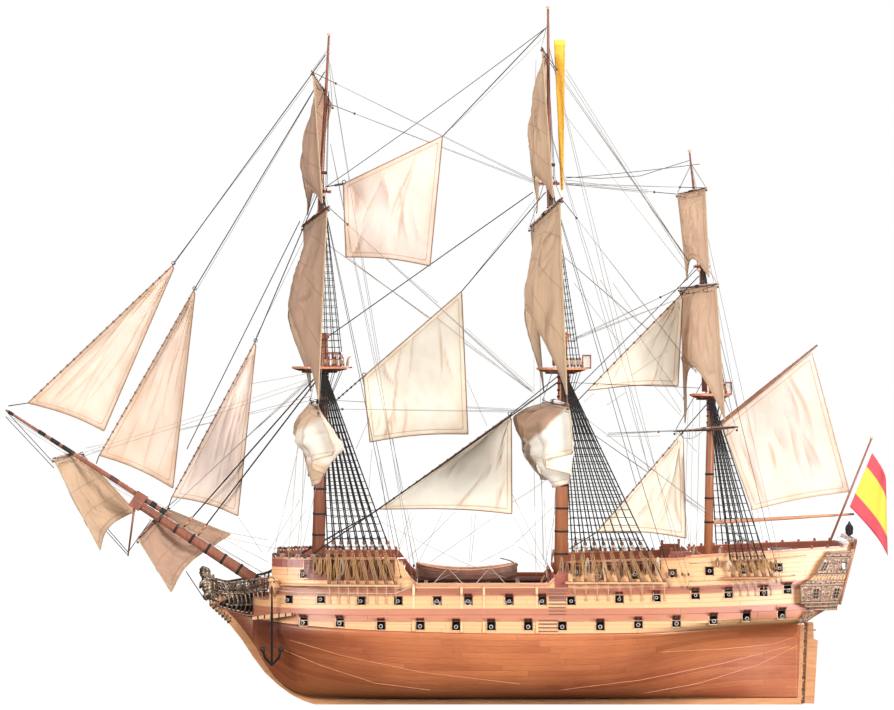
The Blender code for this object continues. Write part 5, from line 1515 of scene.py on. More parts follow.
def build_forecastle_edge(heap):
    """Carved curls along the forecastle's rail."""
    for side in BOTH:
        for k in range(9):
            x = mix(-266, -206, k / 8)
            z = rail_z(x) + 1.6
            spot = Vector((x, side * (side_at(x, rail_z(x)) + 0.6), z))
            turn, look = (1, "carved") if k % 2 else (-1, "dark")
            scroll(heap, spot, AFTWARD * turn, UP, STARBOARD * side, 2.6, look, 1.5, 0.8)
            ball(heap, spot + Vector((3.6, 0, 1.4)), 1.3, "dark", 1.2, 7)


def build_entry_panels(heap):
    """A panel between two posts on each rail, abreast of the wheel."""
    for side in BOTH:
        for x, tall in ((122.5, 18), (139.5, 19)):
            block(heap, (x, side * 52, 140 + tall / 2), (2.2, 2.2, tall), "inner")
            ball(heap, (x, side * 52, 141 + tall), 1.5, "inner")
        block(heap, (131, side * 52, 149), (15, 1.4, 15), "inner")


def build_deck_fittings():
    heap = Heap()
    for build in (
        build_gratings, build_ladders, build_break_rails, build_capstans, build_belfry, build_wheel,
        build_bitts, build_rail_posts, build_forecastle_edge, build_entry_panels,
    ):
        build(heap)
    emit(heap, "deck_fittings")


# Spars
def mast_x(mast, z):
    return mix(mast[0], mast[2], (z - mast[1]) / (mast[3] - mast[1]))


def mast_point(mast, z):
    return Vector((mast_x(mast, z), 0, z))


def mast_radius(word, z):
    """A lower mast's radius at a height between its hounds and its top."""
    return MAST_RADIUS[word] * mix(0.84, 0.56, (z - TOPS[word][0] + 24) / 24)


def top_centre(word):
    z, long_half, _ = TOPS[word]
    return mast_x(LOWER_MASTS[word], z) - long_half * 0.12


def yard_point(name, share):
    x, z, half, _, aft, up = YARDS[name]
    return Vector((x - share * aft, share * half, z - share * up))


def band_rings(heap, start, end, radius, count):
    """Iron bands at even places along a spar."""
    a, b = Vector(start), Vector(end)
    for k in range(count):
        sleeve(heap, a.lerp(b, (k + 0.5) / count), (b - a).normalized(), 0.8, radius, "iron", 16)


def top_outline(word, grow):
    """A top's outline: square at its after end and round at the fore end."""
    _, long_half, wide_half = TOPS[word]
    reach, wide = long_half + grow, wide_half + grow
    outline = [(reach, -wide), (reach, wide)]
    for i in range(17):
        a = math.pi * (0.5 + i / 16)
        outline.append((reach * math.cos(a), wide * math.sin(a)))
    return outline


def wrap_mast(heap, word):
    """The wooldings of the fore mast under its top, or the bound cheeks of the other two."""
    mast, radius, top_z = LOWER_MASTS[word], MAST_RADIUS[word], TOPS[word][0]
    if word == "fore":
        for k in range(13):
            middle = mast_point(mast, top_z - 7 - 3.0 * k)
            ends = [mast_point(mast, middle.z - 1.3), mast_point(mast, middle.z + 1.3)]
            tube(heap, ends, radius * DICE.uniform(0.75, 1.02), DICE.choice(("tar", "dark")), 14)
        return
    block(heap, (mast_x(mast, top_z - 17), 0, top_z - 18), (radius * 1.75, radius * 1.1, 26), "lid")
    for k in range(4):
        z = top_z - 9 - 6.5 * k
        block(heap, mast_point(mast, z), (radius * 1.85, radius * 1.25, 1.6), "tar")


def build_top(heap, word, wood):
    """A top: its platform with a raised rim, the planks on it and the beams that carry it."""
    radius, (top_z, long_half, wide_half) = MAST_RADIUS[word], TOPS[word]
    centre = top_centre(word)
    floor = [(centre + x, y) for x, y in top_outline(word, 0.0)]
    levels = [(top_z - 0.3 - drop, s) for drop, s in ((0, 1.0), (1.6, 0.97), (3.2, 0.8), (4.8, 0.5))]
    rings = [[(centre + (x - centre) * s, y * s, z) for x, y in floor] for z, s in levels]
    lofted(heap, rings, "dark" if word == "fore" else "lid")
    outer, inner = [[(centre + x, y) for x, y in top_outline(word, grow)] for grow in (0.6, -1.0)]
    for a, b in ring_pairs(len(outer), 2):
        quad = [outer[a], outer[b], inner[b], inner[a]]
        lofted(heap, [[(x, y, z) for x, y in quad] for z in (top_z - 1.5, top_z + 0.5)], "rim")
    for k in range(9):
        y = mix(-wide_half * 0.8, wide_half * 0.8, k / 8)
        reach = math.sqrt(1 - (y / wide_half) ** 2) * long_half
        fore, aft = centre - reach * 0.95, centre + long_half
        block(heap, ((fore + aft) / 2, y, top_z + 0.1), (aft - fore, 1.1, 0.6), wood)
    for side in BOTH:
        beam = (centre - long_half * 0.02, side * radius * 0.8, top_z - 3.9)
        block(heap, beam, (long_half * 1.25, 1.9, 4.0), "dark")
    for x in (-0.45, 0.05, 0.5):
        block(heap, (centre + long_half * x, 0, top_z - 2.6), (1.8, wide_half * 1.7, 1.6), "dark")


def build_lower_mast(word):
    heap = Heap()
    mast, radius, top_z = LOWER_MASTS[word], MAST_RADIUS[word], TOPS[word][0]
    wood = "mast" if word == "fore" else "warm_mast"
    levels = [mast[1] + DECK_GAP, mix(mast[1], top_z, 0.5), top_z - 24, top_z, mast[3] + 3]
    radii = [radius * share for share in (1, 0.97, 0.84, 0.56, 0.52)]
    tube(heap, [mast_point(mast, z) for z in levels], radii, wood, 20)
    for z in MAST_BANDS[word]:
        tube(heap, [mast_point(mast, z - 1.0), mast_point(mast, z + 1.0)], radius * 1.04, "iron", 18)
    wrap_mast(heap, word)
    build_top(heap, word, wood)
    cap_x, cap_long = mast[2] - 6.25 + radius * 0.4, 12.5 + radius * 0.8
    block(heap, (cap_x, 0, mast[3] - 0.75), (cap_long, radius * 1.7, 3.5), wood)
    if word in LANTERNS:
        top_lantern(heap, word)
    else:
        top_fence(heap, word)
    emit(heap, word + "_lower_mast", replaces=[word + "_mast"])


# Heights of the iron bands on each lower mast, between the deck and the top
MAST_BANDS = {
    "fore": (146.5, 169.5, 190.5, 215.5, 240.0, 264.0), "main": (150.5, 173.0, 196.0, 219.0, 242.0, 265.0),
    "mizzen": (182.0, 206.0, 230.0),
}


def top_fence(heap, word):
    """The fence around the after part of the fore top, with its rails and balusters."""
    z, long_half, wide_half = TOPS[word]
    fore, aft = top_centre(word) - 1, top_centre(word) + 21
    y = wide_half * FENCE_WIDTH
    for height, thick in ((FENCE_HEIGHT - 0.7, 1.4), (FENCE_HEIGHT * 0.5, 0.9), (1.2, 1.0)):
        block(heap, (aft, 0, z + height), (FENCE_THICK, 2 * y, thick), "lid")
        for side in BOTH:
            block(heap, ((fore + aft) / 2, side * y, z + height), (aft - fore, FENCE_THICK, thick), "lid")
    for side in BOTH:
        for k in range(6):
            x = mix(fore + 0.7, aft, k / 5)
            thick = 1.4 if k in (0, 5) else 0.8
            block(heap, (x, side * y, z + FENCE_HEIGHT / 2), (thick, thick, FENCE_HEIGHT), "lid")
    for k in range(1, 9):
        block(heap, (aft, mix(-y, y, k / 9), z + FENCE_HEIGHT / 2), (0.8, 0.8, FENCE_HEIGHT - 1), "lid")
    tail = top_centre(word) + long_half
    block(heap, (tail + 1.5, 0, z - 0.4), (6, 7, 1.4), "lid")
    hook = [(tail - 1, 0, z + 1), (tail - 0.5, 0, z + 6), (tail + 0.2, 0, z + 9), (tail + 2.6, 0, z + 10.6)]
    tube(heap, hook, [1.3, 1.2, 0.9, 0.5], "hemp", 8)


def top_lantern(heap, word):
    """A stern light on the after edge of a top: pale panes in a dark red frame."""
    (x0, y0), (x1, y1), height = LANTERNS[word]
    z = TOPS[word][0] - 0.6
    middle = ((x0 + x1) / 2, 0)
    block(heap, (*middle, z + height / 2), (x1 - x0 - 1.2, y1 - y0 - 1.2, height - 1), "glass")
    for level in (0.6, height + 0.2):
        block(heap, (*middle, z + level), (x1 - x0, y1 - y0, 1.4), "lid")
    for x in (x0 + 0.5, x1 - 0.5):
        for y in (y0 + 0.5, y1 - 0.5):
            block(heap, (x, y, z + height / 2), (0.9, 0.9, height), "lid")


def deadeye_pair(heap, foot, head, radius, look="dark"):
    """A deadeye at foot, and one at head with the lanyards between them."""
    for spot in (foot, head):
        for dy in (-0.6, 0.6):
            sleeve(heap, spot + STARBOARD * dy, STARBOARD, 0.35, radius, look, 10)
        sleeve(heap, spot, STARBOARD, 0.5, radius * 0.8, "iron", 10)
    for dx in (-0.75, 0.0, 0.75):
        shift = Vector((dx * radius, -0.3, 0))
        tube(heap, [foot + shift, head + shift], 0.42, "gold_rope", 5)


def build_topmast(word):
    heap = Heap()
    mast, truck, radii = TOPMASTS[word], TRUCKS[word], TOPMAST_RADII[word]
    cross, long_half, wide_half = CROSSTREES[word]
    line = [
        (mast[0], 0, mast[1] + 0.35), mast_point(mast, cross - 4), (mast[2], 0, mast[3]),
        (truck[0], 0, truck[1] - 3),
    ]
    tube(heap, line, radii, "mast", 16)
    band_rings(heap, mast_point(mast, mast[1] + 34), mast_point(mast, cross - 8), radii[0] * 1.02, 4)
    x = mast_x(mast, cross)
    for dx in (-long_half * 0.6, 0, long_half * 0.6):
        block(heap, (x + dx, 0, cross - 0.6), (2.0, wide_half * 2, 2.0), "lid")
    for side in BOTH:
        block(heap, (x, side * 1.9, cross - 1.8), (long_half * 2, 1.6, 2.6), "lid")
        for k in BOTH:
            ball(heap, (x + k * 2.5, side * 4.5, cross - 5), 1.2, "pale", 1.2, 8)
    block(heap, (mast[2] + 1.5, 0, mast[3] + 1), (9, radii[2] * 2.2, 3), "dark")
    ball(heap, (truck[0], 0, truck[1] - 1.3), 1.9, "pale", 0.7, 12)
    rig_topmast(heap, word)
    emit(heap, word + "_upper_mast", replaces=[word + "_topmast"])


def build_masts():
    for word in LOWER_MASTS:
        build_lower_mast(word)
        build_topmast(word)


def build_yards():
    for name, (_, _, half, radius, _, _) in YARDS.items():
        heap = Heap()
        shares = (-1, -0.8, -0.5, -0.2, 0.2, 0.5, 0.8, 1)
        radii = [radius * s for s in (0.45, 0.7, 0.88, 1.0, 1.0, 0.88, 0.7, 0.45)]
        tube(heap, [yard_point(name, s) for s in shares], radii, "yard", 14)
        count = int(half * 1.7 / 7)
        for k in range(count + 1):
            share = mix(-0.87, 0.87, k / count)
            thick = radius * (1.1 - 0.42 * abs(share))
            ends = [yard_point(name, share - 0.7 / half), yard_point(name, share + 0.7 / half)]
            tube(heap, ends, [thick, thick], "tar", 10)
        wrap = [yard_point(name, -6 / half), yard_point(name, 6 / half)]
        tube(heap, wrap, radius * 1.12, "tar", 12)
        for sign in BOTH:
            tip = yard_point(name, sign * 0.97)
            ball(heap, tip - UP * (radius + 1.2), 1.3, "dark")
        emit(heap, name.replace("_yard", "_spar"), replaces=[name])


# The bowsprit's and the jibboom's ends, and the jibboom's lashings as (share of its length, half length)
BOWSPRIT = (Vector((-275.9, 0, 116.3)), Vector((-407.0, 0, 201.0)))
JIBBOOM = (Vector((-374.0, 0, 188.6)), Vector((-538.0, 0, 294.0)))
JIBBOOM_LASHINGS = (
    (0.04, 3.0), (0.1, 3.0), (0.34, 5.0), (0.62, 7.0), (0.7, 5.0), (0.78, 4.0), (0.97, 3.0),
)


def build_bowsprit():
    for name in ("bowsprit", "jibboom"):
        dress(name, "mast")
    heap = Heap()
    heel, head = BOWSPRIT
    for k in range(7):
        sleeve(
            heap, heel.lerp(head, 0.1 + 0.12 * k), (head - heel).normalized(), 1.3, 6.25 - 0.2 * k, "tar", 16,
        )
    heel, head = JIBBOOM
    for share, half in JIBBOOM_LASHINGS:
        sleeve(
            heap, heel.lerp(head, share), (head - heel).normalized(), half, mix(3.1, 1.6, share), "tar", 14,
        )
    emit(heap, "bowsprit_lashings")


# Standing rigging
def shroud_line(word, side, k):
    """A lower shroud, as its foot on the channel, its upper deadeye and its head at the mast."""
    first, last, count, eye_z = SHROUDS[word]
    share = k / (count - 1)
    z = CHANNELS[word][2]
    head_z = TOPS[word][0] - COLLAR_DROP
    x = mix(first, last, share)
    foot = Vector((x, side * (side_at(x, z) + CHANNEL_WIDTH - SHROUD_INSET), z))
    head_y = mast_radius(word, head_z - 2) + SEAT + COLLAR_HALF
    head_x = mast_x(LOWER_MASTS[word], head_z) + mix(-0.8, 0.8, share) * COLLAR_REACH
    head = Vector((head_x, side * head_y, head_z))
    return foot, foot.lerp(head, (eye_z - z) / (head_z - z)), head


def topmast_shroud(word, side, k):
    """A topmast shroud, as its foot just over the top's edge and its head at the crosstrees."""
    top_z, long_half, wide_half = TOPS[word]
    cross_z = CROSSTREES[word][0]
    share = k / (TOPMAST_SHROUDS - 1)
    foot = (top_centre(word) + mix(-0.02, 0.78, share) * long_half, side * (wide_half - 2), top_z + 0.75)
    head = (mast_x(TOPMASTS[word], cross_z) + mix(-1.5, 2.5, share), side * 2.0, cross_z - 1.2)
    return Vector(foot), Vector(head)


def ratlines(heap, feet, heads, spacing, start, radius):
    """Ratlines across shrouds that run from feet to heads, at even heights and a little slack."""
    z = max(p.z for p in feet) + start
    high = min(p.z for p in heads) - 4
    while z < high:
        row = [foot.lerp(head, (z - foot.z) / (head.z - foot.z)) for foot, head in zip(feet, heads)]
        line = [row[0] + (row[0] - row[1]).normalized() * 0.8]
        for p, q in zip(row, row[1:]):
            slack = min(0.07 * (q - p).length, 0.6) + DICE.uniform(-0.1, 0.15)
            line += [p, p.lerp(q, 0.5) - UP * slack]
        line += [row[-1], row[-1] + (row[-1] - row[-2]).normalized() * 0.8]
        tube(heap, line, radius, "tar", 4)
        z += spacing + DICE.uniform(-0.25, 0.25)


def hank(heap, top, length, width, look, turns):
    """A coil of rope hung up: long loops side by side, drawn together under the pin."""
    top = Vector(top)
    for _ in range(turns):
        reach = length * DICE.uniform(0.85, 1.0)
        spread = width * DICE.uniform(0.5, 1.0)
        shift = Vector((DICE.uniform(-0.5, 0.5), DICE.uniform(-0.7, 0.7), 0))
        line = []
        for k in range(13):
            a = 2 * math.pi * k / 12
            taper = 0.25 + 0.75 * (0.5 - 0.5 * math.cos(a)) ** 0.6
            drop = reach * (0.5 - 0.5 * math.cos(a))
            line.append(top + shift + Vector((spread * math.sin(a) * taper, 0, -drop)))
        tube(heap, line, 0.55, look, 5, False)
    for k in range(3):
        sleeve(heap, top - UP * (length * 0.18 + 0.7 * k), AFTWARD, width * 0.35, 0.8, look, 5)


# The channels' timber, as (light, dark)
CHANNEL_WOODS = {
    "fore": ((0.80, 0.45, 0.25), (0.55, 0.26, 0.14)), "mizzen": ((0.62, 0.27, 0.12), (0.42, 0.16, 0.07)),
}


def channel_look(word):
    """The channel's board in timber, and the shrouds and deadeyes that stand on it in tarred rope."""
    top = CHANNELS[word][2] + CHANNEL_HALF_THICK
    light, dark = CHANNEL_WOODS.get(word, CHANNEL_WOODS["fore"])
    made, tree = new_look(word + "_channel_timber", 0.6)
    _, _, z = world_place(tree)
    grain = stretched_noise(tree, ALONG_HULL, 420.0, 6.0)
    board = blend(grain.ramp(0.3, 0.7), light, dark)
    rope = z.ramp((top + 0.05) * MM, (top + 0.1) * MM)
    paint(tree, blend(rope, board, (0.02, 0.017, 0.015)), grain, 0.3, 0.2)
    return made


def build_channels():
    """The deadeyes, lanyards, chains and ropes of the lower shrouds, fitted over the channels' bars."""
    ropes, eyes, coils = Heap(), Heap(), Heap()
    for word, (_, _, z) in CHANNELS.items():
        LOOKS[word + "_channel"] = channel_look(word)
        for side, side_word in SIDES:
            dress(f"{word}_channel_{side_word}", word + "_channel")
            feet, heads = [], []
            for k in range(SHROUDS[word][2]):
                foot, eye, head = shroud_line(word, side, k)
                low = foot + UP * (CHANNEL_HALF_THICK + DEADEYE_RADIUS - 0.3)
                deadeye_pair(eyes, low, eye, DEADEYE_RADIUS + 0.1, "deadeye")
                tube(ropes, [eye, head], SHROUD_COVER, "tar", 6)
                tube(ropes, [eye + (head - eye).normalized() * d for d in (1.5, 7.0)], 0.95, "tar", 6)
                feet.append(eye)
                heads.append(head)
                out = foot + Vector((0, side * 1.6, -CHANNEL_HALF_THICK))
                chain = [out]
                for drop in (11, 17):
                    x = foot.x + 0.035 * drop
                    chain.append(Vector((x, side * (side_at(x, z - drop) + 1.4), z - drop)))
                tube(eyes, chain, 0.42, "hemp", 5)
                ball(eyes, chain[-1], 0.8, "hemp", 1.0, 6)
            ratlines(ropes, feet, heads, 7.3, 5, RATLINE)
            last = heads[-1]
            collar = [Vector((last.x - 6.2, last.y, last.z)), Vector((last.x + 0.6, last.y, last.z))]
            tube(ropes, collar, 1.9, "tar", 8)
            hang_coils(coils, word, side, feet)
    emit(ropes, "lower_shrouds")
    emit(eyes, "deadeyes")
    emit(coils, "rope_coils")


def hang_coils(coils, word, side, feet):
    """Coiled falls hung along the rail, abreast of the shrouds."""
    count = {"fore": 18, "main": 16, "mizzen": 6}[word]
    long = 11 if word == "mizzen" else 21
    for k in range(count):
        x = mix(feet[0].x - 12, feet[-1].x + 8, k / (count - 1)) + DICE.uniform(-1.5, 1.5)
        top = (x, side * (side_at(x, 146) + DICE.uniform(3.0, 7.5)), DICE.uniform(146, 152))
        look = DICE.choice(("pale_rope", "gold_rope", "gold_rope", "brown_rope", "brown_rope"))
        hank(coils, top, long * DICE.uniform(0.8, 1.2), DICE.uniform(2.0, 3.2), look, 4)


def rig_topmast(ropes, word):
    """A topmast's shrouds with their deadeyes and ratlines, the futtock shrouds and those above them."""
    top_z = TOPS[word][0]
    cross_z = CROSSTREES[word][0]
    truck = TRUCKS[word]
    for side in BOTH:
        feet, heads = [], []
        for k in range(TOPMAST_SHROUDS):
            foot, head = topmast_shroud(word, side, k)
            eye = foot.lerp(head, 8.5 / (head.z - foot.z))
            deadeye_pair(ropes, foot + UP * 1.4, eye, 1.3)
            tube(ropes, [eye, head], 0.45, "tar", 5)
            feet.append(eye)
            heads.append(head)
            low = mast_point(LOWER_MASTS[word], top_z - 34) + Vector((mix(-2, 6, k / 3), side * 9.5, 0))
            tube(ropes, [foot - UP * 2.2, low], 0.38, "tar", 5)
        ratlines(ropes, feet, heads, 6.8, 4, 0.27)
        for k in range(2):
            foot = mast_point(TOPMASTS[word], cross_z) + Vector(
                (mix(-3, 5, k), side * (CROSSTREES[word][2] - 1), 0)
            )
            tube(ropes, [foot, (truck[0], side * 1.2, truck[1] - 58)], 0.28, "tar", 5)


# Backstays of each side, as (height on the mast, how far its foot is behind the last shroud's, radius)
BACKSTAYS = {
    "fore": ((508, 5, 0.3), (640, 16, 0.22), (560, 21, 0.22)),
    "main": ((516, 6, 0.3), (655, 18, 0.22), (575, 24, 0.22)),
    "mizzen": ((434, 6, 0.28), (540, 11, 0.22)),
}


def build_backstays():
    ropes = Heap()
    for word, lines in BACKSTAYS.items():
        z = CHANNELS[word][2]
        for side in BOTH:
            last = shroud_line(word, side, SHROUDS[word][2] - 1)[0]
            for height, behind, radius in lines:
                head_x = mast_x(TOPMASTS[word], height) if height < TOPMASTS[word][3] else TRUCKS[word][0]
                x = last.x + behind
                foot = Vector((x, side * (side_at(x, z + 6) + 4), z + 8))
                head = Vector((head_x + 1.5, side * 1.6, height))
                tube(ropes, [foot, head], radius, "grey_rope" if radius < 0.25 else "tar", 5)
                tube(ropes, [foot, Vector((x, side * (side_at(x, z - 6) + 1.2), z - 6))], 0.4, "hemp", 5)
                ball(ropes, foot, 1.3, "dark", 1.2, 8)
    emit(ropes, "backstays")


def nearest_on(route, point):
    """The point of a broken line nearest to a point."""
    best = None
    for a, b in zip(route, route[1:]):
        share = min(max((point - a).dot(b - a) / (b - a).length_squared, 0.0), 1.0)
        spot = a.lerp(b, share)
        if best is None or (spot - point).length < (best - point).length:
            best = spot
    return best


def build_stays():
    fore = Heap()
    for start, end in FORE_STAYS:
        head, foot = Vector(start), Vector(end)
        ahead = (head - foot).normalized()
        heart = foot + ahead * 12
        tube(fore, [foot, head], 0.72, "tar", 8)
        tube(fore, [heart + ahead * d for d in (-2.2, -1.2, 0.6, 2.0)], [0.8, 1.9, 1.8, 0.8], "rail", 10)
        tube(fore, [heart - ahead * d for d in (9.5, 6.8, 5.2)], [0.8, 1.8, 0.8], "rail", 10)
        for d in (-0.6, 0.6):
            shift = Vector((0, d, 0))
            tube(fore, [heart + shift, heart - ahead * 7 + shift], 0.35, "hemp", 5)
    tube(fore, [(-226.2, -2.6, 324.6), (-226.2, -2.6, 330.4)], 1.1, "tar", 8)
    emit(fore, "fore_stays", replaces=["fore_stay"])
    heap = Heap()
    tube(heap, sagging((1.9, 0, 676), (-218, 0, 517), 2.0), 0.35, "tar", 6)
    tube(heap, sagging((14, 0, 322), (-262, -8, 130), 2.0), 0.7, "tar", 6)
    tube(heap, sagging((156, 0, 540), (22, 0, 526), 1.0), 0.3, "tar", 6)
    for route in STAY_ROUTES.values():
        line = [(p[0], p[2] if len(p) > 2 else 0.0, p[1]) for p in route]
        tube(heap, line, 0.5, "tar", 6)
    for name, (foot, _, head, _, _) in STAYSAILS.items():
        low, high = centre(*foot), centre(*head)
        count = int((high - low).length / 9)
        route = [centre(*p) for p in STAY_ROUTES[name]]
        for k in range(1, count):
            spot = nearest_on(route, low.lerp(high, k / count))
            tube(heap, upright_ring(spot, 1.1, HANK_TURNS), 0.3, "tar", 4, False)
        tube(heap, upright_ring(high + Vector((0.8, 0, 2)), 1.8, HEAD_TURNS), 0.45, "tar", 5, False)
    emit(heap, "stays")


# Running rigging. Points are pixels of the photograph and the distance to starboard of the centre plane.
def seen(pixel_x, pixel_y, y):
    """The point at a distance y that a pixel of the photograph shows."""
    x, z = on_plane(pixel_x, pixel_y, y)
    return Vector((x, y, z))


# Black stays besides those of the staysails, and the halyards that run beside these
BLACK_LINES = [
    ((533, 192, 0), (322, 341, 0), 0.5), ((698, 268, 0), (570, 395, 0), 0.4),
    ((300, 221, -1.5), (187, 449, -1.5), 0.45), ((262, 575, 0), (378, 510, 0), 0.6),
    ((558, 382, -2), (700, 388, -2), 0.25), ((101, 521, 0), (128, 552, 0), 0.4),
    ((99, 523, 1), (127, 554, 1), 0.4), ((129, 551, 0), (151, 520, -4), 0.4),
    ((8, 413, 0), (53, 462, -30), 0.35), ((6, 417, 0), (54, 468, -20), 0.35),
    ((186, 571, -8), (205, 600, -8), 0.45), ((691, 160, 0), (640, 176, 0), 0.3),
    ((640, 176, 0), (600, 178.5, 0), 0.3), ((600, 178.5, 0), (566, 177, 0), 0.3),
]
# Thin lines: halyards beside the stays, braces, lifts, bowlines, clewlines and buntlines
THIN_LINES = [
    ((331, 52, 2), (174, 262, 2)), ((326, 70, 2), (196, 291, 2)), ((318, 210, 2), (256, 337, 2)),
    ((545, 36, 2), (452, 128, 2)), ((537, 196, 2), (463, 290, 2)), ((545, 392, 2), (511, 412, 2)),
    ((312, 378, -8), (53, 462, -45)), ((313, 382, -8), (58, 464, -30)), ((312, 396, 4), (92, 452, 30)),
    ((313, 400, 4), (86, 448, 34)), ((315, 372, -6), (250, 384, -20)), ((386, 258, -4), (438, 303, -4)),
    ((349, 258, 6), (428, 318, 4)), ((437, 318, 0), (532, 392, 0)), ((464, 331, -4), (533, 393, -2)),
    ((466, 328, 0), (535, 390, 0)), ((467, 380, -6), (487, 426, -6)), ((312, 412, -40), (296, 560, -40)),
    ((298, 440, -60), (287, 575, -60)), ((304, 445, -50), (300, 570, -50)),
    ((318, 478, -60), (300, 560, -60)), ((300, 441, -90), (272, 560, -40)),
    ((341, 446, -90), (352, 545, -60)), ((356, 449, -30), (372, 412, -30)),
    ((372, 449, -20), (365, 540, -50)), ((380, 462, 0), (392, 562, -20)),
    ((411, 512, -20), (392, 566, -50)), ((415, 513, 10), (394, 562, 0)), ((443, 512, -10), (419, 562, -20)),
    ((455, 512, 20), (404, 562, 60)), ((472, 512, -5), (469, 562, -5)), ((476, 512, 5), (471, 562, 5)),
    ((497, 515, 10), (430, 562, 10)), ((380, 521, 0), (462, 562, 20)), ((462, 562, -20), (506, 578, -55)),
    ((436, 581, -68), (470, 565, -30)), ((515, 544, 10), (480, 562, 30)), ((553, 507, 0), (515, 543, 0)),
    ((511, 492, 0), (548, 567, -20)), ((513, 515, 4), (541, 570, -20)), ((518, 547, 0), (534, 556, -10)),
    ((534, 556, -10), (546, 568, -20)), ((549, 478, -90), (513, 502, 0)),
    ((534, 464, -70), (536, 575, -55)), ((541, 470, -60), (544, 560, -40)),
    ((544, 500, -50), (547, 566, -40)), ((556, 482, -40), (551, 560, -30)),
    ((560, 482, -30), (545, 566, -30)), ((534, 330, -60), (534, 406, -90)),
    ((540, 372, 40), (543, 560, 40)), ((534, 200, -60), (534, 232, -60)), ((536, 60, -40), (532, 182, -20)),
    ((566, 75, 0), (688, 266, 0)), ((566, 70, 4), (689, 263, 4)), ((565, 115, 2), (686, 271, 2)),
    ((600, 280, -2), (684, 400, -2)), ((574, 283, -4), (623, 347, -4)), ((651, 382, -4), (681, 416, -4)),
    ((660, 378, 0), (681, 412, 0)), ((613, 283, 2), (637, 318, 2)), ((668, 350, 4), (620, 383, 4)),
    ((566, 180, 2), (648, 190, 2)), ((566, 184, -2), (648, 193, -2)), ((608, 433, 0), (660, 431, 0)),
    ((606, 436, 4), (660, 436, 4)), ((626, 392, -4), (607, 405, -4)), ((594, 393, -6), (584, 402, -6)),
    ((676, 430, -80), (690, 550, -60)), ((688, 410, -40), (684, 556, -30)),
    ((693, 400, -30), (690, 560, -30)), ((700, 400, 20), (696, 560, 20)), ((686, 500, 0), (706, 517, 0)),
    ((703, 520, -4), (688, 553, -30)), ((683, 400, -8), (688, 372, -8)), ((686, 440, -6), (697, 452, -6)),
    ((6, 416, 0), (190, 530, 6)), ((14, 418, 2), (268, 576, 8)), ((60, 455, -20), (262, 572, -20)),
    ((64, 452, 20), (268, 562, 20)), ((239, 518, 0), (262, 552, -10)), ((268, 540, -10), (180, 522, 0)),
    ((292, 552, -20), (148, 519, 0)), ((300, 500, -30), (268, 552, -30)),
    ((306, 510, -20), (275, 558, -30)),
]
# Where each yard's port and starboard brace lead; a short dark pendant ends in a block
BRACE_SHARE = 0.95  # of the yard's half length
BRACES = {
    "fore_topgallant_yard": ((540, 184, -2), (540, 185, 2)),
    "fore_topsail_yard": ((532, 391, -3), (533, 392, 3)),
    "fore_course_yard": ((556, 412, -6), (556, 412, 6)),
    "main_topgallant_yard": ((689, 262, -2), (689, 262, 2)),
    "main_topsail_yard": ((696, 372, -3), (697, 372, 3)),
    "main_course_yard": ((756, 548, -52), (756, 548, 52)),
    "crossjack_yard": ((608, 434, -24), (608, 434, 24)),
    "mizzen_topsail_yard": ((572, 340, -3), (572, 340, 3)),
    "mizzen_topgallant_yard": ((565, 184, -2), (565, 184, 2)),
    "spritsail_yard": ((310, 378, -8), (311, 380, 8)),
}
# Lifts, as (yard, height where they meet the mast above it)
LIFTS = {
    "fore_course_yard": 366, "fore_topsail_yard": 528, "fore_topgallant_yard": 655, "main_course_yard": 367,
    "main_topsail_yard": 536, "main_topgallant_yard": 684, "crossjack_yard": 338, "mizzen_topsail_yard": 446,
    "mizzen_topgallant_yard": 540,
}


def spar_x(word, z):
    """Where a mast and what stands above it are at a height."""
    if z < LOWER_MASTS[word][3]:
        return mast_x(LOWER_MASTS[word], z)
    if z < TOPMASTS[word][3]:
        return mast_x(TOPMASTS[word], z)
    return mix(
        TOPMASTS[word][2], TRUCKS[word][0], (z - TOPMASTS[word][3]) / (TRUCKS[word][1] - TOPMASTS[word][3]),
    )


def build_running_rigging():
    black, thin = Heap(), Heap()
    for start, end, radius in BLACK_LINES:
        tube(black, [seen(*start), seen(*end)], radius, "tar", 6)
    for k, (start, end) in enumerate(THIN_LINES):
        a, b = seen(*start), seen(*end)
        tube(thin, sagging(a, b, 0.004 * (b - a).length, 4), 0.2, "grey_rope" if k % 3 else "hemp", 4)
    for yard, side, lead in [(yard, *pair) for yard, leads in BRACES.items() for pair in zip(BOTH, leads)]:
        tip, goal = yard_point(yard, side * BRACE_SHARE), seen(*lead)
        knot = tip.lerp(goal, min(26 / (goal - tip).length, 0.4))
        tube(black, [tip, knot], 0.36, "tar", 5)
        ball(thin, knot, 1.2, "dark", 1.1, 8)
        for shift in (-0.8, 0.8):
            tube(thin, [knot, goal + Vector((0, shift * 0.4, shift))], 0.2, "grey_rope", 4)
    for yard, height in LIFTS.items():
        word = "mizzen" if yard.startswith(("mizzen", "crossjack")) else yard.split("_")[0]
        x = spar_x(word, height)
        for side in BOTH:
            tip, goal = yard_point(yard, 0.93 * side), Vector((x, side * 2.5, height))
            for shift in (0.0, 1.2):
                ends = [tip + Vector((0, -side * shift * 3, 1.5)), goal - UP * shift]
                tube(thin, ends, 0.2, "grey_rope", 4)
    for yard, (_, _, half, radius, _, _) in YARDS.items():
        for side in () if yard.startswith("sprit") else BOTH:
            rope = sagging(yard_point(yard, 0.06 * side), yard_point(yard, 0.9 * side), 0.07 * half)
            tube(black, [p - UP * radius for p in rope], 0.26, "tar", 4)
            for k in (2, 4, 6):
                stirrup = [rope[k] + UP * (0.07 * half * 0.7), rope[k] - UP * radius]
                tube(black, stirrup, 0.2, "tar", 4)
    emit(black, "yard_ropes")
    emit(thin, "running_rigging")


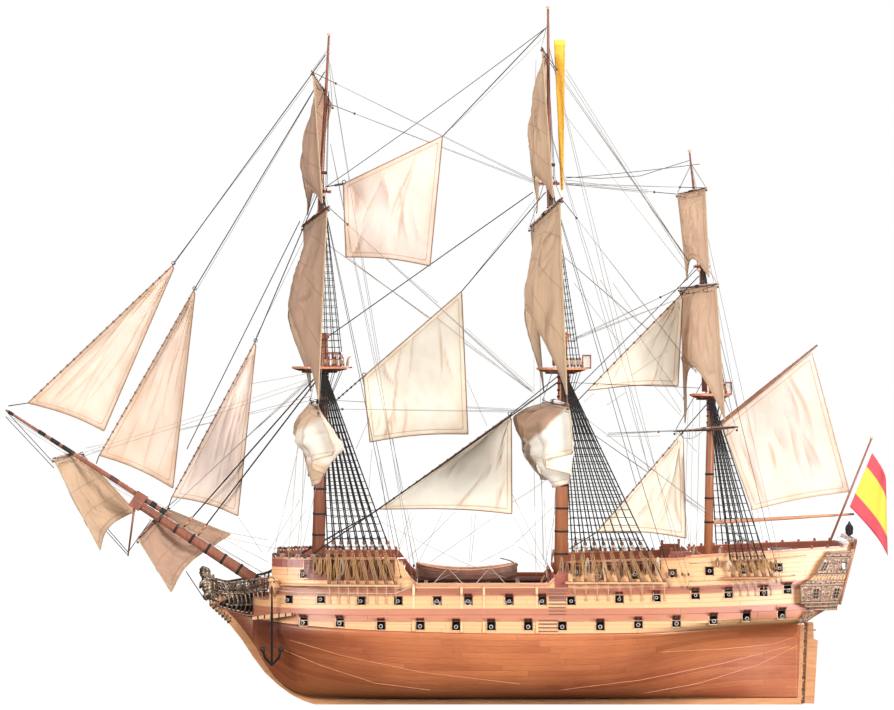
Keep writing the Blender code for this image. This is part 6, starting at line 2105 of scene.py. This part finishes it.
# Sails
# The staysails' stays, as points (x, z) or (x, z, y), and the sails, as (foot start, foot end, head start,
# head end, belly)
STAY_ROUTES = {
    "flying_jib": [(-218.3, 649), (-371, 439), (-516, 301), (-535.5, 298.1)],
    "jib": [(-219.3, 632), (-350, 414), (-445, 248), (-447.6, 240.4)],
    "fore_topmast_staysail": [(-226.3, 510), (-289, 362), (-372, 207), (-376.4, 194.9)],
    "main_topgallant_staysail": [(1.9, 676), (-101, 568), (-201, 520), (-218, 517.2)],
    "main_topmast_staysail": [(1.7, 512), (-82, 413), (-181, 327), (-215.9, 296.7)],
    "main_staysail": [(13.4, 327.5), (-34, 289, 1.6), (-166, 194, 6.0), (-270.8, 133.2, 9.6)],
    "mizzen_topmast_staysail": [(155, 428), (43, 313), (25.6, 294.6)],
    "mizzen_staysail": [(162.5, 299.6), (137, 270), (53, 172), (25.2, 155)],
}
STAYSAILS = {
    "flying_jib": ((-516, 301), (-440, 273), (-371.2, 438.8), (-370.2, 435.4), 9),
    "jib": ((-444.6, 248.6), (-371, 216), (-350.2, 413.6), (-349, 410.4), 9),
    "fore_topmast_staysail": ((-371.8, 207.4), (-306, 188), (-289.2, 361.6), (-288, 358), 7),
    "main_topgallant_staysail": ((-198, 447), (-114, 438), (-200.8, 520.1), (-101.4, 567.8), 8),
    "main_topmast_staysail": ((-174, 262), (-76, 270), (-180.6, 327.3), (-82.4, 412.6), 8),
    "main_staysail": ((-165.4, 194.5, 6.0), (-32, 190, 3), (-35, 288.3, 1.6), (-32.6, 284.6, 1.7), 8),
    "mizzen_topmast_staysail": ((43.6, 313.6), (134, 318), (136.6, 409.1), (138.4, 405), 7),
    "mizzen_staysail": ((53.4, 172.5), (142, 166), (136.6, 269.5), (139, 266), 7),
}
# Square sails, as (yard, yard below, share of each yard at head and foot, belly, arch of the foot)
SQUARE_SAILS = {
    "fore_topsail": ("fore_topsail_yard", "fore_course_yard", 0.86, 0.9, 26, 84),
    "fore_topgallant_sail": ("fore_topgallant_yard", "fore_topsail_yard", 0.85, 0.55, 16, 26),
    "main_topsail": ("main_topsail_yard", "main_course_yard", 0.86, 0.9, 24, 84),
    "main_topgallant_sail": ("main_topgallant_yard", "main_topsail_yard", 0.85, 0.5, 15, 30),
    "mizzen_topsail": ("mizzen_topsail_yard", "crossjack_yard", 0.9, 0.62, 10, 55),
    "mizzen_topgallant_sail": ("mizzen_topgallant_yard", "mizzen_topsail_yard", 0.9, 0.55, 6, 20),
}
HEAD_DROP = 0.3
CLEW_RISE = 6.0
SAIL_HALF_THICK = 0.18
PANEL = 100.0  # millimetres of cloth in a unit of its UV map


def head_drop(yard):
    """From a yard's middle line down to the head of its sail."""
    return UP * (YARDS[yard][3] + HEAD_DROP + 0.3)


def centre(x, z, y=0.0):
    return Vector((x, y, z))


def patch(corners, belly, arch, across, up):
    """A sail's middle surface as rows from its foot to its head, as in the construction."""
    foot_a, foot_b, head_a, head_b = [Vector(c) for c in corners]
    push = Vector(belly)
    rows = []
    for j in range(up + 1):
        row = []
        for i in range(across + 1):
            u = i / across
            low, high = foot_a.lerp(foot_b, u), head_a.lerp(head_b, u)
            hollow = math.sin(math.pi * u)
            cut_up = min(arch * hollow / (high - low).length, 0.9)
            v = cut_up + (1 - cut_up) * j / up
            full = math.sin(math.pi * (1 - v) * 0.9) ** 1.3 if v < 1 else 0.0
            row.append(low.lerp(high, v) + push * hollow**0.8 * full)
        rows.append(row)
    return rows


def surface_normal(rows, j, i):
    along_row = rows[j][min(i + 1, len(rows[0]) - 1)] - rows[j][max(i - 1, 0)]
    along_column = rows[min(j + 1, len(rows) - 1)][i] - rows[max(j - 1, 0)][i]
    return along_row.cross(along_column).normalized()


def crumpled(rows, depth, scale, seed, creases, slant=0.25):
    """The rows with soft folds and long creases pressed in, fading out at the edges, and how deep each
    point lies in a crease."""
    dice = random.Random(seed)
    tall, wide = len(rows), len(rows[0])
    pressed = []
    for _ in range(creases):
        lean = dice.gauss(0, slant)
        pressed.append((dice.uniform(0.08, 0.92), dice.uniform(0.1, 0.9), lean, dice.uniform(0.12, 0.4),
                        dice.uniform(0.006, 0.014), dice.choice((-1, 1)) * dice.uniform(0.5, 1.0)))
    made, folds = [], []
    for j in range(tall):
        row = []
        for i in range(wide):
            u, v = i / (wide - 1), j / (tall - 1)
            edge = min(i, wide - 1 - i, j + 1.0, tall - 1 - j) / (wide * 0.14)
            point = rows[j][i]
            spot = Vector([c * s * scale + seed for c, s in zip(point, (1.0, 1.0, 0.6))])
            push = noise.fractal(spot, 0.8, 2.1, 4) + 0.6 * (abs(noise.noise(spot * 0.7)) - 0.25)
            dark = 0.0
            for cu, cv, lean, long, thin, strength in pressed:
                dv = v - cv
                if abs(dv) < long:
                    fade = 1 - (dv / long) ** 2
                    off = (u - cu - lean * dv - 0.02 * math.sin(9 * dv + cu * 20)) / thin
                    ridge = math.exp(-0.5 * off * off) * fade
                    push += 0.45 * strength * ridge + 0.35 * strength * math.exp(-0.5 * (off / 4) ** 2) * fade
                    dark = max(dark, ridge * abs(strength) * 0.8)
            ease = min(edge, 1.0) ** 0.7
            row.append(point + surface_normal(rows, j, i) * push * depth * ease)
            folds.append(dark * min(edge * 2, 1.0))
        made.append(row)
    return made, folds


def run_along(points):
    """Distances along a line of points, from its first."""
    runs = [0.0]
    for p, q in zip(points, points[1:]):
        runs.append(runs[-1] + (q - p).length)
    return runs


def edge_distances(rows):
    """How far each point is from the nearest edge of the cloth, along the rows and the columns."""
    across = [run_along(row) for row in rows]
    up = [run_along(column) for column in zip(*rows)]
    return [
        min(across[j][i], across[j][-1] - across[j][i], up[i][j], up[i][-1] - up[i][j])
        for j in range(len(rows)) for i in range(len(rows[0]))
    ]


def sheet_faces(tall, wide):
    """Faces of a closed thin sheet of two layers of points, and the points around its edge."""
    layer, faces = tall * wide, []
    for j in range(tall - 1):
        for i in range(wide - 1):
            a = j * wide + i
            faces.append([a + wide, a + wide + 1, a + 1, a])
            faces.append([layer + a, layer + a + 1, layer + a + wide + 1, layer + a + wide])
    edge = list(range(wide)) + [j * wide + wide - 1 for j in range(1, tall)]
    edge += list(range(layer - 2, layer - wide - 1, -1)) + [j * wide for j in range(tall - 2, 0, -1)]
    faces += [[a, b, layer + b, layer + a] for a, b in zip(edge, edge[1:] + edge[:1])]
    return faces, edge


def hang(
    name, rows, folds, look, body="root", rope=0.55, rope_look="hemp",
    shade_share=None,
):
    """A sail as a thin closed shell, with its bolt rope."""
    tall, wide = len(rows), len(rows[0])
    width, height, area = spread(rows)
    middle = [row[wide // 2] for row in rows]
    folds = folds or [0.0] * (tall * wide)
    size = (1, 1) if look == "flag" else (width / MM / PANEL, run_along(middle)[-1] / PANEL)
    points, places = [], []
    for side in BOTH:
        for j in range(tall):
            for i in range(wide):
                points.append(rows[j][i] + surface_normal(rows, j, i) * side * SAIL_HALF_THICK)
                places.append((i / (wide - 1) * size[0], j / (tall - 1) * size[1]))
    faces, edge = sheet_faces(tall, wide)
    heap = Heap()
    heap.put(points, faces, look, True, places)
    if callable(look):
        heap.looks = [look(points[face[0]]) for face in faces]
    heap.traits = {"edge": edge_distances(rows) * 2, "fold": folds * 2}
    # each point's share of painted shade, for the courses
    if shade_share:
        heap.traits["shade_share"] = [shade_share(point) for point in points]
    cloth = emit(heap, name + "_cloth", body, [name])
    if rope:
        cord = Heap()
        flat = [p for row in rows for p in row]
        tube(cord, [flat[i] for i in edge + edge[:1]], rope, rope_look, 6, False)
        emit(cord, name + "_bolt_rope", body)
    area = min(area, width * height)


def spread(rows):
    """Width, height and area of rows of points, in metres."""
    width = max(run_along(row)[-1] for row in rows) * MM
    height = max(run_along(column)[-1] for column in zip(*rows)) * MM
    area = 0.0
    for low, high in zip(rows, rows[1:]):
        for p, q, r, s in zip(low, low[1:], high[1:], high):
            area += ((q - p).cross(s - p).length + (q - r).cross(s - r).length) / 2 * MM * MM
    return width, height, area


def build_square_sails():
    for number, (name, (yard, lower, head_share, foot_share, belly, arch)) in enumerate(SQUARE_SAILS.items()):
        drop = head_drop(yard)
        rise = Vector((0, 0, YARDS[lower][3] + CLEW_RISE))
        corners = [
            yard_point(lower, -foot_share) + rise, yard_point(lower, foot_share) + rise,
            yard_point(yard, -head_share) - drop, yard_point(yard, head_share) - drop,
        ]
        rows, folds = crumpled(patch(corners, (-belly, 0, 0), arch, 52, 44), 3.2, 0.03, 3 + number * 3, 16)
        look = {"fore": "brown_sail", "main": "tan_sail"}.get(name.split("_")[0], "light_tan_sail")
        hang(name, rows, folds, look, rope=0.65)


# How far the gathered courses reach forward and aft of their yards, as (under the yard, fore, aft)
COURSE_SHAPES = {
    "fore_course": (
        (0, -3, 3), (10, -13, 10), (20, -18, 18), (31, -20, 26), (37, -12, 28), (46, -8, 19), (61, -6, 8),
        (74, -4, 0),
    ),
    "main_course": (
        (0, -3, 4), (4, -22, 6), (14, -36, 8), (29, -33, 10), (38, -28, 10), (48, -29, 10), (56, -25, 9),
        (76, -8, 6),
    ),
}
COURSE_DEPTH = {"fore_course": 74, "main_course": 78}
# Painted shade on the courses: how brown each part is, by its place. The upper and fore folds are browner
COURSE_SHADES = {
    "fore_course": lambda p: max(
        smooth_step(p.z - 0.5 * (p.x + 225), 272, 296), 1 - smooth_step(p.z, 236, 256),
    ),
    "main_course": lambda p: smooth_step(p.z - 0.97 * (p.x + 14), 262, 276),
}


def course_reach(name, depth):
    shape = COURSE_SHAPES[name]
    for (z0, fore0, aft0), (z1, fore1, aft1) in zip(shape, shape[1:]):
        if depth <= z1:
            share = (depth - z0) / (z1 - z0)
            return mix(fore0, fore1, share), mix(aft0, aft1, share)
    return shape[-1][1:]


def build_courses():
    """The courses, gathered up to their yards in deep pleats, with their clews hanging."""
    for name, depth in COURSE_DEPTH.items():
        yard = name + "_yard"
        drop = head_drop(yard)
        rows = []
        for j in range(37):
            v = j / 36
            row = []
            for i in range(121):
                share = mix(-0.86, 0.86, i / 120)
                deep = (0.42 + 0.58 * abs(math.sin(math.pi * share * 1.05)) ** 1.5) * depth
                wave = 1.7 * math.sin(i * 0.36 + 1.1 + 0.9 * math.sin(i * 0.13) + 0.5 * v)
                wave = max(min(wave, 1.0), -1.0)
                fore, aft = course_reach(name, deep * v)
                spread_out = mix(0.45, 1.0, (deep / depth - 0.42) / 0.58)
                head = yard_point(yard, share) - drop
                reach = mix(fore, aft, (wave + 1) / 2) * spread_out
                row.append(head + Vector((reach, 3 * v * math.sin(i * 0.5), -deep * v)))
            rows.append(row)
        rows, folds = crumpled(rows[::-1], 3.0, 0.045, depth, 30, 0.6)
        # the courses take painted shade, in brown, on their shaded folds
        hang(
            name, rows, folds, name, rope=0.7, rope_look="pale_rope",
            shade_share=COURSE_SHADES[name],
        )


STAYSAIL_LOOKS = {
    "flying_jib": "sail", "jib": "sail", "fore_topmast_staysail": "clean_sail",
    "main_topgallant_staysail": "clean_sail",
}


def build_staysails():
    for number, (name, (foot_a, foot_b, head_a, head_b, belly)) in enumerate(STAYSAILS.items()):
        corners = [centre(*foot_a), centre(*foot_b), centre(*head_a), centre(*head_b)]
        rows, folds = crumpled(patch(corners, (0, belly, 0), 3.0, 48, 52), 2.6, 0.028, 20 + number * 3, 11)
        look = STAYSAIL_LOOKS.get(name, "bright_sail")
        hang(name, rows, folds, look, rope_look="brown_rope")


# The spanker's spars, as (x, z) at their two ends, and its corners in foot and head, before it swings
GAFF = ((166.2, 272.5), (274.5, 359.0))
BOOM = ((164.6, 181.4), (312.0, 189.5))
SWING = math.radians(3.9)
SPANKER_CORNERS = ((209, 194), (307, 212), (178, 278.8), (269, 351.4))


def swung(x, z):
    root = mast_x(LOWER_MASTS["mizzen"], z)
    reach = x - root
    return Vector((root + reach * math.cos(SWING), reach * math.sin(SWING), z))


def build_spanker():
    dress("gaff", "yard")
    dress("boom", "rail")
    corners = [swung(x, z) for x, z in SPANKER_CORNERS]
    rows, folds = crumpled(patch(corners, (0, 9, 0), 2, 56, 56), 3.0, 0.028, 61, 12, 0.1)
    hang("spanker", rows, folds, "clean_sail", body="spanker")
    leather = Heap()
    for spar, low, high, radius in ((BOOM, 0.05, 0.22, 1.9), (GAFF, 0.03, 0.12, 1.6)):
        ends = [swung(*spar[0]).lerp(swung(*spar[1]), share) for share in (low, high)]
        tube(leather, ends, radius, "iron", 12)
    emit(leather, "spar_leathers", "spanker")


def build_head_sails():
    for name, yard, feet, belly in (
        ("sprit_topsail", "sprit_topsail_yard", ((-437, -50, 158), (-414, 44, 190)), (-10, 0, -8)),
        ("spritsail", "spritsail_yard", ((-366, -62, 118), (-318, 55, 166)), (-9, 0, -9)),
    ):
        drop = head_drop(yard)
        corners = [*feet, yard_point(yard, -0.9) - drop, yard_point(yard, 0.9) - drop]
        rows, folds = crumpled(patch(corners, belly, 8, 40, 36), 4.0, 0.035, 81, 10)
        hang(name, rows, folds, "tan_sail" if name == "sprit_topsail" else "brown_sail")


PENNANT_HEAD_Z = 657.0  # above it the pennant is lemon, below orange
# The ensign's staff, hoist and fly, each as (x, z) at its foot and its head
STAFF = ((281.8, 152.3), (327.5, 266.0))
HOIST = ((305.7, 197.3), (328.0, 251.0))
FLY = ((344.0, 148.4), (342.3, 219.7))


def pennant_look(point):
    return "pennant_head" if point.z > PENNANT_HEAD_Z else "pennant"


def build_flags():
    """The ensign on its staff, in soft folds, and the pennant under the main truck."""
    rows = []
    for j in range(25):
        near = centre(*HOIST[0]).lerp(centre(*HOIST[1]), j / 24)
        far = centre(*FLY[0]).lerp(centre(*FLY[1]), j / 24)
        row = []
        for i in range(31):
            u = i / 30
            fold = Vector((3 * math.sin(math.pi * u), 4.5 * math.sin(2.2 * math.pi * u) * u, 0))
            row.append(near.lerp(far, u) + fold)
        rows.append(row)
    heap = Heap()
    foot, head = centre(*STAFF[0]), centre(*STAFF[1])
    tube(heap, [foot, head], [1.3, 0.9], "mast", 12)
    ball(heap, head, 1.6, "pale", 1.0, 12)
    emit(heap, "ensign_staff")
    hang("ensign", rows, None, "flag", rope=None)
    rows = []
    for j in range(33):
        v = j / 32
        middle = Vector((mix(18, 15.5, v), 1.5 * math.sin(3 * math.pi * v), mix(514, 664, v)))
        half = mix(1.2, 5.6, v)
        row = [middle + Vector((mix(-half, half, i / 6), 0.6 * math.sin(i + 9 * v), 0)) for i in range(7)]
        rows.append(row)
    hang("pennant", rows, None, pennant_look, rope=None)


# Stage, in metres
WHITE = (1.0, 1.0, 1.0, 1.0)
FLOOR_REACH = 30.0
FLOOR_GLOW = 1.0
LIGHTS_AIM = UP * 0.25
# Lights, as (name, place, power, side length)
LIGHTS = (
    ("key", (2.2, -2.5, 1.0), 112.0, 1.4), ("front", (-2.0, -2.5, 1.2), 105.0, 1.6),
    ("top", (0.3, 0.2, 2.6), 26.0, 2.0), ("back", (0.2, 3.0, 1.0), 80.0, 2.0),
    ("low", (2.2, -2.2, 0.15), 50.0, 1.0),
)


def build_stage():
    """A pale floor and a white surround, with broad soft lights."""
    floor = bpy.data.meshes.new("floor")
    corners = [(FLOOR_REACH * x, FLOOR_REACH * y, 0) for x, y in ((-1, -1), (1, -1), (1, 1), (-1, 1))]
    floor.from_pydata(corners, [], [[0, 1, 2, 3]])
    look, _ = new_look(
        "floor_paint", 0.9, Specular_IOR_Level=0.0, Base_Color=(0.05, 0.05, 0.05, 1.0),
        Emission_Color=WHITE, Emission_Strength=FLOOR_GLOW,
    )
    floor.materials.append(look)
    obj = bpy.data.objects.new("floor", floor)
    bpy.context.scene.collection.objects.link(obj)
    obj.visible_diffuse = False
    obj.visible_glossy = False
    world = bpy.data.worlds.new("studio")
    world.use_nodes = True
    world.node_tree.nodes["Background"].inputs[0].default_value = WHITE
    world.node_tree.nodes["Background"].inputs[1].default_value = 1.0
    bpy.context.scene.world = world
    world.cycles_visibility.diffuse = False
    world.cycles_visibility.glossy = False
    bpy.context.scene.view_settings.view_transform = "Standard"
    for name, place, energy, size in LIGHTS:
        light = bpy.data.lights.new(name, "AREA")
        light.energy = energy
        light.size = size
        lamp = bpy.data.objects.new(name, light)
        lamp.location = place
        lamp.rotation_euler = (LIGHTS_AIM - Vector(place)).to_track_quat("-Z", "Y").to_euler()
        bpy.context.scene.collection.objects.link(lamp)


def build_camera():
    data = bpy.data.cameras.new("camera")
    data.lens = CAMERA_LENS
    data.clip_end = 100
    camera = bpy.data.objects.new("camera", data)
    camera.location = CAMERA_PLACE
    camera.rotation_euler = (math.pi / 2, 0, 0)
    bpy.context.scene.collection.objects.link(camera)
    bpy.context.scene.camera = camera


def main():
    build_camera()
    build_stage()
    sides = build_sides()
    build_ports(sides)
    build_bottom()
    build_trim()
    build_keel()
    build_masts()
    build_yards()
    build_bowsprit()
    build_channels()
    build_backstays()
    build_stays()
    build_running_rigging()
    build_square_sails()
    build_courses()
    build_staysails()
    build_spanker()
    build_head_sails()
    build_flags()
    build_gallery()
    build_figurehead()
    build_head()
    build_boat_fittings()
    build_deck_fittings()
    LOOKS["anchor"] = anchor_look()
    LOOKS["stern"] = stern_look()
    for name, look in (("stern_gallery", "stern"), ("anchor_port", "anchor"), ("anchor_starboard", "anchor")):
        dress(name, look)


main()
